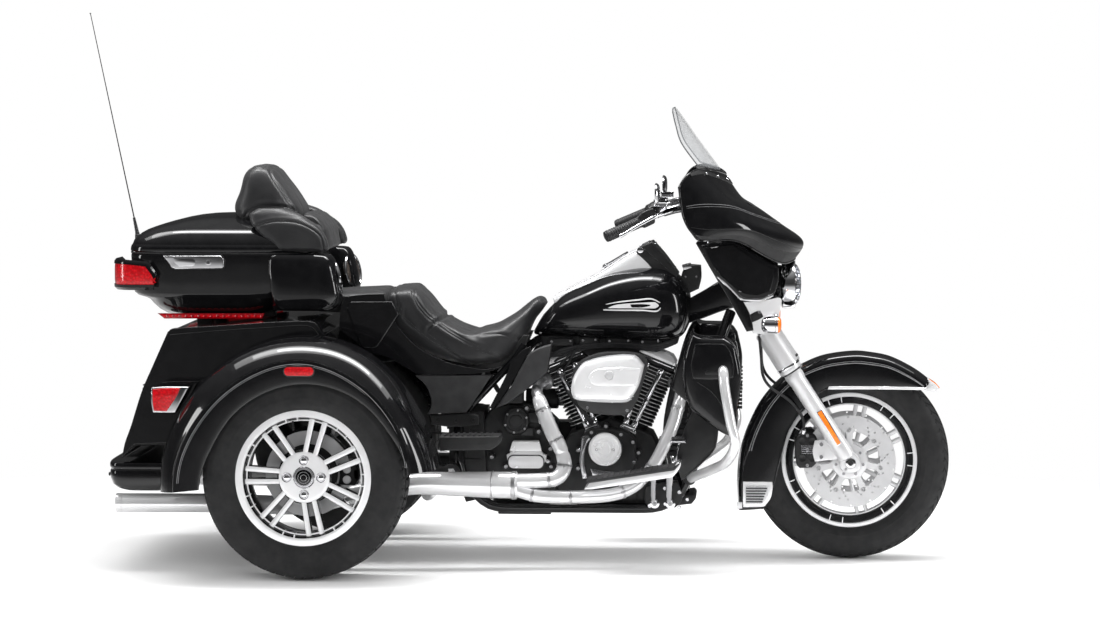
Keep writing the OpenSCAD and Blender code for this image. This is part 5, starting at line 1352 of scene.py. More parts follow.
topseam = [(-205, 1062), (-199, 1069), (-171, 1081), (-126, 1089), (-65, 1085), (-20, 1067), (10, 1043), (19, 1012), (22, 985)]
outer_only = lambda q: np.clip((q[:, :, 1] - 225) / 20, 0, 1)
wing = sew(wing, [topseam], 2.6, 2.2, 1.5, outer_only)
wing = sew(wing, [[(-232, 1092), (-200, 1102), (-150, 1107), (-90, 1100), (-30, 1080), (14, 1052), (30, 1010)]], 1.8, 2.2, 1.0, lambda q: np.clip((262 - q[:, :, 1]) / 20, 0, 1))
wing = wrinkle(wing, 0.7, 36, 3.0)
for s in (1, -1):
    w2 = wing.copy()
    w2[:, :, 1] *= s
    br.add(closed(w2), M["leather"])
    stitches(br, w2 if s > 0 else w2, topseam[1:-1], M["thread"], shift=4.0)
fp = zpad([(-2, 24, 168, 996, .42, 0), (-4, 31, 174, 1004, .42, 0), (-9, 31, 175, 1030, .42, 0), (-14, 30, 175, 1060, .42, 0), (-30, 27, 172, 1088, .45, 0), (-42, 22, 165, 1102, .5, 0), (-46, 14, 154, 1107, .6, 0)], 9, 130)
fp = round_ends(fp, True, True, 0.07)
fp = inflate(fp, 5.0, pressure=1.6)
fp = sew(fp, [[(-36, 1110), (-20, 1085), (4, 1064), (14, 1030), (18, 990)]], 2.2, 2.2, 1.2, lambda q: np.clip((q[:, :, 0] + 30) / 20, 0, 1))
n3 = outward(fp)
fp = fp + n3 * (-2.2 * np.exp(-((np.abs(fp[:, :, 1]) - 62) / 3.0) ** 2))[:, :, None]
fp = wrinkle(fp, 0.8, 34, 5.0)
br.add(closed(fp), M["leather"])
# plastic shell behind the pads
br.add(loft(param_rings([(-150, 60, 150, 1078, .5, 0), (-175, 100, 168, 1090, .5, 0), (-178, 105, 172, 1098, .5, 0)], 4, 80, "z")), M["plastic"])
br_ob = br.done("top_box_lid", ("backrest",), "leather", angle=60)
# ------------------------------------------------------------------ tank, console, fuel door
from mathutils.bvhtree import BVHTree
def bvh(prim):
    return BVHTree.FromPolygons([tuple(p) for p in A(prim[0])], [tuple(q) for q in prim[1]])
def cast_y(tree, x, z, s=-1, off=0.0, default=170):
    hit = tree.ray_cast((x, s * 600, z), (0, -s, 0))
    return (s * (abs(hit[0][1]) + off)) if hit[0] is not None else s * (default + off)
def lay(tree, outline, s, off, thick=1.5, inner=None):
    """A thin plate that follows a surface's side, from an outline in X, Z."""
    pts = [tuple(p[:2]) for p in outline]
    n = len(pts)
    v = [(x, cast_y(tree, x, z, s, off), z) for x, z in pts] + [(x, cast_y(tree, x, z, s, off - thick), z) for x, z in pts]
    f = [tuple(range(n))] + [(i, i + n, (i + 1) % n + n, (i + 1) % n) for i in range(n)]
    return (v, f)
def ribbon(tree, line, w, s, off, thick=1.2):
    """A narrow raised line laid along a surface's side."""
    c = crv(line, 8)
    t = np.gradient(c, axis=0)
    t /= np.maximum(np.linalg.norm(t, axis=1, keepdims=True), 1e-9)
    rows = []
    m = len(c)
    for i in range(m):
        ww = w if np.isscalar(w) else np.interp(i / (m - 1), np.linspace(0, 1, len(w)), w)
        nx, nz = -t[i][1], t[i][0]
        row = []
        for q, o in ((-1, off - thick), (-0.8, off), (0, off + 0.3), (0.8, off), (1, off - thick)):
            x, z = c[i][0] + nx * ww / 2 * q, c[i][1] + nz * ww / 2 * q
            row.append((x, cast_y(tree, x, z, s, o), z))
        rows.append(row)
    return surface(rows)

TANK = [(668, 726, 700, 782, 44, .8), (676, 716, 728, 812, 92, .78), (720, 714, 768, 850, 126, .76), (800, 708, 838, 884, 151, .72), (900, 702, 916, 918, 167, .70), (1000, 697, 1000, 937, 175.5, .70),
    (1080, 695, 1074, 937, 171, .72), (1140, 712, 1118, 921, 149, .76), (1166, 750, 1150, 894, 108, .82), (1174, 786, 1166, 866, 58, .9)]
tg = param_rings(TANK, 9, 128, "x")
tg = round_ends(tg, True, True, 0.10)
tank_prim = loft(tg)
tank_tree = bvh(tank_prim)
tk = Part("fuel_tank_detail")
tk.add(tank_prim, M["gloss"])
for s in (1, -1):
    # a plain bright ornament on each side: a spear with a thin line above and below, nothing written
    tk.add(ribbon(tank_tree, [(898, 806), (960, 806), (1020, 806), (1066, 803), (1080, 814)], [3, 5, 5, 5, 2], s, 2.4), M["cover"])
    tk.add(ribbon(tank_tree, [(906, 824), (950, 832), (1010, 839), (1050, 842), (1078, 830)], [2, 4, 5, 5, 2], s, 2.4), M["cover"])
    tk.add(lay(tank_tree, pin([(912, 812, 0), (1000, 812), (1062, 812, 0), (1074, 821), (1062, 832, 0), (1000, 829), (940, 823)], 6), s, 3.0, 4.0), M["cover"])
    # seam along the bottom edge
    tk.add(ribbon(tank_tree, [(690, 722), (760, 719), (845, 712), (990, 704), (1080, 704), (1140, 722)], 2.2, s, 0.6), M["satin"])
tk.done("chassis", ("fuel_tank",), "gloss_black", angle=50)

con = Part("tank_console_detail")
CON = [(744, 780, 729, 838, 22, .75), (790, 800, 778, 867, 44, .62), (880, 834, 866, 912, 60, .52), (945, 852, 926, 950, 70, .48), (985, 868, 958, 972, 75, .46), (1030, 884, 992, 990, 77, .44), (1080, 890, 1030, 1004, 75, .46), (1112, 900, 1060, 996, 71, .5), (1132, 906, 1096, 956, 64, .6)]
cg = param_rings(CON, 9, 96, "x")
cg = round_ends(cg, True, True, 0.10)
con_prim = loft(cg)
con_tree = bvh(con_prim)
con.add(con_prim, M["cover"])
def top_of(tree, x, y):
    h = tree.ray_cast((x, y, 1400), (0, 0, -1))
    return h[0][2] if h[0] is not None else 900
# dark seam round the edge
for s in (1, -1):
    rows = []
    for x in np.linspace(770, 1110, 40):
        w = np.interp(x, [744, 880, 1000, 1110], [24, 52, 64, 60])
        rows.append([(x, s * (w - 1.5), top_of(con_tree, x, s * w) + 1.0), (x, s * (w + 1.5), top_of(con_tree, x, s * w) + 0.9)])
    con.add(surface(rows), M["satin"])
# dark instrument block at the front of the console: ribs, bezels and two blank dials
blk = pin([(998, 984, 0), (1014, 1003), (1050, 1019, 0), (1092, 972), (1134, 914, 0), (1120, 896), (1092, 890, 0), (1062, 918), (1034, 950)], 4)
con.add(extr(blk, -79.5, 79.5, 9, 4), M["satin"])
dirv = np.array([84, 0, -106.0]); dirv /= np.linalg.norm(dirv)
for i in range(6):
    c = np.array([1052, 0, 1020.0]) + dirv * (12 + i * 20)
    con.add(xf(box(-1.6, 1.6, -66, 66, -1.2, 1.6, 0.8, 1), Matrix.Translation(Vector(c)) @ Matrix.Rotation(rad(51.6), 4, "Y")), M["chrome_soft"] if i in (0, 3) else M["satin"])
for s in (1, -1):
    c = np.array([1012, s * 79, 992.0])
    con.add(rev([(0, 0), (9, 0), (10, 1.2), (8, 2.4), (0, 2.6)], c, (0, s, 0), 24), M["chrome"])
    # stacked louvres on the block's sides
    for i in range(5):
        p0 = np.array([1030 + i * 17, s * 79, 990 - i * 15.0])
        con.add(xf(box(-10, 10, -1.4, 1.4, -2.2, 2.2, 0.8, 1), Matrix.Translation(Vector(p0)) @ Matrix.Rotation(rad(40), 4, "Y")), M["satin"])
c = np.array([1040, 0, 1016.0])
con.add(rev([(17, 0), (17, 4), (14, 6), (12.5, 5), (0, 5)], (1030, 0, 1008), (-0.45, 0, 0.9), 28), M["chrome"])
# row of small switches behind it
for i in range(3):
    zt = top_of(con_tree, 900 + i * 15, 0)
    con.add(box(895 + i * 15, 905 + i * 15, -16, 16, zt - 4, zt + 3, 1.5, 2), M["satin"])
con.done("chassis", ("tank_console",), "chrome", angle=40)

fd = Part("fuel_door_detail")
R_ = Matrix.Translation((966, 0, 978)) @ Matrix.Rotation(rad(31), 4, "Y").inverted()
def fdx(p):
    return xf(p, R_)
rows = []
for u in np.linspace(-91, 0, 19):
    row = []
    for v_ in np.linspace(-30, 30, 15):
        e = min(u + 91, -u + 3, 30 - abs(v_))
        row.append((u, v_, 3.2 - 2.8 * max(0, 1 - e / 7) ** 2 + 1.4 * (1 - (v_ / 30) ** 2)))
    rows.append(row)
fd.add(fdx(shell(rows, -3.0)), M["chrome"])
fd.add(fdx(rev([(0, 0), (4, 0), (4.2, 1), (4.2, 59), (4, 60), (0, 60)], (0, -30, 0), (0, 1, 0), 20)), M["chrome"])
fd.add(fdx(move(extr([(x, y) for x, y in lozenge(14, 34, 6.5)], 2, 6.5, 1.5, 2, "z"), -80, 0, 0)), M["chrome_soft"])
fd.done("fuel_door", ("fuel_door",), "chrome", angle=40)

# ------------------------------------------------------------------ side covers and ducts
sc = Part("side_covers_detail")
up = pin([(60, 742, 0), (64, 800), (72, 846, 0), (140, 854), (204, 856, 0), (216, 806), (252, 748), (305, 692), (370, 655), (430, 632), (520, 618), (578, 628, 0), (540, 612), (486, 604), (390, 602), (311, 603), (284, 616), (257, 632), (214, 657), (167, 669), (120, 700)], 4)
sc.add(extr(up, 184, 202, 6, 4), M["gloss"], True)
trap = pin([(84, 812, 0), (99, 832, 0), (229, 833, 0), (251, 792, 0), (184, 690, 0), (170, 684), (140, 686), (128, 692, 0)], 1)
sc.add(extr(trap, 196, 208, 4.5, 4), M["gloss"], True)
lowc = pin([(300, 598, 0), (400, 598), (486, 599), (546, 600, 0), (506, 540), (464, 480, 0), (400, 477), (340, 474, 0), (352, 500), (350, 530), (334, 566)], 4)
sc.add(extr(lowc, 180, 197, 4, 3), M["dark_grey"], True)
duct = pin([(735, 698, 0), (700, 688), (664, 669, 0), (632, 612), (604, 560), (556, 493, 0), (596, 508, 0), (660, 556), (723, 609, 0)], 3)
sc.add(extr(duct, 152, 194, 7, 4), M["dark_grey"], True)
duct2 = pin([(604, 640, 0), (640, 676), (668, 690, 0), (660, 668), (600, 560), (548, 490, 0), (536, 492, 0), (586, 590)], 3)
sc.add(extr(duct2, 140, 176, 5, 3), M["gloss"], True)
# boxes and brackets under the covers
sc.add(extr(pin([(348, 470, 0), (462, 476, 0), (500, 470), (506, 440, 0), (420, 432), (352, 440, 0)], 3), 150, 186, 5, 3), M["plastic"], True)
for x, z in ((372, 455), (430, 452), (486, 455)):
    sc.add(bolt((x, 185.5, z), (0, 1, 0), 6, 4), M["satin"], True)
sc.done("chassis", ("side_covers",), "gloss_black", weighted=True, angle=40)
# ------------------------------------------------------------------ engine, exhaust and frame
CX, CZ = 918, 284
def vee(a):
    return Matrix.Translation((CX, 0, CZ)) @ Matrix.Rotation(rad(a), 4, "Y")

# cylinders with fins, bright fin edges, heads and pushrod tubes
for tag, a in (("rear", -22.5), ("front", 22.5)):
    T = vee(a)
    cy = Part("cylinder_fins_" + tag)
    cy.add(xf(extr(lozenge(112, 116, 40), 150, 322, 2, 2, "z"), T), M["cast"])
    for i in range(12):
        z = 176 + i * 12.4
        w = 134 + (i % 12) * 0.35
        cy.add(xf(extr(lozenge(w, w + 2, 44), z, z + 4.6, 1.2, 1, "z"), T), M["cast"])
        cy.add(xf(extr(lozenge(w + 3.0, w + 5.0, 45), z + 1.0, z + 3.4, 0.5, 1, "z"), T), M["fin"])
    # cylinder head with its own broader fins
    cy.add(xf(extr(lozenge(126, 150, 22), 318, 371, 4, 2, "z"), T), M["cast"])
    for i in range(4):
        z = 324 + i * 11.5
        cy.add(xf(extr(lozenge(132, 155, 24), z, z + 4.4, 1.2, 1, "z"), T), M["cast"])
        cy.add(xf(extr(lozenge(133.5, 156.6, 24), z + 1.2, z + 3.2, 0.5, 1, "z"), T), M["fin"])
    # spark plug, its cap and head bolts
    cy.add(xf(cyl((-20 if a < 0 else 20, -74, 346), (-34 if a < 0 else 34, -92, 352), 8, 8, 16), T), M["steel"])
    cy.add(xf(cyl((-26 if a < 0 else 26, -84, 348), (-40 if a < 0 else 40, -100, 355), 10, 7, 16), T), M["grip"])
    for sx in (-46, 46):
        for sy in (-60, 60):
            cy.add(xf(bolt((sx, sy, 371), (0, 0, 1), 7, 5, socket=False), T), M["chrome"])
    # exhaust and intake flanges
    for sx in (-1, 1):
        cy.add(xf(cyl((sx * 58, -26, 342), (sx * 74, -34, 340), 27, 24, 28), T), M["cast"])
    # pushrod tubes with collars top and bottom
    for sx in (-1, 1):
        p, q = np.array((sx * 14, -99, 160.0)), np.array((sx * 26, -99, 368.0))
        d = (q - p) / np.linalg.norm(q - p)
        cy.add(xf(cyl(p, q, 7.2, n=20), T), M["chrome"])
        cy.add(xf(cyl(p, p + d * 22, 11, n=24, b=2), T), M["chrome"])
        cy.add(xf(cyl(p + d * 84, p + d * 100, 9.6, n=24, b=1.5), T), M["chrome"])
        cy.add(xf(cyl(p + d * 104, q, 8.6, n=24, b=1.5), T), M["chrome"])
        cy.add(xf(cyl(q - d * 16, q, 11, n=24, b=2), T), M["chrome"])
    # tappet block at the foot of the tubes: a plate, a raised body and two screws
    cy.add(xf(extr(lozenge(58, 30, 6), 142, 150, 1.5, 2, "z"), T @ Matrix.Translation((0, -100, 0))), M["chrome_soft"])
    cy.add(xf(extr(lozenge(46, 24, 6), 150, 163, 2.5, 2, "z"), T @ Matrix.Translation((0, -99, 0))), M["chrome_soft"])
    for sx in (-22, 22):
        cy.add(xf(bolt((sx, -112, 150), (0, 0, 1), 4.5, 3.5), T), M["chrome"])
    cy.done("chassis", ("cylinders",) if a < 0 else (), "cast_black", angle=35)
    # rocker cover: base flange, bright box with chamfered ends, a step, screws
    rk = Part("rocker_cover_" + tag)
    rk.add(xf(extr(lozenge(130, 184, 16), 372, 379, 1.5, 2, "z"), T), M["cast"])
    rk.add(xf(extr(lozenge(128, 182, 15), 380.2, 386, 1.5, 2, "z"), T), M["chrome_soft"])
    rk.add(xf(extr(lozenge(122, 176, 15), 386, 390, 1.0, 1, "z"), T), M["cast"])
    def rbox(w, d, z0, z1, z2, w2, d2):
        r0 = [(x, y, z0) for x, y in lozenge(w, d, 14, 6)]
        r1 = [(x, y, z1) for x, y in lozenge(w, d, 14, 6)]
        rows = [r0, r1]
        for t in (0.15, 0.35, 0.6, 0.85, 1.0):
            rows.append([(x, y, z1 + (z2 - z1) * t ** 0.9) for x, y in lozenge(w + (w2 - w) * t, d + (d2 - d) * t, 14 - 5 * t, 6)])
        rows.append([(x, y, z2 + 2) for x, y in lozenge(w2 - 5, d2 - 5, 8, 6)])
        return loft(rows)
    rk.add(xf(rbox(126, 180, 390, 398, 413, 92, 128), T), M["cover"])
    rk.add(xf(extr(lozenge(70, 96, 8), 413, 417, 1.5, 2, "z"), T), M["cover"])
    for sx in (-52, 52):
        for sy in (-72, 0, 72):
            rk.add(xf(bolt((sx, sy, 399), (0, 0, 1), 5, 3.5), T), M["chrome"])
    for sx in (-1, 1):
        for sy in (-66, -22, 22, 66):
            rk.add(xf(bolt((sx * 64.5, sy, 383), (sx, 0, 0), 3.4, 2.4, 10), T), M["cast"])
    rk.done("chassis", ("rocker_covers",) if a < 0 else (), "chrome", angle=30)

# air cleaner: dark backplate and a bright domed cover with a raised panel and a plain boss
AC = pin([(804, 545, 0), (801, 562), (803, 580), (812, 608), (834, 640), (858, 652), (905, 664), (960, 670), (1000, 669, 0), (1014, 658), (1031, 637, 0), (1024, 605), (1012, 568), (988, 529, 0), (975, 523), (933, 521), (875, 523), (829, 527, 0), (812, 534)], 5)
ac = Part("air_cleaner_detail")
def inset_ring(outline, s, y, c=None):
    o = np.asarray(outline)[:, :2]
    c = o.mean(0) if c is None else np.array(c)
    v = o - c
    L = np.linalg.norm(v, axis=1, keepdims=True)
    q = c + v * (L - s) / L
    return [(x, y, z) for x, z in q]
acr = [inset_ring(AC, 2, -222), inset_ring(AC, 0, -226), inset_ring(AC, 0, -270), inset_ring(AC, 0.6, -284), inset_ring(AC, 3, -292), inset_ring(AC, 8, -298), inset_ring(AC, 16, -301.5), inset_ring(AC, 30, -303), inset_ring(AC, 55, -303.6)]
ac.add(loft(acr), M["cover"])
panel = pin([(1024, 632, 0), (960, 636), (890, 630), (866, 618), (857, 602), (866, 585), (886, 577), (950, 575), (1006, 577, 0), (1016, 600)], 5)
pr = [inset_ring(panel, 0, -301), inset_ring(panel, 0.4, -304.0), inset_ring(panel, 2.4, -306.0), inset_ring(panel, 8, -306.8), inset_ring(panel, 22, -307)]
ac.add(loft(pr), M["cover"])
ac.add(rev([(15, 0), (15, 1.6), (13.5, 2.8), (12, 2.2), (11, 1.6), (0, 2.6)], (923, -306.2, 610), (0, -1, 0), 40), M["silver"])
# creases across the lower part of the cover
for z0, z1, x0, x1 in ((549, 541, 1000, 808), (540, 536, 994, 812)):
    ac.add(tube([(x0, -299.5, z0 - 6), ((x0 + x1) / 2, -300.2, (z0 + z1) / 2 - 7), (x1, -298.5, z1 - 1)], 0.9, 6, 4), M["silver"])
base = pin([(815, 528, 0), (822, 508), (840, 492), (871, 481), (930, 476), (978, 477, 0), (996, 500), (1012, 532, 0), (1032, 600), (1040, 640), (1020, 668), (960, 676), (880, 670), (820, 640), (800, 590)], 4)
ac.add(extr(base, -226, -182, 4, 2), M["dark_grey"])
ac.add(extr(base, -182, -176, 0, 1), M["deep"])
ac.add(cyl((918, -176, 590), (918, -90, 600), 46, 38, 36, 3), M["cast"])
ac.add(cyl((918, -40, 604), (918, -92, 600), 36, 44, 36, 3), M["cast"])
for x, z in ((850, 500), (975, 492)):
    ac.add(bolt((x, -226, z), (0, -1, 0), 5, 3), M["chrome"])
ac.done("chassis", ("air_cleaner",), "chrome", angle=28)

# crankcase and gearbox
ec = Part("engine_case_detail")
ec.add(extr(pin([(772, 172, 0), (905, 168), (1050, 177, 0), (1084, 200), (1099, 236), (1098, 282), (1087, 330, 0), (1051, 401, 0), (985, 430), (918, 455, 0), (850, 430), (785, 401, 0), (752, 330), (748, 210, 0)], 5), -102, 102, 7, 4), M["cast"])
ec.add(extr(pin([(508, 204, 0), (560, 182, 0), (746, 181, 0), (749, 330), (744, 438, 0), (690, 488, 0), (600, 498), (540, 486), (512, 440, 0), (495, 380)], 4), -102, 68, 7, 4), M["cast"])
# ribs and bosses on the crankcase walls
for i in range(7):
    x = 792 + i * 42
    for s in (1,):
        ec.add(box(x - 2.4, x + 2.4, -106, 106, 186, 214 + 8 * (i % 2), 1.6, 1), M["cast"])
for i in range(6):
    z = 214 + i * 32
    ec.add(box(746, 752, -96, 96, z, z + 5, 1.6, 1), M["cast"])
    ec.add(box(1088 - abs(i - 2) * 6, 1101 - abs(i - 2) * 7, -92, 92, z, z + 5, 1.6, 1), M["cast"])
ec.add(cyl((1094, -6, 250), (1172, -6, 238), 37, n=48, b=6), M["gloss"])
for k in range(24):
    t = 2 * pi * k / 24
    c = np.array((1164, -6, 239.2)) + 34.5 * np.array((0.15 * sin(t), cos(t), sin(t)))
    ec.add(cyl(c, c + np.array((9, 0, -1.4)), 2.4, 2.0, 8), M["gloss"])
ec.add(extr(pin([(1104, 204, 0), (1184, 212, 0), (1192, 200), (1178, 181, 0), (1104, 172, 0)], 3), -100, 100, 6, 3), M["plastic"])
for x, z in ((1120, 190), (1164, 196)):
    ec.add(bolt((x, -100, z), (0, -1, 0), 6, 4), M["chrome"])
# starter motor, breather hose, dipstick, and cables in the V
ec.add(cyl((640, 40, 505), (745, 40, 505), 33, n=40, b=5), M["cast"])
ec.add(cyl((745, 40, 505), (768, 40, 505), 24, n=32, b=4), M["steel"])
ec.add(tube([(860, -120, 440), (840, -140, 470), (800, -130, 520), (770, -80, 560), (740, -40, 640)], 7, 12, 8), M["grip"])
ec.add(tube([(1120, -120, 560), (1104, -140, 470), (1096, -120, 400), (1110, -100, 300)], 6, 12, 8), M["grip"])
for i in range(3):
    ec.add(tube([(790 + i * 16, -60 - i * 10, 690), (780 + i * 10, -100 - i * 6, 660), (745 + i * 12, -90, 640 - i * 14), (700, -60, 600 - i * 18)], 4.2, 10, 8), M["grip"])
ec.add(box(655, 735, -122, -96, 442, 474, 4, 2), M["plastic"])
ec.add(extr(pin([(686, 462, 0), (740, 458, 0), (744, 436, 0), (692, 438, 0)], 2), -128, -106, 2, 2), M["steel"])
ec.add(box(560, 640, -118, -60, 500, 546, 7, 3), M["plastic"])
ec.add(tube([(560, -100, 540), (540, -110, 575), (520, -90, 604)], 8, 12, 6), M["grip"])
# wiring tray, coil and hoses under the tank; regulator with fins behind the down tubes; battery tray
ec.add(extr(pin([(694, 716, 0), (900, 726), (1146, 742, 0), (1132, 694, 0), (1052, 660, 0), (1000, 654), (900, 652), (820, 654), (744, 658, 0), (700, 684)], 4), -74, 74, 6, 3), M["plastic"])
for i, (x0, x1, z) in enumerate(((720, 800, 700), (820, 880, 704), (905, 985, 702), (1010, 1080, 700))):
    ec.add(box(x0, x1, -98, -70, z - 14, z + 10, 4, 2), M["satin"] if i % 2 else M["plastic"])
    ec.add(bolt((x0 + 10, -98, z), (0, -1, 0), 5, 4, 14), M["chrome"])
    ec.add(bolt((x1 - 10, -98, z + 2), (0, -1, 0), 4, 3, 14), M["chrome"])
for i in range(3):
    ec.add(tube([(1126, -104 + i * 9, 708 - i * 6), (1060, -108, 690 - i * 7), (960, -104 + i * 4, 694 - i * 5), (860, -100, 692 - i * 6), (770, -96, 676 - i * 8), (716, -80, 650)], 4.4, 10, 8), M["grip"])
ec.add(extr(pin([(1122, 604, 0), (1180, 600, 0), (1150, 330, 0), (1098, 334, 0), (1086, 420), (1100, 520)], 3), -92, 92, 5, 2), M["cast"])
for i in range(14):
    z = 346 + i * 18
    ec.add(box(1090 + i * 1.5, 1156 + i * 2.0, -97, 97, z, z + 5, 1.5, 1), M["cast"])
ec.add(extr(pin([(430, 478, 0), (516, 478, 0), (526, 200, 0), (456, 184, 0), (436, 262)], 3), -118, 118, 6, 3), M["plastic"])
for i in range(5):
    ec.add(box(446, 506, -122, -116, 230 + i * 44, 238 + i * 44, 2, 1), M["plastic"])
ec.done("chassis", ("engine_case",), "cast_black", angle=30)

# covers on the right: cam cover, timer cover, gearbox cover, bearing cover, with their screws
cv = Part("engine_covers_detail")
cam = pin([(829, 330, 0), (829, 306), (840, 282), (870, 261), (904, 251), (950, 259), (986, 288), (1001, 330, 0), (1001, 392, 0), (984, 408), (960, 421), (904, 427), (850, 421), (824, 392, 0)], 5)
cv.add(extr(cam, -149, -104, 6, 3), M["cast"])
tc = np.array((904, 0, 362.0))
cv.add(rev([(53, 0), (53, 20), (51, 26), (46, 29), (43, 28.4), (41, 27), (32, 27), (30, 29), (24, 29.4), (22, 28), (18, 28), (16.5, 29.4), (6, 30), (0, 30)], (904, -149, 362), (0, -1, 0), 64), M["cover"])
cv.add(rev([(56, 0), (56, 10), (53, 12), (50, 12), (50, 0)], (904, -148, 362), (0, -1, 0), 56, True), M["cast"])
for s in (-1, 1):
    cv.add(rev([(4.4, 0), (4.4, 1.6), (3.2, 2), (2.6, 0.8), (0, 0.8)], (904 + s * 26, -176.6, 362), (0, -1, 0), 16), M["cast"])
# a bright strut down the front of the cam cover and a plain plate below
cv.add(extr(pin([(829, 400, 0), (850, 404), (858, 396, 0), (842, 370), (838, 320), (848, 268, 0), (832, 266, 0), (822, 320), (826, 370)], 4), -156, -146, 3, 2), M["chrome_soft"])
cv.add(extr(pin([(856, 300, 0), (900, 292, 0), (960, 288, 0), (944, 274, 0), (868, 262, 0)], 3), -155, -146, 3, 2), M["chrome_soft"])
scr = [(860, 414), (906, 434), (954, 408), (818, 357), (817, 299), (850, 392), (992, 384), (996, 320), (962, 276), (1010, 350)]
for x, z in scr:
    cv.add(cyl((x, -104, z), (x, -151, z), 9, n=20, b=1.5), M["cast"])
    cv.add(bolt((x, -151, z), (0, -1, 0), 6.4, 4.5, 14), M["chrome"])
gb = pin([(610, 384, 0), (690, 384, 0), (700, 348), (716, 338, 0), (714, 322), (702, 300, 0), (604, 300, 0), (592, 318), (589, 340, 0), (602, 350)], 3)
cv.add(extr(gb, -146, -102, 4, 2), M["cover"])
cv.add(extr(pin([(608, 383, 0), (694, 383, 0), (702, 352, 0), (598, 352, 0)], 2), -151, -144, 3, 3), M["cover"])
lz = [(651 + x, 318 + z) for x, z in lozenge(112, 40, 17, 8)]
cv.add(extr(lz, -158, -144, 4, 3), M["cover"])

cv.add(extr([(651 + x, 318 + z) for x, z in lozenge(118, 46, 19, 8)], -150, -143, 1.5, 1), M["cast"])
cv.add(rev([(43, 0), (43, 20), (40, 27), (32, 29), (30, 27), (22, 27), (20, 29), (0, 30)], (618, -106, 446), (0, -1, 0), 48), M["cast"])
for k in range(6):
    t = rad(k * 60 + 20)
    cv.add(bolt((618 + 36 * cos(t), -133, 446 + 36 * sin(t)), (0, -1, 0), 3.6, 3), M["steel"])
for x, z in ((612, 414), (690, 413), (652, 488), (728, 358), (720, 318), (585, 300), (560, 400), (540, 330), (545, 250), (610, 262), (690, 262), (730, 300)):
    cv.add(cyl((x, -100, z), (x, -122, z), 11, n=20, b=1.5), M["cast"])
    cv.add(bolt((x, -122, z), (0, -1, 0), 7, 5, 14), M["chrome"])
cv.add(extr(pin([(634, 424, 0), (672, 424, 0), (672, 398, 0), (634, 398, 0)], 2), -116, -100, 3, 2), M["dark_grey"])
cv.done("chassis", ("engine_covers",), "cast_black", angle=30)

# left side: primary cover with inspection covers and a rim of screws
pc = Part("primary_cover_detail")
po = pin([(560, 330, 0), (562, 285), (580, 245), (640, 214), (760, 200), (930, 205), (1010, 234), (1046, 300), (1041, 370), (990, 421), (900, 431), (760, 426), (640, 430), (580, 402)], 7)
pc.add(extr(po, 104, 168, 5, 3), M["cast"])
pc.add(loft([inset_ring(po, 2, 166), inset_ring(po, 2.5, 172), inset_ring(po, 8, 180), inset_ring(po, 18, 184), inset_ring(po, 60, 186)]), M["chrome_soft"])
pc.add(rev([(74, 0), (74, 5), (70, 9), (60, 10), (58, 8), (30, 8), (28, 10), (0, 10)], (655, 182, 318), (0, 1, 0), 56), M["chrome_soft"])
pc.add(extr([(930 + x, 318 + z) for x, z in lozenge(120, 70, 30, 8)], 182, 191, 3, 3), M["chrome_soft"])
pod = np.asarray(po)
stp = np.linspace(0, len(pod), 17)[:-1]
cc_ = pod.mean(0)
for i in stp:
    q = pod[int(i)]
    v_ = cc_ - q
    q = q + v_ / np.linalg.norm(v_) * 9
    pc.add(bolt((q[0], 171, q[1]), (0, 1, 0), 6, 5, 14), M["chrome"])
for k in range(5):
    t = rad(k * 72)
    pc.add(bolt((655 + 65 * cos(t), 190, 318 + 65 * sin(t)), (0, 1, 0), 4.4, 3.5), M["cast"])
for s in (-46, 46):
    pc.add(bolt((930 + s, 190, 318), (0, 1, 0), 4.4, 3.5), M["cast"])
pc.done("chassis", ("primary_cover",), "chrome", angle=30)

# header pipes with heat shields and clamps
ep = Part("exhaust_headers")
rear_h = [(712, -54, 571), (692, -84, 562), (686, -150, 548), (694, -215, 535), (712, -252, 492), (740, -266, 428), (768, -274, 375), (781, -280, 322), (758, -292, 284), (700, -302, 276), (635, -310, 276)]
front_h = [(1124, -54, 571), (1142, -90, 556), (1136, -150, 500), (1110, -190, 420), (1060, -222, 320), (1000, -247, 255), (920, -272, 228), (800, -292, 224), (700, -304, 228), (635, -310, 244)]
ep.add(tube(rear_h, 18, 20, 8), M["steel"])
ep.add(tube(front_h, 16, 20, 8), M["steel"])
def part_of(path, a, b, k=8):
    c = crv(path, k)
    m = len(c)
    return c[int(a * (m - 1)):int(b * (m - 1)) + 1]
def shield(path, a, b, r, n=24):
    c = part_of(path, a, b)
    return tube(c, [r * 0.94, r, r, r, r, r * 0.94], n, 0, True, 1)
ep.add(shield(rear_h, 0.34, 0.62, 23.5), M["pipe"])
ep.add(shield(rear_h, 0.64, 1.0, 23.5), M["pipe"])
ep.add(shield(front_h, 0.16, 0.52, 20.5), M["pipe"])
ep.add(shield(front_h, 0.54, 1.0, 20.5), M["pipe"])
def clamp(path, t, r, w=9):
    c = crv(path, 8)
    i = int(t * (len(c) - 1))
    d = c[min(i + 1, len(c) - 1)] - c[max(i - 1, 0)]
    d = d / np.linalg.norm(d)
    ep.add(rev([(r - 2, 0), (r, 0.8), (r, w - 0.8), (r - 2, w)], c[i] - d * w / 2, d, 32, True), M["steel"])
    ep.add(cyl(c[i] + np.array((0, -r, 5)), c[i] + np.array((0, -r, -5)), 3.4, n=12), M["steel"])
for t in (0.40, 0.56, 0.70, 0.86):
    clamp(rear_h, t, 24.6)
for t in (0.24, 0.46, 0.62, 0.78, 0.92):
    clamp(front_h, t, 21.6)
for p, q in (((712, -54, 571), (706, -64, 569)), ((1124, -54, 571), (1130, -66, 566))):
    ep.add(cyl(p, q, 28, n=32, b=2), M["steel"])
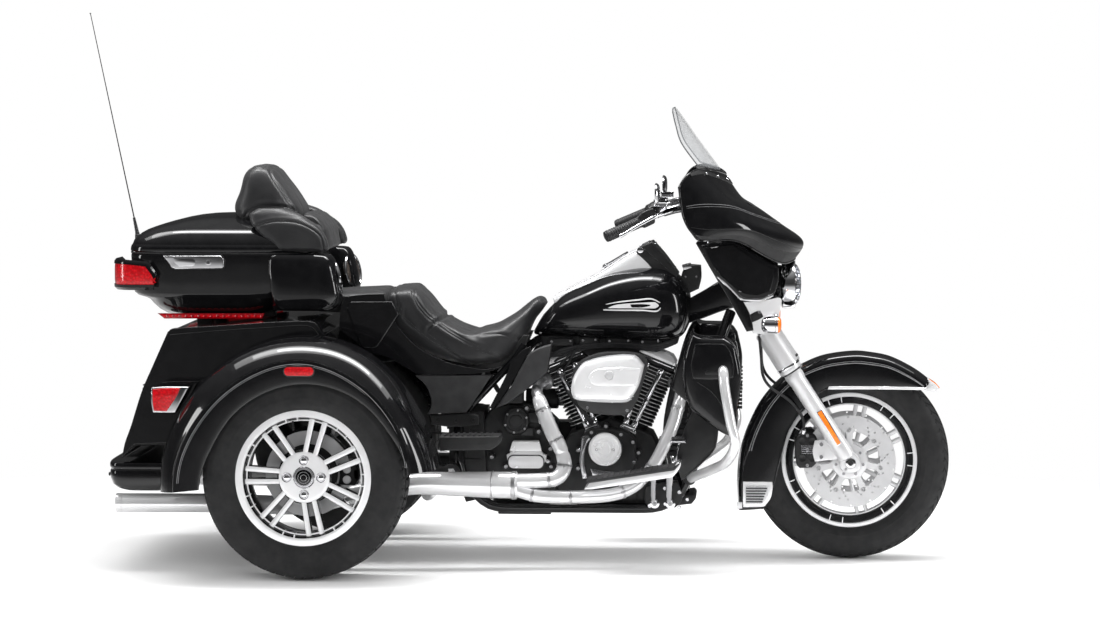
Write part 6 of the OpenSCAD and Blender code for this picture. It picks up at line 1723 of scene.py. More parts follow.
# the left pipe, and its crossover under the gearbox
cross = [(352, -330, 252), (345, -250, 224), (345, -120, 216), (345, 120, 216), (348, 250, 224), (360, 330, 256)]
ep.add(tube(cross, 19.5, 18, 8), M["steel"])
ep.done("chassis", ("exhaust_pipes",), "chrome", angle=35)

mf = Part("mufflers_detail")
rm = [(633, -312, 262), (560, -318, 264), (430, -336, 268), (300, -350, 268), (120, -358, 236), (-40, -362, 202), (-300, -368, 206), (-606, -375, 206)]
lm = [(380, 330, 262), (300, 350, 266), (120, 358, 236), (-40, 362, 202), (-300, 368, 206), (-606, 375, 206)]
mf.add(tube(rm, [42, 42, 38, 34, 31, 30, 30, 30], 40, 8), M["pipe"])
mf.add(tube(lm, [26, 36, 37, 32, 30, 30, 30], 40, 8), M["pipe"])
for s in (-1, 1):
    # rolled slash-free end: a lip and a dark bore
    mf.add(rev([(30, 0), (30.4, 2), (30.4, 16), (29.4, 19.4), (27.4, 20), (26, 18.5), (26, -30), (0, -30)], (-606, s * 375, 206), (-1, 0, 0), 44), M["pipe"])
    mf.add(rev([(25.6, -24), (0, -24.2)], (-606, s * 375, 206), (-1, 0, 0), 40), M["deep"])
    for x, z in ((-60, 203), (-330, 206)):
        mf.add(ring((x, s * 364 if x > -100 else s * 368.5, z), (1, 0, 0), 29.5, 32.2, 12, 40), M["steel"])
mf.add(ring((632, -312, 262), (-1, 0.07, 0), 41.5, 44.5, 14, 48), M["steel"])
mf.add(ring((560, -318, 264), (-1, 0.1, 0), 41.0, 43.4, 5, 48), M["steel"])
mf.done("chassis", ("mufflers",), "chrome", angle=35)

# frame: backbone, down tubes, gussets, cross tube, centre plate
fr_ = Part("main_frame_detail")
ax = lambda z: 1781 - z * math.tan(rad(26))
hn = Vector((-math.sin(rad(26)), 0, math.cos(rad(26))))
fr_.add(cyl((ax(813), 0, 813), (ax(927), 0, 927), 32.5, n=44, b=4), M["gloss"])
fr_.add(extr(pin([(1370, 814, 0), (1332, 922, 0), (1290, 905), (1120, 812), (900, 772), (700, 722), (600, 660), (420, 600, 0), (420, 560, 0), (560, 590), (640, 640), (700, 690), (900, 715), (1130, 745), (1290, 800)], 4), -26, 26, 6, 3), M["gloss"])
for s in (1, -1):
    pth = [(1300, s * 14, 790), (1215, s * 105, 560), (1150, s * 128, 215), (1080, s * 128, 170), (530, s * 128, 170), (440, s * 128, 265), (430, s * 128, 560), (425, s * 20, 580)]
    pts = []
    for i in range(len(pth) - 1):
        a_, b_ = np.array(pth[i], float), np.array(pth[i + 1], float)
        L = np.linalg.norm(b_ - a_)
        m = max(2, int(L / 26))
        pts += [a_ + (b_ - a_) * j / m for j in range(m)]
    pts.append(np.array(pth[-1], float))
    pts = np.array(pts)
    for _ in range(3):
        pts[1:-1] = (pts[:-2] + 2 * pts[1:-1] + pts[2:]) / 4
    fr_.add(tube(pts, 16.6, 20, 0), M["gloss"])
    # slanting tube from the tank down to the swing of the rear frame
    fr_.add(tube([(644, s * 120, 690), (610, s * 126, 640), (540, s * 130, 566), (470, s * 128, 490), (436, s * 128, 442)], 12, 18, 6), M["gloss"])
    fr_.add(extr(pin([(400, 520, 0), (462, 520, 0), (470, 430, 0), (455, 300), (440, 268, 0), (404, 300, 0)], 3), s * 112, s * 120, 2, 2), M["cast"])
    for z in (500, 440, 340):
        fr_.add(bolt((436, s * 120, z), (0, s, 0), 8, 6, 14), M["steel"])
fr_.add(cyl((440, -128, 300), (440, 128, 300), 16.6, n=28), M["gloss"])
fr_.add(box(560, 730, -128, 128, 147.5, 158.5, 3, 2), M["gloss"])
for x in (590, 645, 700):
    fr_.add(rev([(11, 0), (11, -1.2), (8, -2), (0, -2)], (x, 0, 147.6), (0, 0, 1), 20), M["deep"])
    for s in (1, -1):
        fr_.add(bolt((x, s * 108, 158.4), (0, 0, 1), 7, 5, 14), M["steel"])
# covered box over the neck with a bright bracket
fr_.add(extr(pin([(1146, 842, 0), (1198, 866, 0), (1206, 900), (1204, 940, 0), (1156, 944, 0), (1140, 900)], 3), -36, 36, 5, 3), M["plastic"])
fr_.add(extr(pin([(1144, 940, 0), (1170, 946, 0), (1176, 934, 0), (1150, 926, 0)], 2), -40, 40, 2, 2), M["chrome_soft"])
for x in (1156, 1190):
    fr_.add(bolt((x, -36, 905), (0, -1, 0), 4, 3, 14), M["chrome"])
    fr_.add(bolt((x, 36, 905), (0, 1, 0), 4, 3, 14), M["chrome"])
fr_.done("chassis", ("main_frame",), "gloss_black", angle=40)

# rider's and pillion's boards, the brake pedal
fb = Part("footboards_detail")
for s in (1, -1):
    # tray with a rolled edge below, a rubber mat with ribs on top
    tray = pin([(860, 272, 0), (872, 264), (1125, 303, 0), (1146, 330), (1151, 350, 0), (1138, 345), (1127, 331, 0), (868, 288, 0)], 3)
    fb.add(extr(tray, s * 298, s * 424, 3.5, 3), M["pipe"])
    mat_ = pin([(858, 291, 0), (1127, 335, 0), (1150, 352, 0), (1146, 343), (1130, 325, 0), (864, 283, 0)], 2)
    fb.add(extr(mat_, s * 301, s * 425, 2.5, 2), M["grip"])
    u = np.array((269, 0, 44.0)) / np.linalg.norm((269, 44))
    for i in range(15):
        c = np.array((872, 0, 293.5)) + u * (i * 17.2)
        fb.add(xf(box(-2.2, 2.2, -52, 52, -1.4, 2.2, 1.1, 1), Matrix.Translation((c[0], s * 361, c[2])) @ Matrix.Rotation(rad(-9.3), 4, "Y")), M["grip"])
    for x, z in ((1062, 290), (1112, 298)):
        fb.add(tube([(x, s * 158, 192), (x - 4, s * 200, 215), (x - 2, s * 262, 262), (x, s * 305, z)], [9, 9, 10, 12], 18, 6, True, 1), M["chrome"])
        fb.add(cyl((x, s * 150, 190), (x, s * 172, 190), 16, n=28, b=3), M["chrome"])
        fb.add(bolt((x, s * 172, 190), (0, s, 0), 8, 5, 14), M["steel"])
    fb.add(extr(pin([(1030, 245, 0), (1134, 262, 0), (1150, 206), (1128, 176, 0), (1052, 168, 0), (1030, 196)], 4), s * 134, s * 158, 5, 3), M["cast"])
    for x, z in ((1026, 194), (1046, 182), (1096, 188), (1140, 176), (1166, 196), (1140, 226), (1094, 238)):
        fb.add(bolt((x, s * 158, z), (0, s, 0), 7, 5, 14), M["chrome"]) if 1030 < x < 1150 else None
    pb = pin([(398, 424, 0), (584, 426, 0), (586, 412), (582, 400, 0), (560, 384, 0), (400, 380, 0), (396, 400)], 3)
    fb.add(extr(pb, s * 300, s * 413, 4, 3), M["plastic"])
    for i in range(9):
        fb.add(box(412 + i * 18, 417 + i * 18, s * 310, s * 404, 424, 428, 1.2, 1), M["grip"])
    fb.add(tube([(480, s * 150, 392), (480, s * 220, 394), (480, s * 312, 394)], 11, 18, 4), M["satin"])
# pedal: pivot, arm and a ribbed pad, right; a heel-and-toe lever in the same place on the left
for s in (-1, 1):
    fb.add(cyl((1128, s * 158, 330), (1128, s * 196, 330), 12, n=28, b=2), M["chrome"])
    fb.add(tube([(1128, s * 188, 330), (1136, s * 215, 352), (1142, s * 262, 388), (1140, s * 300, 405)], [8, 7, 6.5, 7], 16, 6, True, 1), M["chrome"])
    fb.add(box(1118, 1164, s * 290, s * 360, 404, 411, 3, 3), M["chrome"])
    fb.add(box(1121, 1161, s * 293, s * 357, 411, 416, 2, 2), M["grip"])
    for i in range(5):
        fb.add(box(1125 + i * 8, 1128 + i * 8, s * 296, s * 354, 415.4, 417.4, 0.8, 1), M["grip"])
fb.done("chassis", ("floorboards",), "chrome", angle=35)
# ------------------------------------------------------------------ fork, clamps, bar, controls
leg_x = lambda z: 1683 - (z - 319.5) * math.tan(rad(33))
ld = np.array((-math.tan(rad(33)), 0, 1.0)); ld /= np.linalg.norm(ld)
def lp(z, y):
    return np.array((leg_x(z), y, z))
def zlen(z):
    return z / ld[2]
fo = Part("fork_detail")
for s in (1, -1):
    # cast lower leg: foot and collar
    fo.add(rev([(0, 0), (20, 0), (26, 3), (28, 10), (29, 40), (28, 90), (27.5, zlen(262) - 20), (30, zlen(262) - 12), (30.6, zlen(262)), (29, zlen(274)), (25, zlen(278)), (0, zlen(278))], lp(334, s * 122), ld, 48), M["silver"])
    foot = pin([(1652, 300), (1676, 288), (1706, 294), (1716, 318), (1702, 346), (1672, 358), (1650, 336)], 8)
    fn = len(foot)
    fa = np.arctan2(foot[:, 1] - 319.5, foot[:, 0] - 1683)
    def foot_row(k, y, r=None):
        if r is None:
            return [(1683 + (x - 1683) * k, s * y, 319.5 + (z - 319.5) * k) for x, z in foot]
        return [(1683 + r * cos(q), s * y, 319.5 + r * sin(q)) for q in fa]
    fo.add(surface([foot_row(0.93, 102), foot_row(1, 107), foot_row(1, 133), foot_row(0.94, 138), foot_row(0.8, 140), foot_row(1, 140, 17), foot_row(1, 136, 15), foot_row(1, 136, 8.4), foot_row(1, 102, 8.4)], True, True), M["silver"])
    fo.add(rev([(8.3, 0), (14, 0), (15.4, 2), (15.4, 6), (11, 8), (8.3, 8)], (1683, s * 134, 319.5), (0, s, 0), 32, True), M["chrome"])
    fo.add(bolt((1668, s * 140, 300), (0, s, 0), 5, 4), M["steel"])
    # rubber dust ring, chrome collar, black cover above
    fo.add(rev([(27, 0), (31, 1), (32, 5), (31, 10), (27, 11)], lp(606, s * 122), ld, 44, False), M["grip"])
    fo.add(rev([(30, 0), (34, 1), (37, 5), (37.4, 10), (36.6, zlen(60)), (36.4, zlen(125)), (33, zlen(128)), (24, zlen(129))], lp(610, s * 122), ld, 48), M["silver"])
    fo.add(rev([(37.4, 0), (38.4, 1.5), (38.4, 7), (37.4, 8.5)], lp(622, s * 122), ld, 48), M["chrome"])
    fo.add(rev([(23, 0), (24, 1), (24, zlen(225)), (20, zlen(228)), (0, zlen(228))], lp(732, s * 122), ld, 36), M["gloss"])
    # amber reflector on the outside of the leg; the amber lens material's emission makes it glow, a painted glow on a
    # part that is no lamp
    o = [(1569, 487), (1588, 494), (1660, 378), (1641, 371)]
    fo.add(extr([(1574, 482), (1590, 491), (1655, 384), (1640, 375)], s * 149, s * 153, 1.5, 2), M["chrome_soft"])
    fo.add(extr([(1577, 481), (1589, 488), (1651, 385), (1640, 378)], s * 152, s * 155, 1.2, 2), M["amber"])
# hollow axle with turned ends
fo.add(rev([(8, -128), (8, 128), (12.9, 128), (12.9, -128)], (1683, 0, 319.5), (0, 1, 0), 36, True), M["chrome"])
fo.done("steering", ("fork",), "silver", angle=35)


fc = Part("fork_clamps_detail")
HM = Matrix.Translation((1781, 0, 0)) @ Matrix.Rotation(rad(-26), 4, "Y")
def yoke(pts, z0, z1):
    half = [p for p in pts]
    out = [(x, y, 0) if sh else (x, y) for x, y, sh in half] + [(x, -y, 0) if sh else (x, -y) for x, y, sh in half[::-1]]
    return extr(pin(out, 3), z0, z1, 4, 3, "z")
low = [(36, 30, 1), (30, 80, 0), (24, 120, 0), (20, 156, 1), (-14, 160, 0), (-50, 156, 1), (-56, 100, 0), (-58, 36, 1)]
upp = [(36, 30, 1), (22, 80, 0), (10, 120, 0), (2, 154, 1), (-36, 158, 0), (-74, 154, 1), (-78, 100, 0), (-80, 36, 1)]
fc.add(xf(yoke(low, 868.5, 897.5), HM), M["cast"])
fc.add(xf(yoke(upp, 1038.5, 1061.5), HM), M["gloss"])
fc.add(xf(rev([(0, 0), (17.8, 0), (17.8, 194), (15, 196), (0, 196)], (0, 0, 866), (0, 0, 1), 36), HM), M["steel"])
fc.add(xf(rev([(24, 0), (24, 5), (20, 8), (15, 9), (0, 9)], (0, 0, 1061), (0, 0, 1), 6), HM), M["chrome"])
for s in (1, -1):
    for z0, zz in ((866, 20), (1036, 24)):
        zc = (z0 + zz / 2) * cos(rad(26))
        c = lp(zc, s * 122)
        fc.add(rev([(25, -18), (33, -16), (34, -10), (34, 10), (33, 16), (25, 18)], c, ld, 36, True), M["cast"])
    fc.add(rev([(0, 0), (15, 0), (15, 50), (13, 58), (0, 58)], (1254, s * 45, 966), (-22, 0, 58), 28), M["chrome"])
    fc.add(cyl((1254, s * 45, 966), (1252, s * 45, 971), 19, n=30, b=2), M["steel"])
fc.add(box(1212, 1252, -62, 62, 1026, 1034, 4, 2), M["chrome_soft"])
for s in (1, -1):
    for y in (34, 56):
        fc.add(bolt((1222, s * y, 1034), (-0.2, 0, 1), 5, 5, 14), M["chrome"])
fc.done("steering", ("fork_clamps",), "cast_black", angle=35)

bar_p = [(1228, 0, 1040), (1228, 90, 1041), (1222, 150, 1060), (1205, 215, 1118), (1170, 280, 1140), (1110, 340, 1130), (1052, 374, 1110), (1012, 392, 1092), (925, 430, 1053)]
hb = Part("handlebar_detail")
full = [(x, -y, z) for x, y, z in bar_p[::-1]] + bar_p[1:]
hb.add(tube(full, 12.8, 24, 8), M["chrome"])
for s in (1, -1):
    # cables tied to the bar
    hb.add(tube([(1212, s * 60, 1028), (1208, s * 150, 1046), (1188, s * 214, 1102), (1152, s * 276, 1124), (1096, s * 336, 1114)], 4.2, 12, 8), M["grip"])
hb.done("steering", ("handlebar",), "chrome", angle=40)

hc = Part("hand_controls_detail")
for s in (1, -1):
    a_, b_ = np.array((920, s * 432, 1051.0)), np.array((1026, s * 387, 1097.0))
    d_ = (b_ - a_) / np.linalg.norm(b_ - a_)
    L = np.linalg.norm(b_ - a_)
    prof = [(13.4, 0), (16, 0.8), (18, 3), (18.2, 8)]
    z = 12
    while z < L - 10:
        prof += [(16.8, z), (16.8, z + 1.6), (17.9, z + 2.6), (17.9, z + 6)]
        z += 8
    prof += [(18.4, L - 6), (19.6, L - 4), (19.6, L - 0.5), (13.4, L)]
    hc.add(rev(prof, a_, d_, 44, True), M["grip"])
    hc.add(rev([(0, 0), (13, 0), (16.5, 1.5), (17.4, 4.5), (16.4, 6), (13.2, 6)], a_ - d_ * 5, d_, 40), M["grip"])
    # switch housing in two halves, with buttons
    p, q = np.array((1024, s * 386, 1096.0)), np.array((1058, s * 371, 1112.0))
    e_ = (q - p) / np.linalg.norm(q - p)
    hc.add(rev([(13.6, 0), (22, 0.6), (23.4, 3), (23.8, 16), (23.0, 17), (23.0, 18), (23.8, 19), (23.6, 35), (22, 38), (13.6, 38.4)], p, e_, 44, True), M["satin"])
    for k, (u, w_) in enumerate(((8, -1), (18, -1), (28, -1))):
        c = p + e_ * u + np.array((-9, -s * 14, -6)) * 1.0
        hc.add(rev([(5.4, 0), (5.4, 6), (4.6, 7.6), (0, 8)], c + np.array((-3, -s * 5, -2)), (-0.5, -s * 0.8, -0.25), 18), M["grip"] if k != 1 else M["pin"])
    hc.add(box(1040, 1060, s * 356, s * 372, 1090, 1104, 3, 2), M["satin"])
    # switch cluster box below and behind the housing
    hc.add(extr(pin([(1018, 1076, 0), (1058, 1092, 0), (1072, 1120), (1062, 1138, 0), (1030, 1126), (1012, 1104, 0)], 4), s * 376, s * 406, 5, 3), M["satin"])
    for k in range(3):
        hc.add(bolt((1028 + k * 13, s * 406, 1094 + k * 7), (0, s, 0), 4, 3, 14), M["grip"])
    # reservoir with its lid and screws
    hc.add(box(1066, 1106, s * 355, s * 404, 1143, 1157, 3, 3), M["chrome_soft"])
    hc.add(box(1064.5, 1107.5, s * 353.5, s * 405.5, 1157, 1162, 1.8, 2), M["gloss"])
    for x in (1071, 1101):
        hc.add(bolt((x, s * 379, 1161.6), (0, 0, 1), 3.4, 2), M["chrome"])
    hc.add(tube([(1052, s * 374, 1132), (1066, s * 374, 1139), (1086, s * 376, 1146)], [9, 8.5, 8.5], 18, 5), M["satin"])
    # lever with its pivot and ball end
    hc.add(tube([(1074, s * 398, 1114), (1052, s * 416, 1104), (1012, s * 440, 1082), (982, s * 454, 1064), (964, s * 459, 1054)], [7, 6, 5.2, 5, 6.2], 18, 8, True, 1), M["chrome"])
    hc.add(cyl((1071, s * 398, 1106), (1071, s * 398, 1122), 8, n=24, b=2), M["chrome"])
    hc.add(tube([(1060, s * 386, 1118), (1074, s * 396, 1120), (1078, s * 398, 1136), (1078, s * 396, 1146)], 6, 14, 6), M["satin"])
    # mirror: stalk, shell, glass
    hc.add(tube([(1077, s * 388, 1160), (1076, s * 396, 1168), (1077, s * 414, 1180), (1080, s * 426, 1184)], 5, 16, 8), M["chrome"])
    ml = pin([(376, 1166), (398, 1154), (440, 1150), (478, 1154), (489, 1172), (488, 1196), (470, 1213), (424, 1216), (388, 1211), (374, 1192)], 6)
    c0 = ml.mean(0)
    rows = []
    for sc_, x in ((0.0, 1084.6), (0.35, 1084.3), (0.62, 1083.2), (0.82, 1081), (0.94, 1077.6), (0.995, 1073.4), (1.0, 1071.6), (0.985, 1070.2), (0.955, 1070.2)):
        if sc_ == 0.0:
            continue
        rows.append([(x, s * (c0[0] + (y - c0[0]) * sc_), c0[1] + (z_ - c0[1]) * sc_) for y, z_ in ml])
    hc.add(loft(rows), M["chrome"])
    hc.add(extr([(s * (c0[0] + (y - c0[0]) * 0.94), c0[1] + (z_ - c0[1]) * 0.94) for y, z_ in ml], 1069.4, 1071.4, 0.4, 1, "x"), M["mirror"])
hc.done("steering", ("hand_controls",), "satin_black", angle=35)

# ------------------------------------------------------------------ fairing, dash, screen
fair = [[(1284, 1233), (1338, 1153), (1395, 1120), (1468, 1068), (1536, 1017), (1509, 965)],
    [(1268, 1243), (1322, 1165), (1375, 1128), (1440, 1078), (1498, 1030), (1466, 952)],
    [(1240, 1252), (1290, 1180), (1338, 1140), (1385, 1095), (1425, 1050), (1402, 985)],
    [(1205, 1256), (1250, 1200), (1290, 1155), (1325, 1110), (1345, 1070), (1318, 1036)],
    [(1165, 1240), (1190, 1195), (1212, 1152), (1228, 1110), (1236, 1068), (1222, 1034)],
    [(1142, 1202), (1146, 1170), (1150, 1140), (1156, 1110), (1172, 1076), (1200, 1044)]]
fys = [0, 140, 230, 310, 375, 402]
ctrl = [[(x, -y, z) for x, z in r] for r, y in zip(fair[::-1], fys[::-1])][:-1] + [[(x, y, z) for x, z in r] for r, y in zip(fair, fys)]
G = smooth_grid(ctrl, 10, 10)
def smooth2(g, it=6, keep_edges=True):
    g = g.copy()
    for _ in range(it):
        h = g.copy()
        h[1:-1, 1:-1] = (g[:-2, 1:-1] + g[2:, 1:-1] + g[1:-1, :-2] + g[1:-1, 2:]) / 8 + g[1:-1, 1:-1] / 2
        h[1:-1, 0] = (g[:-2, 0] + 2 * g[1:-1, 0] + g[2:, 0]) / 4
        h[1:-1, -1] = (g[:-2, -1] + 2 * g[1:-1, -1] + g[2:, -1]) / 4
        g = h
    return g
G = smooth2(G, 14)
ff = Part("front_fairing_detail")
sh = shell(G, 6.0)
cut_ = int(G.shape[1] * 0.90)
def under(q):
    return all((i % (G.shape[0] * G.shape[1])) % G.shape[1] >= cut_ for i in q)
ff.add((sh[0], [q for q in sh[1] if not under(q)]), M["gloss"])
ff.add((sh[0], [q for q in sh[1] if under(q)]), M["plastic"])
# rolled edge all the way round
edge = np.concatenate([G[:, 0], G[-1, 1:], G[-2::-1, -1], G[0, -2:0:-1]])
ff.add(tube(np.vstack([edge, edge[:1]]), 3.4, 8, 0, False), M["gloss"])
def on_g(u, v):
    m, n = G.shape[:2]
    fu, fv = u * (m - 1), v * (n - 1)
    i, j = min(int(fu), m - 2), min(int(fv), n - 2)
    a_, b_ = fu - i, fv - j
    return (G[i, j] * (1 - a_) * (1 - b_) + G[i + 1, j] * a_ * (1 - b_) + G[i, j + 1] * (1 - a_) * b_ + G[i + 1, j + 1] * a_ * b_)
du, dv = np.gradient(G, axis=0), np.gradient(G, axis=1)
GN = np.cross(du, dv)
GN /= np.maximum(np.linalg.norm(GN, axis=2, keepdims=True), 1e-9)
mid_ = GN[GN.shape[0] // 2, GN.shape[1] // 2]
if mid_[0] < 0:
    GN = -GN
def line_on(uv, w, lift, material, n=40):
    c = crv(uv, 10)
    rows = []
    for i in range(len(c)):
        t_ = c[min(i + 1, len(c) - 1)] - c[max(i - 1, 0)]
        p = on_g(*c[i])
        q = on_g(*(np.clip(c[i] + t_ * 0.5, 0, 1))) - on_g(*(np.clip(c[i] - t_ * 0.5, 0, 1)))
        q /= max(np.linalg.norm(q), 1e-9)
        m, n_ = G.shape[:2]
        nn_ = GN[min(int(c[i][0] * (m - 1)), m - 1), min(int(c[i][1] * (n_ - 1)), n_ - 1)]
        sd = np.cross(q, nn_)
        rows.append([p - sd * w / 2 - nn_ * 0.4, p - sd * w * 0.4 + nn_ * lift, p + sd * w * 0.4 + nn_ * lift, p + sd * w / 2 - nn_ * 0.4])
    ff.add(surface(rows), material)
# bezel under the screen with small screws, a seam along the brow, two fine stripes
line_on([(0.12, 0.02), (0.3, 0.06), (0.5, 0.075), (0.7, 0.06), (0.88, 0.02)], 15, 2.4, M["satin"])
for u in (0.22, 0.32, 0.42, 0.58, 0.68, 0.78):
    v_ = 0.055 + 0.012 * (1 - abs(u - 0.5) * 2)
    m, n_ = G.shape[:2]
    nn_ = GN[int(u * (m - 1)), int(v_ * (n_ - 1))]
    ff.add(bolt(on_g(u, v_) + nn_ * 2.2, nn_, 4.2, 2.4, 14), M["chrome"])
line_on([(0.02, 0.78), (0.2, 0.80), (0.34, 0.84), (0.5, 0.87), (0.66, 0.84), (0.8, 0.80), (0.98, 0.78)], 2.0, 0.7, M["satin"])
line_on([(0.03, 0.40), (0.12, 0.42), (0.24, 0.47), (0.36, 0.52), (0.5, 0.55), (0.64, 0.52), (0.76, 0.47), (0.88, 0.42), (0.97, 0.40)], 1.6, 0.6, M["pin"])
line_on([(0.03, 0.435), (0.12, 0.455), (0.24, 0.50), (0.36, 0.55), (0.5, 0.58), (0.64, 0.55), (0.76, 0.50), (0.88, 0.455), (0.97, 0.435)], 1.0, 0.6, M["pin"])
# air vent in the middle of the brow: a slot with a flap
line_on([(0.44, 0.30), (0.47, 0.315), (0.5, 0.32), (0.53, 0.315), (0.56, 0.30)], 24, 1.4, M["plastic"])
for s in (1, -1):
    # nacelle sides: a black skin, a bright plate along the bottom, a plate seam
    nac = pin([(1208, 1012, 0), (1228, 958), (1252, 919, 0), (1286, 882), (1323, 850, 0), (1360, 842), (1396, 842, 0), (1440, 861, 0), (1452, 905), (1452, 940, 0), (1380, 985), (1300, 1030, 0)], 4)
    ff.add(extr(nac, s * 160, s * 170, 3.5, 3), M["gloss"])
    ch = pin([(1256, 912, 0), (1278, 890), (1296, 876), (1324, 846), (1338, 838), (1396, 836), (1436, 852, 0), (1434, 861, 0), (1396, 847), (1342, 848), (1310, 880), (1268, 918, 0)], 4)
    ff.add(extr(ch, s * 166, s * 173, 1.6, 2), M["chrome"])
    ff.add(loft([[(x, s * (172 - (0 if k else 2)), z) for x, z in inset_ring2] for k, inset_ring2 in enumerate([[(x, z) for x, _, z in inset_ring(nac, 16, 0)], [(x, z) for x, _, z in inset_ring(nac, 18, 0)], [(x, z) for x, _, z in inset_ring(nac, 60, 0)]])]), M["gloss"])
    # inner side of the nacelle up to the fairing
    ff.add(tube([(1238, s * 160, 1016), (1300, s * 158, 1036), (1380, s * 150, 1004), (1444, s * 146, 958)], 6, 12, 6), M["satin"])
for s in (1, -1):
    # bright lower nacelle plate above the lamp bar, and the long black strip beside the upper fork
    npl = pin([(1258, 908, 0), (1284, 886), (1304, 862), (1336, 832, 0), (1396, 836), (1450, 846, 0), (1462, 838), (1456, 800), (1452, 742, 0), (1413, 730), (1372, 734, 0), (1340, 782), (1300, 840)], 4)
    ff.add(extr(npl, s * 134, s * 158, 7, 4), M["cover"])
    for x, z in ((1392, 800), (1410, 762)):
        ff.add(bolt((x, s * 158, z), (0, s, 0), 6, 4, 14), M["chrome"])
    st = pin([(1200, 1030, 0), (1222, 1030, 0), (1262, 960), (1310, 880), (1360, 800), (1374, 742, 0), (1352, 738, 0), (1318, 800), (1244, 925), (1190, 1018, 0)], 4)
    ff.add(extr(st, s * 150, s * 162, 4, 3), M["gloss"])
ff.done("steering", ("front_fairing",), "gloss_black", angle=45)

dp = Part("dash_panel_detail")
bpy.context.view_layer.update()
def cad_prim(node):
    ob = bpy.data.objects[node]
    w = ob.matrix_world
    v = np.array([w @ q.co for q in ob.data.vertices], float) * 1000
    v[:, 0] -= XO
    return (v, [tuple(p.vertices) for p in ob.data.polygons])
dctrl = [[(1178, 340, 1222), (1162, 340, 1170), (1168, 340, 1110), (1192, 340, 1066)], [(1212, 190, 1238), (1195, 190, 1170), (1200, 190, 1110), (1224, 190, 1060)], [(1222, 0, 1236), (1206, 0, 1170), (1212, 0, 1110), (1238, 0, 1062)]]
dctrl = [[(x, -y, z) for x, y, z in r] for r in dctrl] + [r for r in dctrl[::-1]][1:]
D = smooth2(smooth_grid(dctrl, 14, 14), 4)
dprim = shell(D, 3.0)
def hole_filter(prim):
    bp = crv(bar_p, 8)
    v = A(prim[0])
    cen = np.array([v[list(f)].mean(0) for f in prim[1]])
    c2 = cen.copy()
    c2[:, 1] = np.abs(c2[:, 1])
    dmin = np.min(np.linalg.norm(c2[:, None, :] - bp[None], axis=2), axis=1)
    return (v, [f for f, d in zip(prim[1], dmin) if d > 23])
dp.add(hole_filter(dprim), M["plastic"])
# dials, blank faces with bezels, and the screen between them
def on_dash(y, z):
    d = (D[:, :, 1] - y) ** 2 + (D[:, :, 2] - z) ** 2
    i = np.unravel_index(np.argmin(d), d.shape)
    return D[i]
for y, z, r in ((-70, 1190, 38), (70, 1190, 38), (-150, 1196, 24), (150, 1196, 24)):
    c = on_dash(y, z) + np.array((-2, 0, 0))
    nrm = (-1, y / 900, 0.15)
    dp.add(rev([(r + 4, 0), (r + 5, 3), (r + 3.5, 7), (r, 8), (r - 1.5, 5), (r - 2, 3), (0, 3)], c, nrm, 48), M["chrome"])
    dp.add(rev([(r - 2, 3.2), (0, 3.6)], c, nrm, 40), M["deep"])
    for k in range(11):
        t_ = rad(-40 + k * 26)
        q = Vector(nrm).normalized()
        u_ = Vector((0, 1, 0)).cross(q).normalized()
        w_ = q.cross(u_)
        p0 = Vector(c) + q * 4 + (u_ * sin(t_) + w_ * cos(t_)) * (r * 0.74)
        p1 = Vector(c) + q * 4 + (u_ * sin(t_) + w_ * cos(t_)) * (r * 0.88)
        dp.add(tube([p0, (p0 + p1) / 2, p1], 0.8, 6, 1), M["badge"])
c = on_dash(0, 1120)
dp.add(box(c[0] - 10, c[0] + 2, -66, 66, 1092, 1150, 4, 3), M["satin"])
dp.add(box(c[0] - 11.5, c[0] - 8, -58, 58, 1098, 1144, 1.5, 2), M["deep"])
for s in (1, -1):
    c = on_dash(s * 255, 1180) + np.array((-4, 0, 0))
    dp.add(rev([(44, 0), (46, 3), (44, 7), (38, 8), (37, 5), (0, 9)], c, (-1, s * 0.15, 0.1), 44), M["satin"])
    for r in (10, 18, 26, 34):
        dp.add(ring(c + np.array((-6, 0, 0.6)), (-1, s * 0.15, 0.1), r, r + 2, 2.4, 36, 0.5), M["plastic"])
dp.done("steering", ("dash_panel",), "black_plastic", angle=40)

ws = Part("windshield_detail")
wctrl = [[(1119, 0, 1445), (1154, 0, 1397), (1189, 0, 1347), (1264, 0, 1247)], [(1116, 130, 1443), (1148, 130, 1397), (1178, 130, 1347), (1246, 130, 1254)], [(1118, 222, 1432), (1128, 222, 1390), (1146, 222, 1335), (1196, 222, 1266)]]
wc = [[(x, -y, z) for x, y, z in r] for r in wctrl[::-1]] + wctrl[1:]
W = smooth_grid(wc, 14, 10)
W = smooth2(W, 5)
ws.add(shell(W, -3.6), M["screen"])
wedge = np.concatenate([W[:, 0], W[-1, 1:], W[-2::-1, -1], W[0, -2:0:-1]])
ws.add(tube(np.vstack([wedge, wedge[:1]]), 2.0, 8, 0, False), M["edge"])
ws.done("steering", ("windshield",), "clear", angle=50)

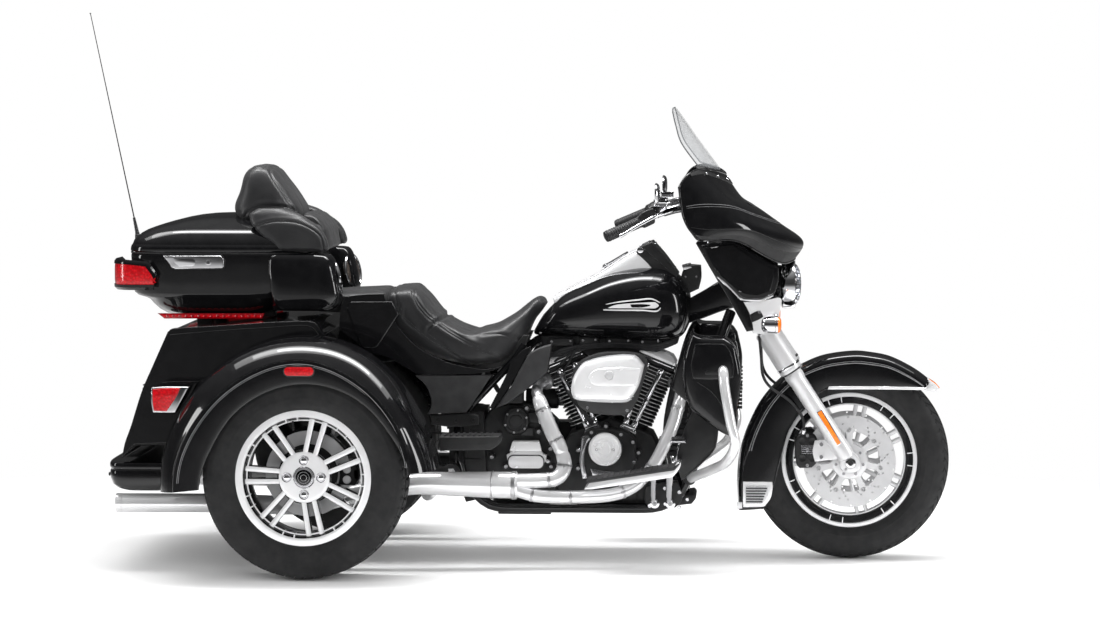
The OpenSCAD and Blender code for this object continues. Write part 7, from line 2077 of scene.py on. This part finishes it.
# ------------------------------------------------------------------ headlight and lamp bar
hl = Part("headlight_detail")
hl.add(rev([(0, 0), (50, 0), (58, 4), (61.5, 12), (61.8, 34), (60, 36), (0, 36)], (1426, 0, 880), (1, 0, 0), 64), M["gloss"])
hl.add(rev([(60, 0), (70, 0.6), (76, 4), (78, 10), (78, 30), (77, 38), (74.5, 43), (71, 44), (68.6, 42), (68, 38), (68, 8), (60, 6)], (1462, 0, 880), (1, 0, 0), 72, True), M["chrome"])
hl.add(rev([(67, 0), (66, 14), (50, 6), (0, 2)], (1470, 0, 880), (1, 0, 0), 56), M["chrome_soft"])
for y, z, r in ((0, 24, 22), (0, -25, 20), (32, 2, 11), (-32, 2, 11)):
    hl.add(rev([(r, 0), (r, 22), (r - 2, 24), (r - 3.5, 22), (r - 4, 8), (0, 8)], (1476, y, 880 + z), (1, 0, 0), 32), M["chrome"])
    hl.add(rev([(r - 4, 15), (r * 0.5, 18.5), (0, 20)], (1476, y, 880 + z), (1, 0, 0), 28), M["lamp_glass"])
hl.add(rev([(67, 0), (66, 6), (60, 13), (48, 19), (32, 23), (16, 25), (0, 25.6)], (1500, 0, 880), (1, 0, 0), 64), M["lamp_glass"])
for k in range(3):
    t_ = rad(90 + k * 120)
    hl.add(bolt((1505, 73 * cos(t_), 880 + 73 * sin(t_)), (1, 0, 0), 3.4, 2.2), M["steel"])
hl.done("steering", ("headlight",), "chrome", angle=35)

lb = Part("lamp_bar_detail")
lo_ = [(-182, 757), (182, 757), (182, 802), (-182, 802)]
lb.add(extr(pin([(-180, 760), (0, 757), (180, 760), (182, 780), (178, 799), (0, 802), (-178, 799), (-182, 780)], 4), 1438.5, 1450.5, 4, 3, "x"), M["chrome"])
lb.add(extr(pin([(-120, 770), (0, 767), (120, 770), (122, 780), (118, 790), (0, 793), (-118, 790), (-122, 780)], 4), 1449, 1453.5, 1.5, 2, "x"), M["chrome"])
for y in (-150, 150):
    lb.add(bolt((1450, y, 780), (1, 0, 0), 7, 4, 14), M["chrome"])
for s in (1, -1):
    lb.add(tube([(1444, s * 176, 770), (1442, s * 200, 768), (1434, s * 226, 768), (1428, s * 248, 768)], [11, 10, 9.5, 10], 20, 6), M["chrome"])
    lb.add(rev([(0, 0), (12, 0.6), (19, 4), (24, 11), (26.6, 22), (27, 46), (26, 48), (0, 48)], (1398, s * 270, 768), (1, 0, 0), 44), M["chrome"])
    lb.add(rev([(27.4, 0), (28.4, 1.4), (28.4, 7), (27, 9), (24.6, 9)], (1441, s * 270, 768), (1, 0, 0), 44), M["chrome"])
    lb.add(rev([(25, 0), (25, 6), (23, 10.5), (17, 13.8), (8, 14.8), (0, 15)], (1446, s * 270, 768), (1, 0, 0), 40), M["amber"])
lb.done("steering", ("lamp_bar",), "chrome", angle=35)

# ------------------------------------------------------------------ front fender and calipers
fd2 = Part("front_fender_detail")
f_out = crv([(1936, 572), (1926, 585), (1880, 617), (1812, 650), (1750, 663), (1689, 667), (1600, 654), (1531, 626), (1478, 594), (1433, 552), (1392, 498), (1360, 434), (1340, 380), (1329, 335), (1324, 290), (1321.5, 242), (1321.5, 200), (1323, 158)], 6)
f_low = crv([(1918, 553), (1900, 553), (1850, 553), (1800, 553), (1740, 553), (1680, 553), (1640, 553), (1606, 551), (1570, 528), (1530, 490), (1502, 448), (1482, 412), (1471, 375), (1462, 340), (1450, 290), (1440, 245), (1424, 200), (1402, 164)], 6)
rows = []
n_ = len(f_out)
for i in range(n_):
    o, l = np.array(f_out[i]), np.array(f_low[i])
    inw = (l - o)
    inw = inw / max(np.linalg.norm(inw), 1e-9)
    row = []
    for s in (-1, 1):
        part_row = []
        for t_ in (0, 0.12, 0.3, 0.5, 0.72, 0.9, 1.0):
            q = o + inw * 26 + (l - o - inw * 26) * (1 - t_)
            bulge = 78 + 3.0 * sin(pi * min(1, (1 - t_) * 1.0))
            part_row.append((q[0], s * bulge, q[1]))
        crown = []
        for a_ in np.linspace(0, 90, 9)[1:]:
            yy = 78 - 26 * (1 - cos(rad(a_)))
            dd = 26 * (1 - sin(rad(a_)))
            dd = dd * 0.82
            q = o + inw * (dd + 4.2)
            crown.append((q[0], s * yy, q[1]))
        mids = []
        for yy, lift in ((39, 2.4), (26, 1.2), (13, 0.35)):
            q = o + inw * lift
            mids.append((q[0], s * yy, q[1]))
        side_pts = part_row + crown + mids
        if s < 0:
            row += side_pts
            row.append((o[0], 0, o[1]))
        else:
            row += side_pts[::-1]
    rows.append(row)
F = np.array(rows)
F[:, 1:-1] = (F[:, :-2] + 2 * F[:, 1:-1] + F[:, 2:]) / 4
fd2.add(shell(F, 3.4), M["gloss"])
# rolled lower lips, fine double stripe along both sides
for j, s in ((0, -1), (-1, 1)):
    fd2.add(tube(F[:, j], 3.0, 8, 0, True), M["gloss"])
def on_f(i, j):
    return F[i, j]
nrm_f = np.cross(np.gradient(F, axis=0), np.gradient(F, axis=1))
nrm_f /= np.maximum(np.linalg.norm(nrm_f, axis=2, keepdims=True), 1e-9)
if nrm_f[len(F) // 3, F.shape[1] // 2][2] < 0:
    nrm_f = -nrm_f
nf = F.shape[1]
for side_ in (-1, 1):
    for t0, w_ in ((5.25, 1.7), (5.85, 0.9)):
        rr_ = []
        for i in range(4, n_ - 26):
            j = t0 if side_ < 0 else nf - 1 - t0
            j0 = int(j)
            p = F[i, j0] * (1 - (j - j0)) + F[i, j0 + 1] * (j - j0)
            nn_ = nrm_f[i, j0]
            t_ = F[min(i + 1, n_ - 1), j0] - F[i - 1, j0]
            t_ /= np.linalg.norm(t_)
            sd = np.cross(t_, nn_)
            rr_.append([p - sd * w_ - nn_ * 0.4, p - sd * w_ * 0.8 + nn_ * 0.7, p + sd * w_ * 0.8 + nn_ * 0.7, p + sd * w_ + nn_ * 0.4 - nn_ * 0.8])
        fd2.add(surface(rr_), M["pin"])
    # bright strip along the lower edge at the front
    fd2.add(extr(pin([(1610, 549, 0), (1700, 550), (1800, 550), (1914, 549, 0), (1924, 557, 0), (1800, 560), (1700, 560), (1614, 559, 0)], 4), side_ * 80.5, side_ * 85, 1.5, 2), M["cover"])
    # ribbed plate low on the rear edge
    fd2.add(extr(pin([(1342, 252, 0), (1422, 252), (1436, 247), (1432, 205), (1416, 180), (1404, 172), (1342, 170, 0)], 4), side_ * 79, side_ * 84.5, 1.5, 2), M["cover"])
    fd2.add(extr(pin([(1350, 240, 0), (1420, 240), (1425, 234), (1421, 205), (1408, 186), (1400, 182), (1350, 182, 0)], 4), side_ * 83.5, side_ * 85.2, 0.8, 1), M["steel"])
    for k in range(6):
        z0 = 186 + k * 8.6
        fd2.add(box(1352, 1404 + k * 3.0, side_ * 84.6, side_ * 86.4, z0, z0 + 4, 0.8, 1), M["dark_grey"])
    fd2.add(extr(pin([(1322, 186, 0), (1340, 186, 0), (1340, 166, 0), (1322, 164, 0)], 2), side_ * 79, side_ * 83, 1.2, 1), M["cover"])
    # bracket and its screws
    fd2.add(extr(pin([(1545, 522, 0), (1589, 522, 0), (1596, 505), (1589, 488, 0), (1548, 488, 0), (1540, 505)], 3), side_ * 79, side_ * 91, 3, 2), M["cast"])
    for x in (1556, 1578):
        fd2.add(bolt((x, side_ * 91, 505), (0, side_, 0), 6, 4, 14), M["chrome"])
# lamp on the tip: chrome base, amber lens
fd2.add(extr(pin([(1900, 562, 0), (1926, 580), (1940, 574), (1958, 560), (1968, 547, 0), (1960, 541), (1938, 542), (1904, 548, 0)], 4), -26, 26, 5, 3), M["cover"])
fd2.add(extr(pin([(1934, 579, 0), (1952, 568), (1964, 556), (1969, 550, 0), (1962, 548), (1950, 556), (1938, 566, 0)], 4), -18, 18, 3, 3), M["amber"])
fd2.done("steering", ("front_fender",), "gloss_black", angle=45)

bc = Part("brake_calipers_detail")
cal = pin([(1508, 332, 0), (1512, 310), (1522, 299, 0), (1560, 301, 0), (1574, 314), (1578, 332, 0), (1578, 390, 0), (1572, 404), (1560, 412, 0), (1524, 407, 0), (1510, 396), (1506, 370)], 4)
for s in (1, -1):
    ins = [(x, z) for x, _, z in inset_ring(cal, 0.5, 0)]
    bc.add(extr(ins, s * 90, s * 111.5, 6, 4), M["satin"])
    bc.add(extr(ins, s * 57, s * 71, 4, 3), M["satin"])
    # bridge over the rim of the disc, past its edge
    bc.add(box(1507, 1524, s * 62, s * 100, 330, 392, 4, 3), M["satin"])
    for z in (332, 386):
        for x in (1530, 1562):
            bc.add(rev([(15, 0), (15, 1.5), (12, 2.6), (10, 1.4), (0, 1.4)], (x, s * 111, z), (0, s, 0), 28), M["cast"])
    for z in (310, 359, 404):
        bc.add(bolt((1546, s * 111, z), (0, s, 0), 6, 4.4, 14), M["chrome"])
    for k in range(5):
        bc.add(box(1528, 1566, s * 110.6, s * 113.6, 346 + k * 6, 349 + k * 6, 1.0, 1), M["chrome_soft"])
    # lug to the leg, mounting bolts
    bc.add(extr(pin([(1570, 322, 0), (1640, 330, 0), (1644, 365), (1640, 398, 0), (1570, 390, 0), (1562, 356)], 3), s * 113.5, s * 125.5, 3, 2), M["silver"])
    for x, z in ((1590, 338), (1590, 378)):
        bc.add(bolt((x, s * 125.5, z), (0, s, 0), 7.5, 6, 14), M["chrome"])
    # hose down from behind the fork
    bc.add(tube([(1392, s * 146, 724), (1398, s * 156, 660), (1404, s * 158, 600), (1430, s * 154, 560), (1490, s * 134, 516), (1530, s * 114, 462), (1534, s * 100, 412)], 4.6, 14, 8), M["grip"])
    bc.add(cyl((1534, s * 100, 404), (1534, s * 104, 424), 7, n=20, b=1.5), M["chrome"])
bc.done("steering", ("brake_calipers",), "satin_black", angle=35)

# ------------------------------------------------------------------ engine guard and lower fairings
gp = [(1250, 106, 615), (1264, 200, 622), (1275, 320, 638), (1280, 378, 632), (1286, 404, 576), (1304, 410, 474), (1318, 402, 404), (1290, 345, 344), (1242, 262, 309), (1168, 160, 268)]
eg = Part("engine_guard_detail")
for s in (1, -1):
    eg.add(tube([(x, s * y, z) for x, y, z in gp], 15.8, 26, 8), M["pipe"])
    for i in (0, -1):
        x, y, z = gp[i]
        x2, y2, z2 = gp[1] if i == 0 else gp[-2]
        d_ = np.array((x2 - x, s * (y2 - y), z2 - z), float)
        eg.add(rev([(15, 0), (20, 1), (21, 4), (21, 12), (19, 15), (15, 16)], (x, s * y, z), d_, 28, True), M["cast"])
eg.done("chassis", ("engine_guard",), "chrome", angle=40)

lf = Part("lower_fairings_detail")
LR = [(1286, 38, 40, 432, .5, 332), (1262, 66, 46, 470, .5, 330), (1244, 88, 48, 540, .5, 330), (1244, 92, 48, 620, .5, 330), (1248, 78, 48, 700, .5, 330), (1242, 56, 46, 738, .5, 330), (1234, 40, 36, 752, .5, 330)]
outl = pin([(1181, 752, 0), (1204, 740), (1240, 738), (1282, 737, 0), (1306, 722), (1320, 702, 0), (1334, 640), (1336, 600), (1332, 550), (1327, 512), (1325, 470), (1322, 432, 0), (1300, 424), (1262, 444, 0), (1226, 470), (1187, 502, 0), (1176, 518), (1160, 560), (1152, 620), (1160, 690)], 5)
rk_ = []
for s in (1, -1):
    def lr(dst, y):
        return [(x, s * y, z) for x, _, z in inset_ring(outl, dst, 0)]
    lf.add(loft([lr(18, 286), lr(8, 292), lr(2, 304), lr(0, 318), lr(0, 346), lr(1.4, 358), lr(5, 367), lr(11, 373.5), lr(20, 377), lr(36, 378.4), lr(60, 378.8)]), M["gloss"])
    # the door of the glove box, set in by a dark line, with a blank latch
    door = pin([(1192, 716, 0), (1240, 718), (1284, 716, 0), (1304, 690), (1314, 650), (1312, 610, 0), (1250, 604), (1186, 606, 0), (1180, 650)], 4)
    lf.add(extr([(x, z) for x, _, z in inset_ring(door, 0, 0)], s * 374, s * 379.2, 1.6, 2), M["satin"])
    lf.add(extr([(x, z) for x, _, z in inset_ring(door, 2.5, 0)], s * 376, s * 381.5, 2.2, 3), M["gloss"])
    lf.add(extr([(1246 + x, 626 + z) for x, z in lozenge(44, 13, 6)], s * 380, s * 384, 1.6, 2), M["satin"])
    # long crease running down the outside, and a vent grille at the front edge
    lf.add(tube([(1200, s * 378, 596), (1250, s * 379.6, 560), (1290, s * 379, 500), (1306, s * 376, 450)], 1.4, 8, 8), M["satin"])
    for k in range(7):
        z0 = 512 + k * 12
        lf.add(box(1324, 1338, s * 300, s * 352, z0, z0 + 4, 1.4, 1), M["plastic"])
    # inner flap towards the engine
    flap = pin([(1186, 760, 0), (1160, 716), (1142, 668), (1128, 616), (1117, 567, 0), (1150, 540), (1178, 520, 0), (1196, 560), (1200, 700, 0)], 4)
    lf.add(extr(flap, s * 286, s * 300, 4, 3), M["gloss"])
    low2 = pin([(1187, 502, 0), (1230, 466), (1262, 442, 0), (1258, 400), (1250, 374, 0), (1200, 322), (1150, 280, 0), (1138, 320), (1136, 360, 0), (1158, 440)], 4)
    lf.add(extr(low2, s * 288, s * 302, 4, 3), M["satin"])
    lf.add(tube([(1262, s * 300, 444), (1258, s * 302, 404), (1246, s * 302, 372), (1200, s * 302, 324), (1152, s * 300, 284)], 3.4, 10, 8), M["satin"])
    # clamp to the guard
    lf.add(rev([(16.4, 0), (24, 0.8), (24, 15.2), (16.4, 16)], (1270, s * 264, 630), (11, s * 120, 12), 32, True), M["satin"])
lf.done("chassis", ("lower_fairings",), "gloss_black", angle=40)
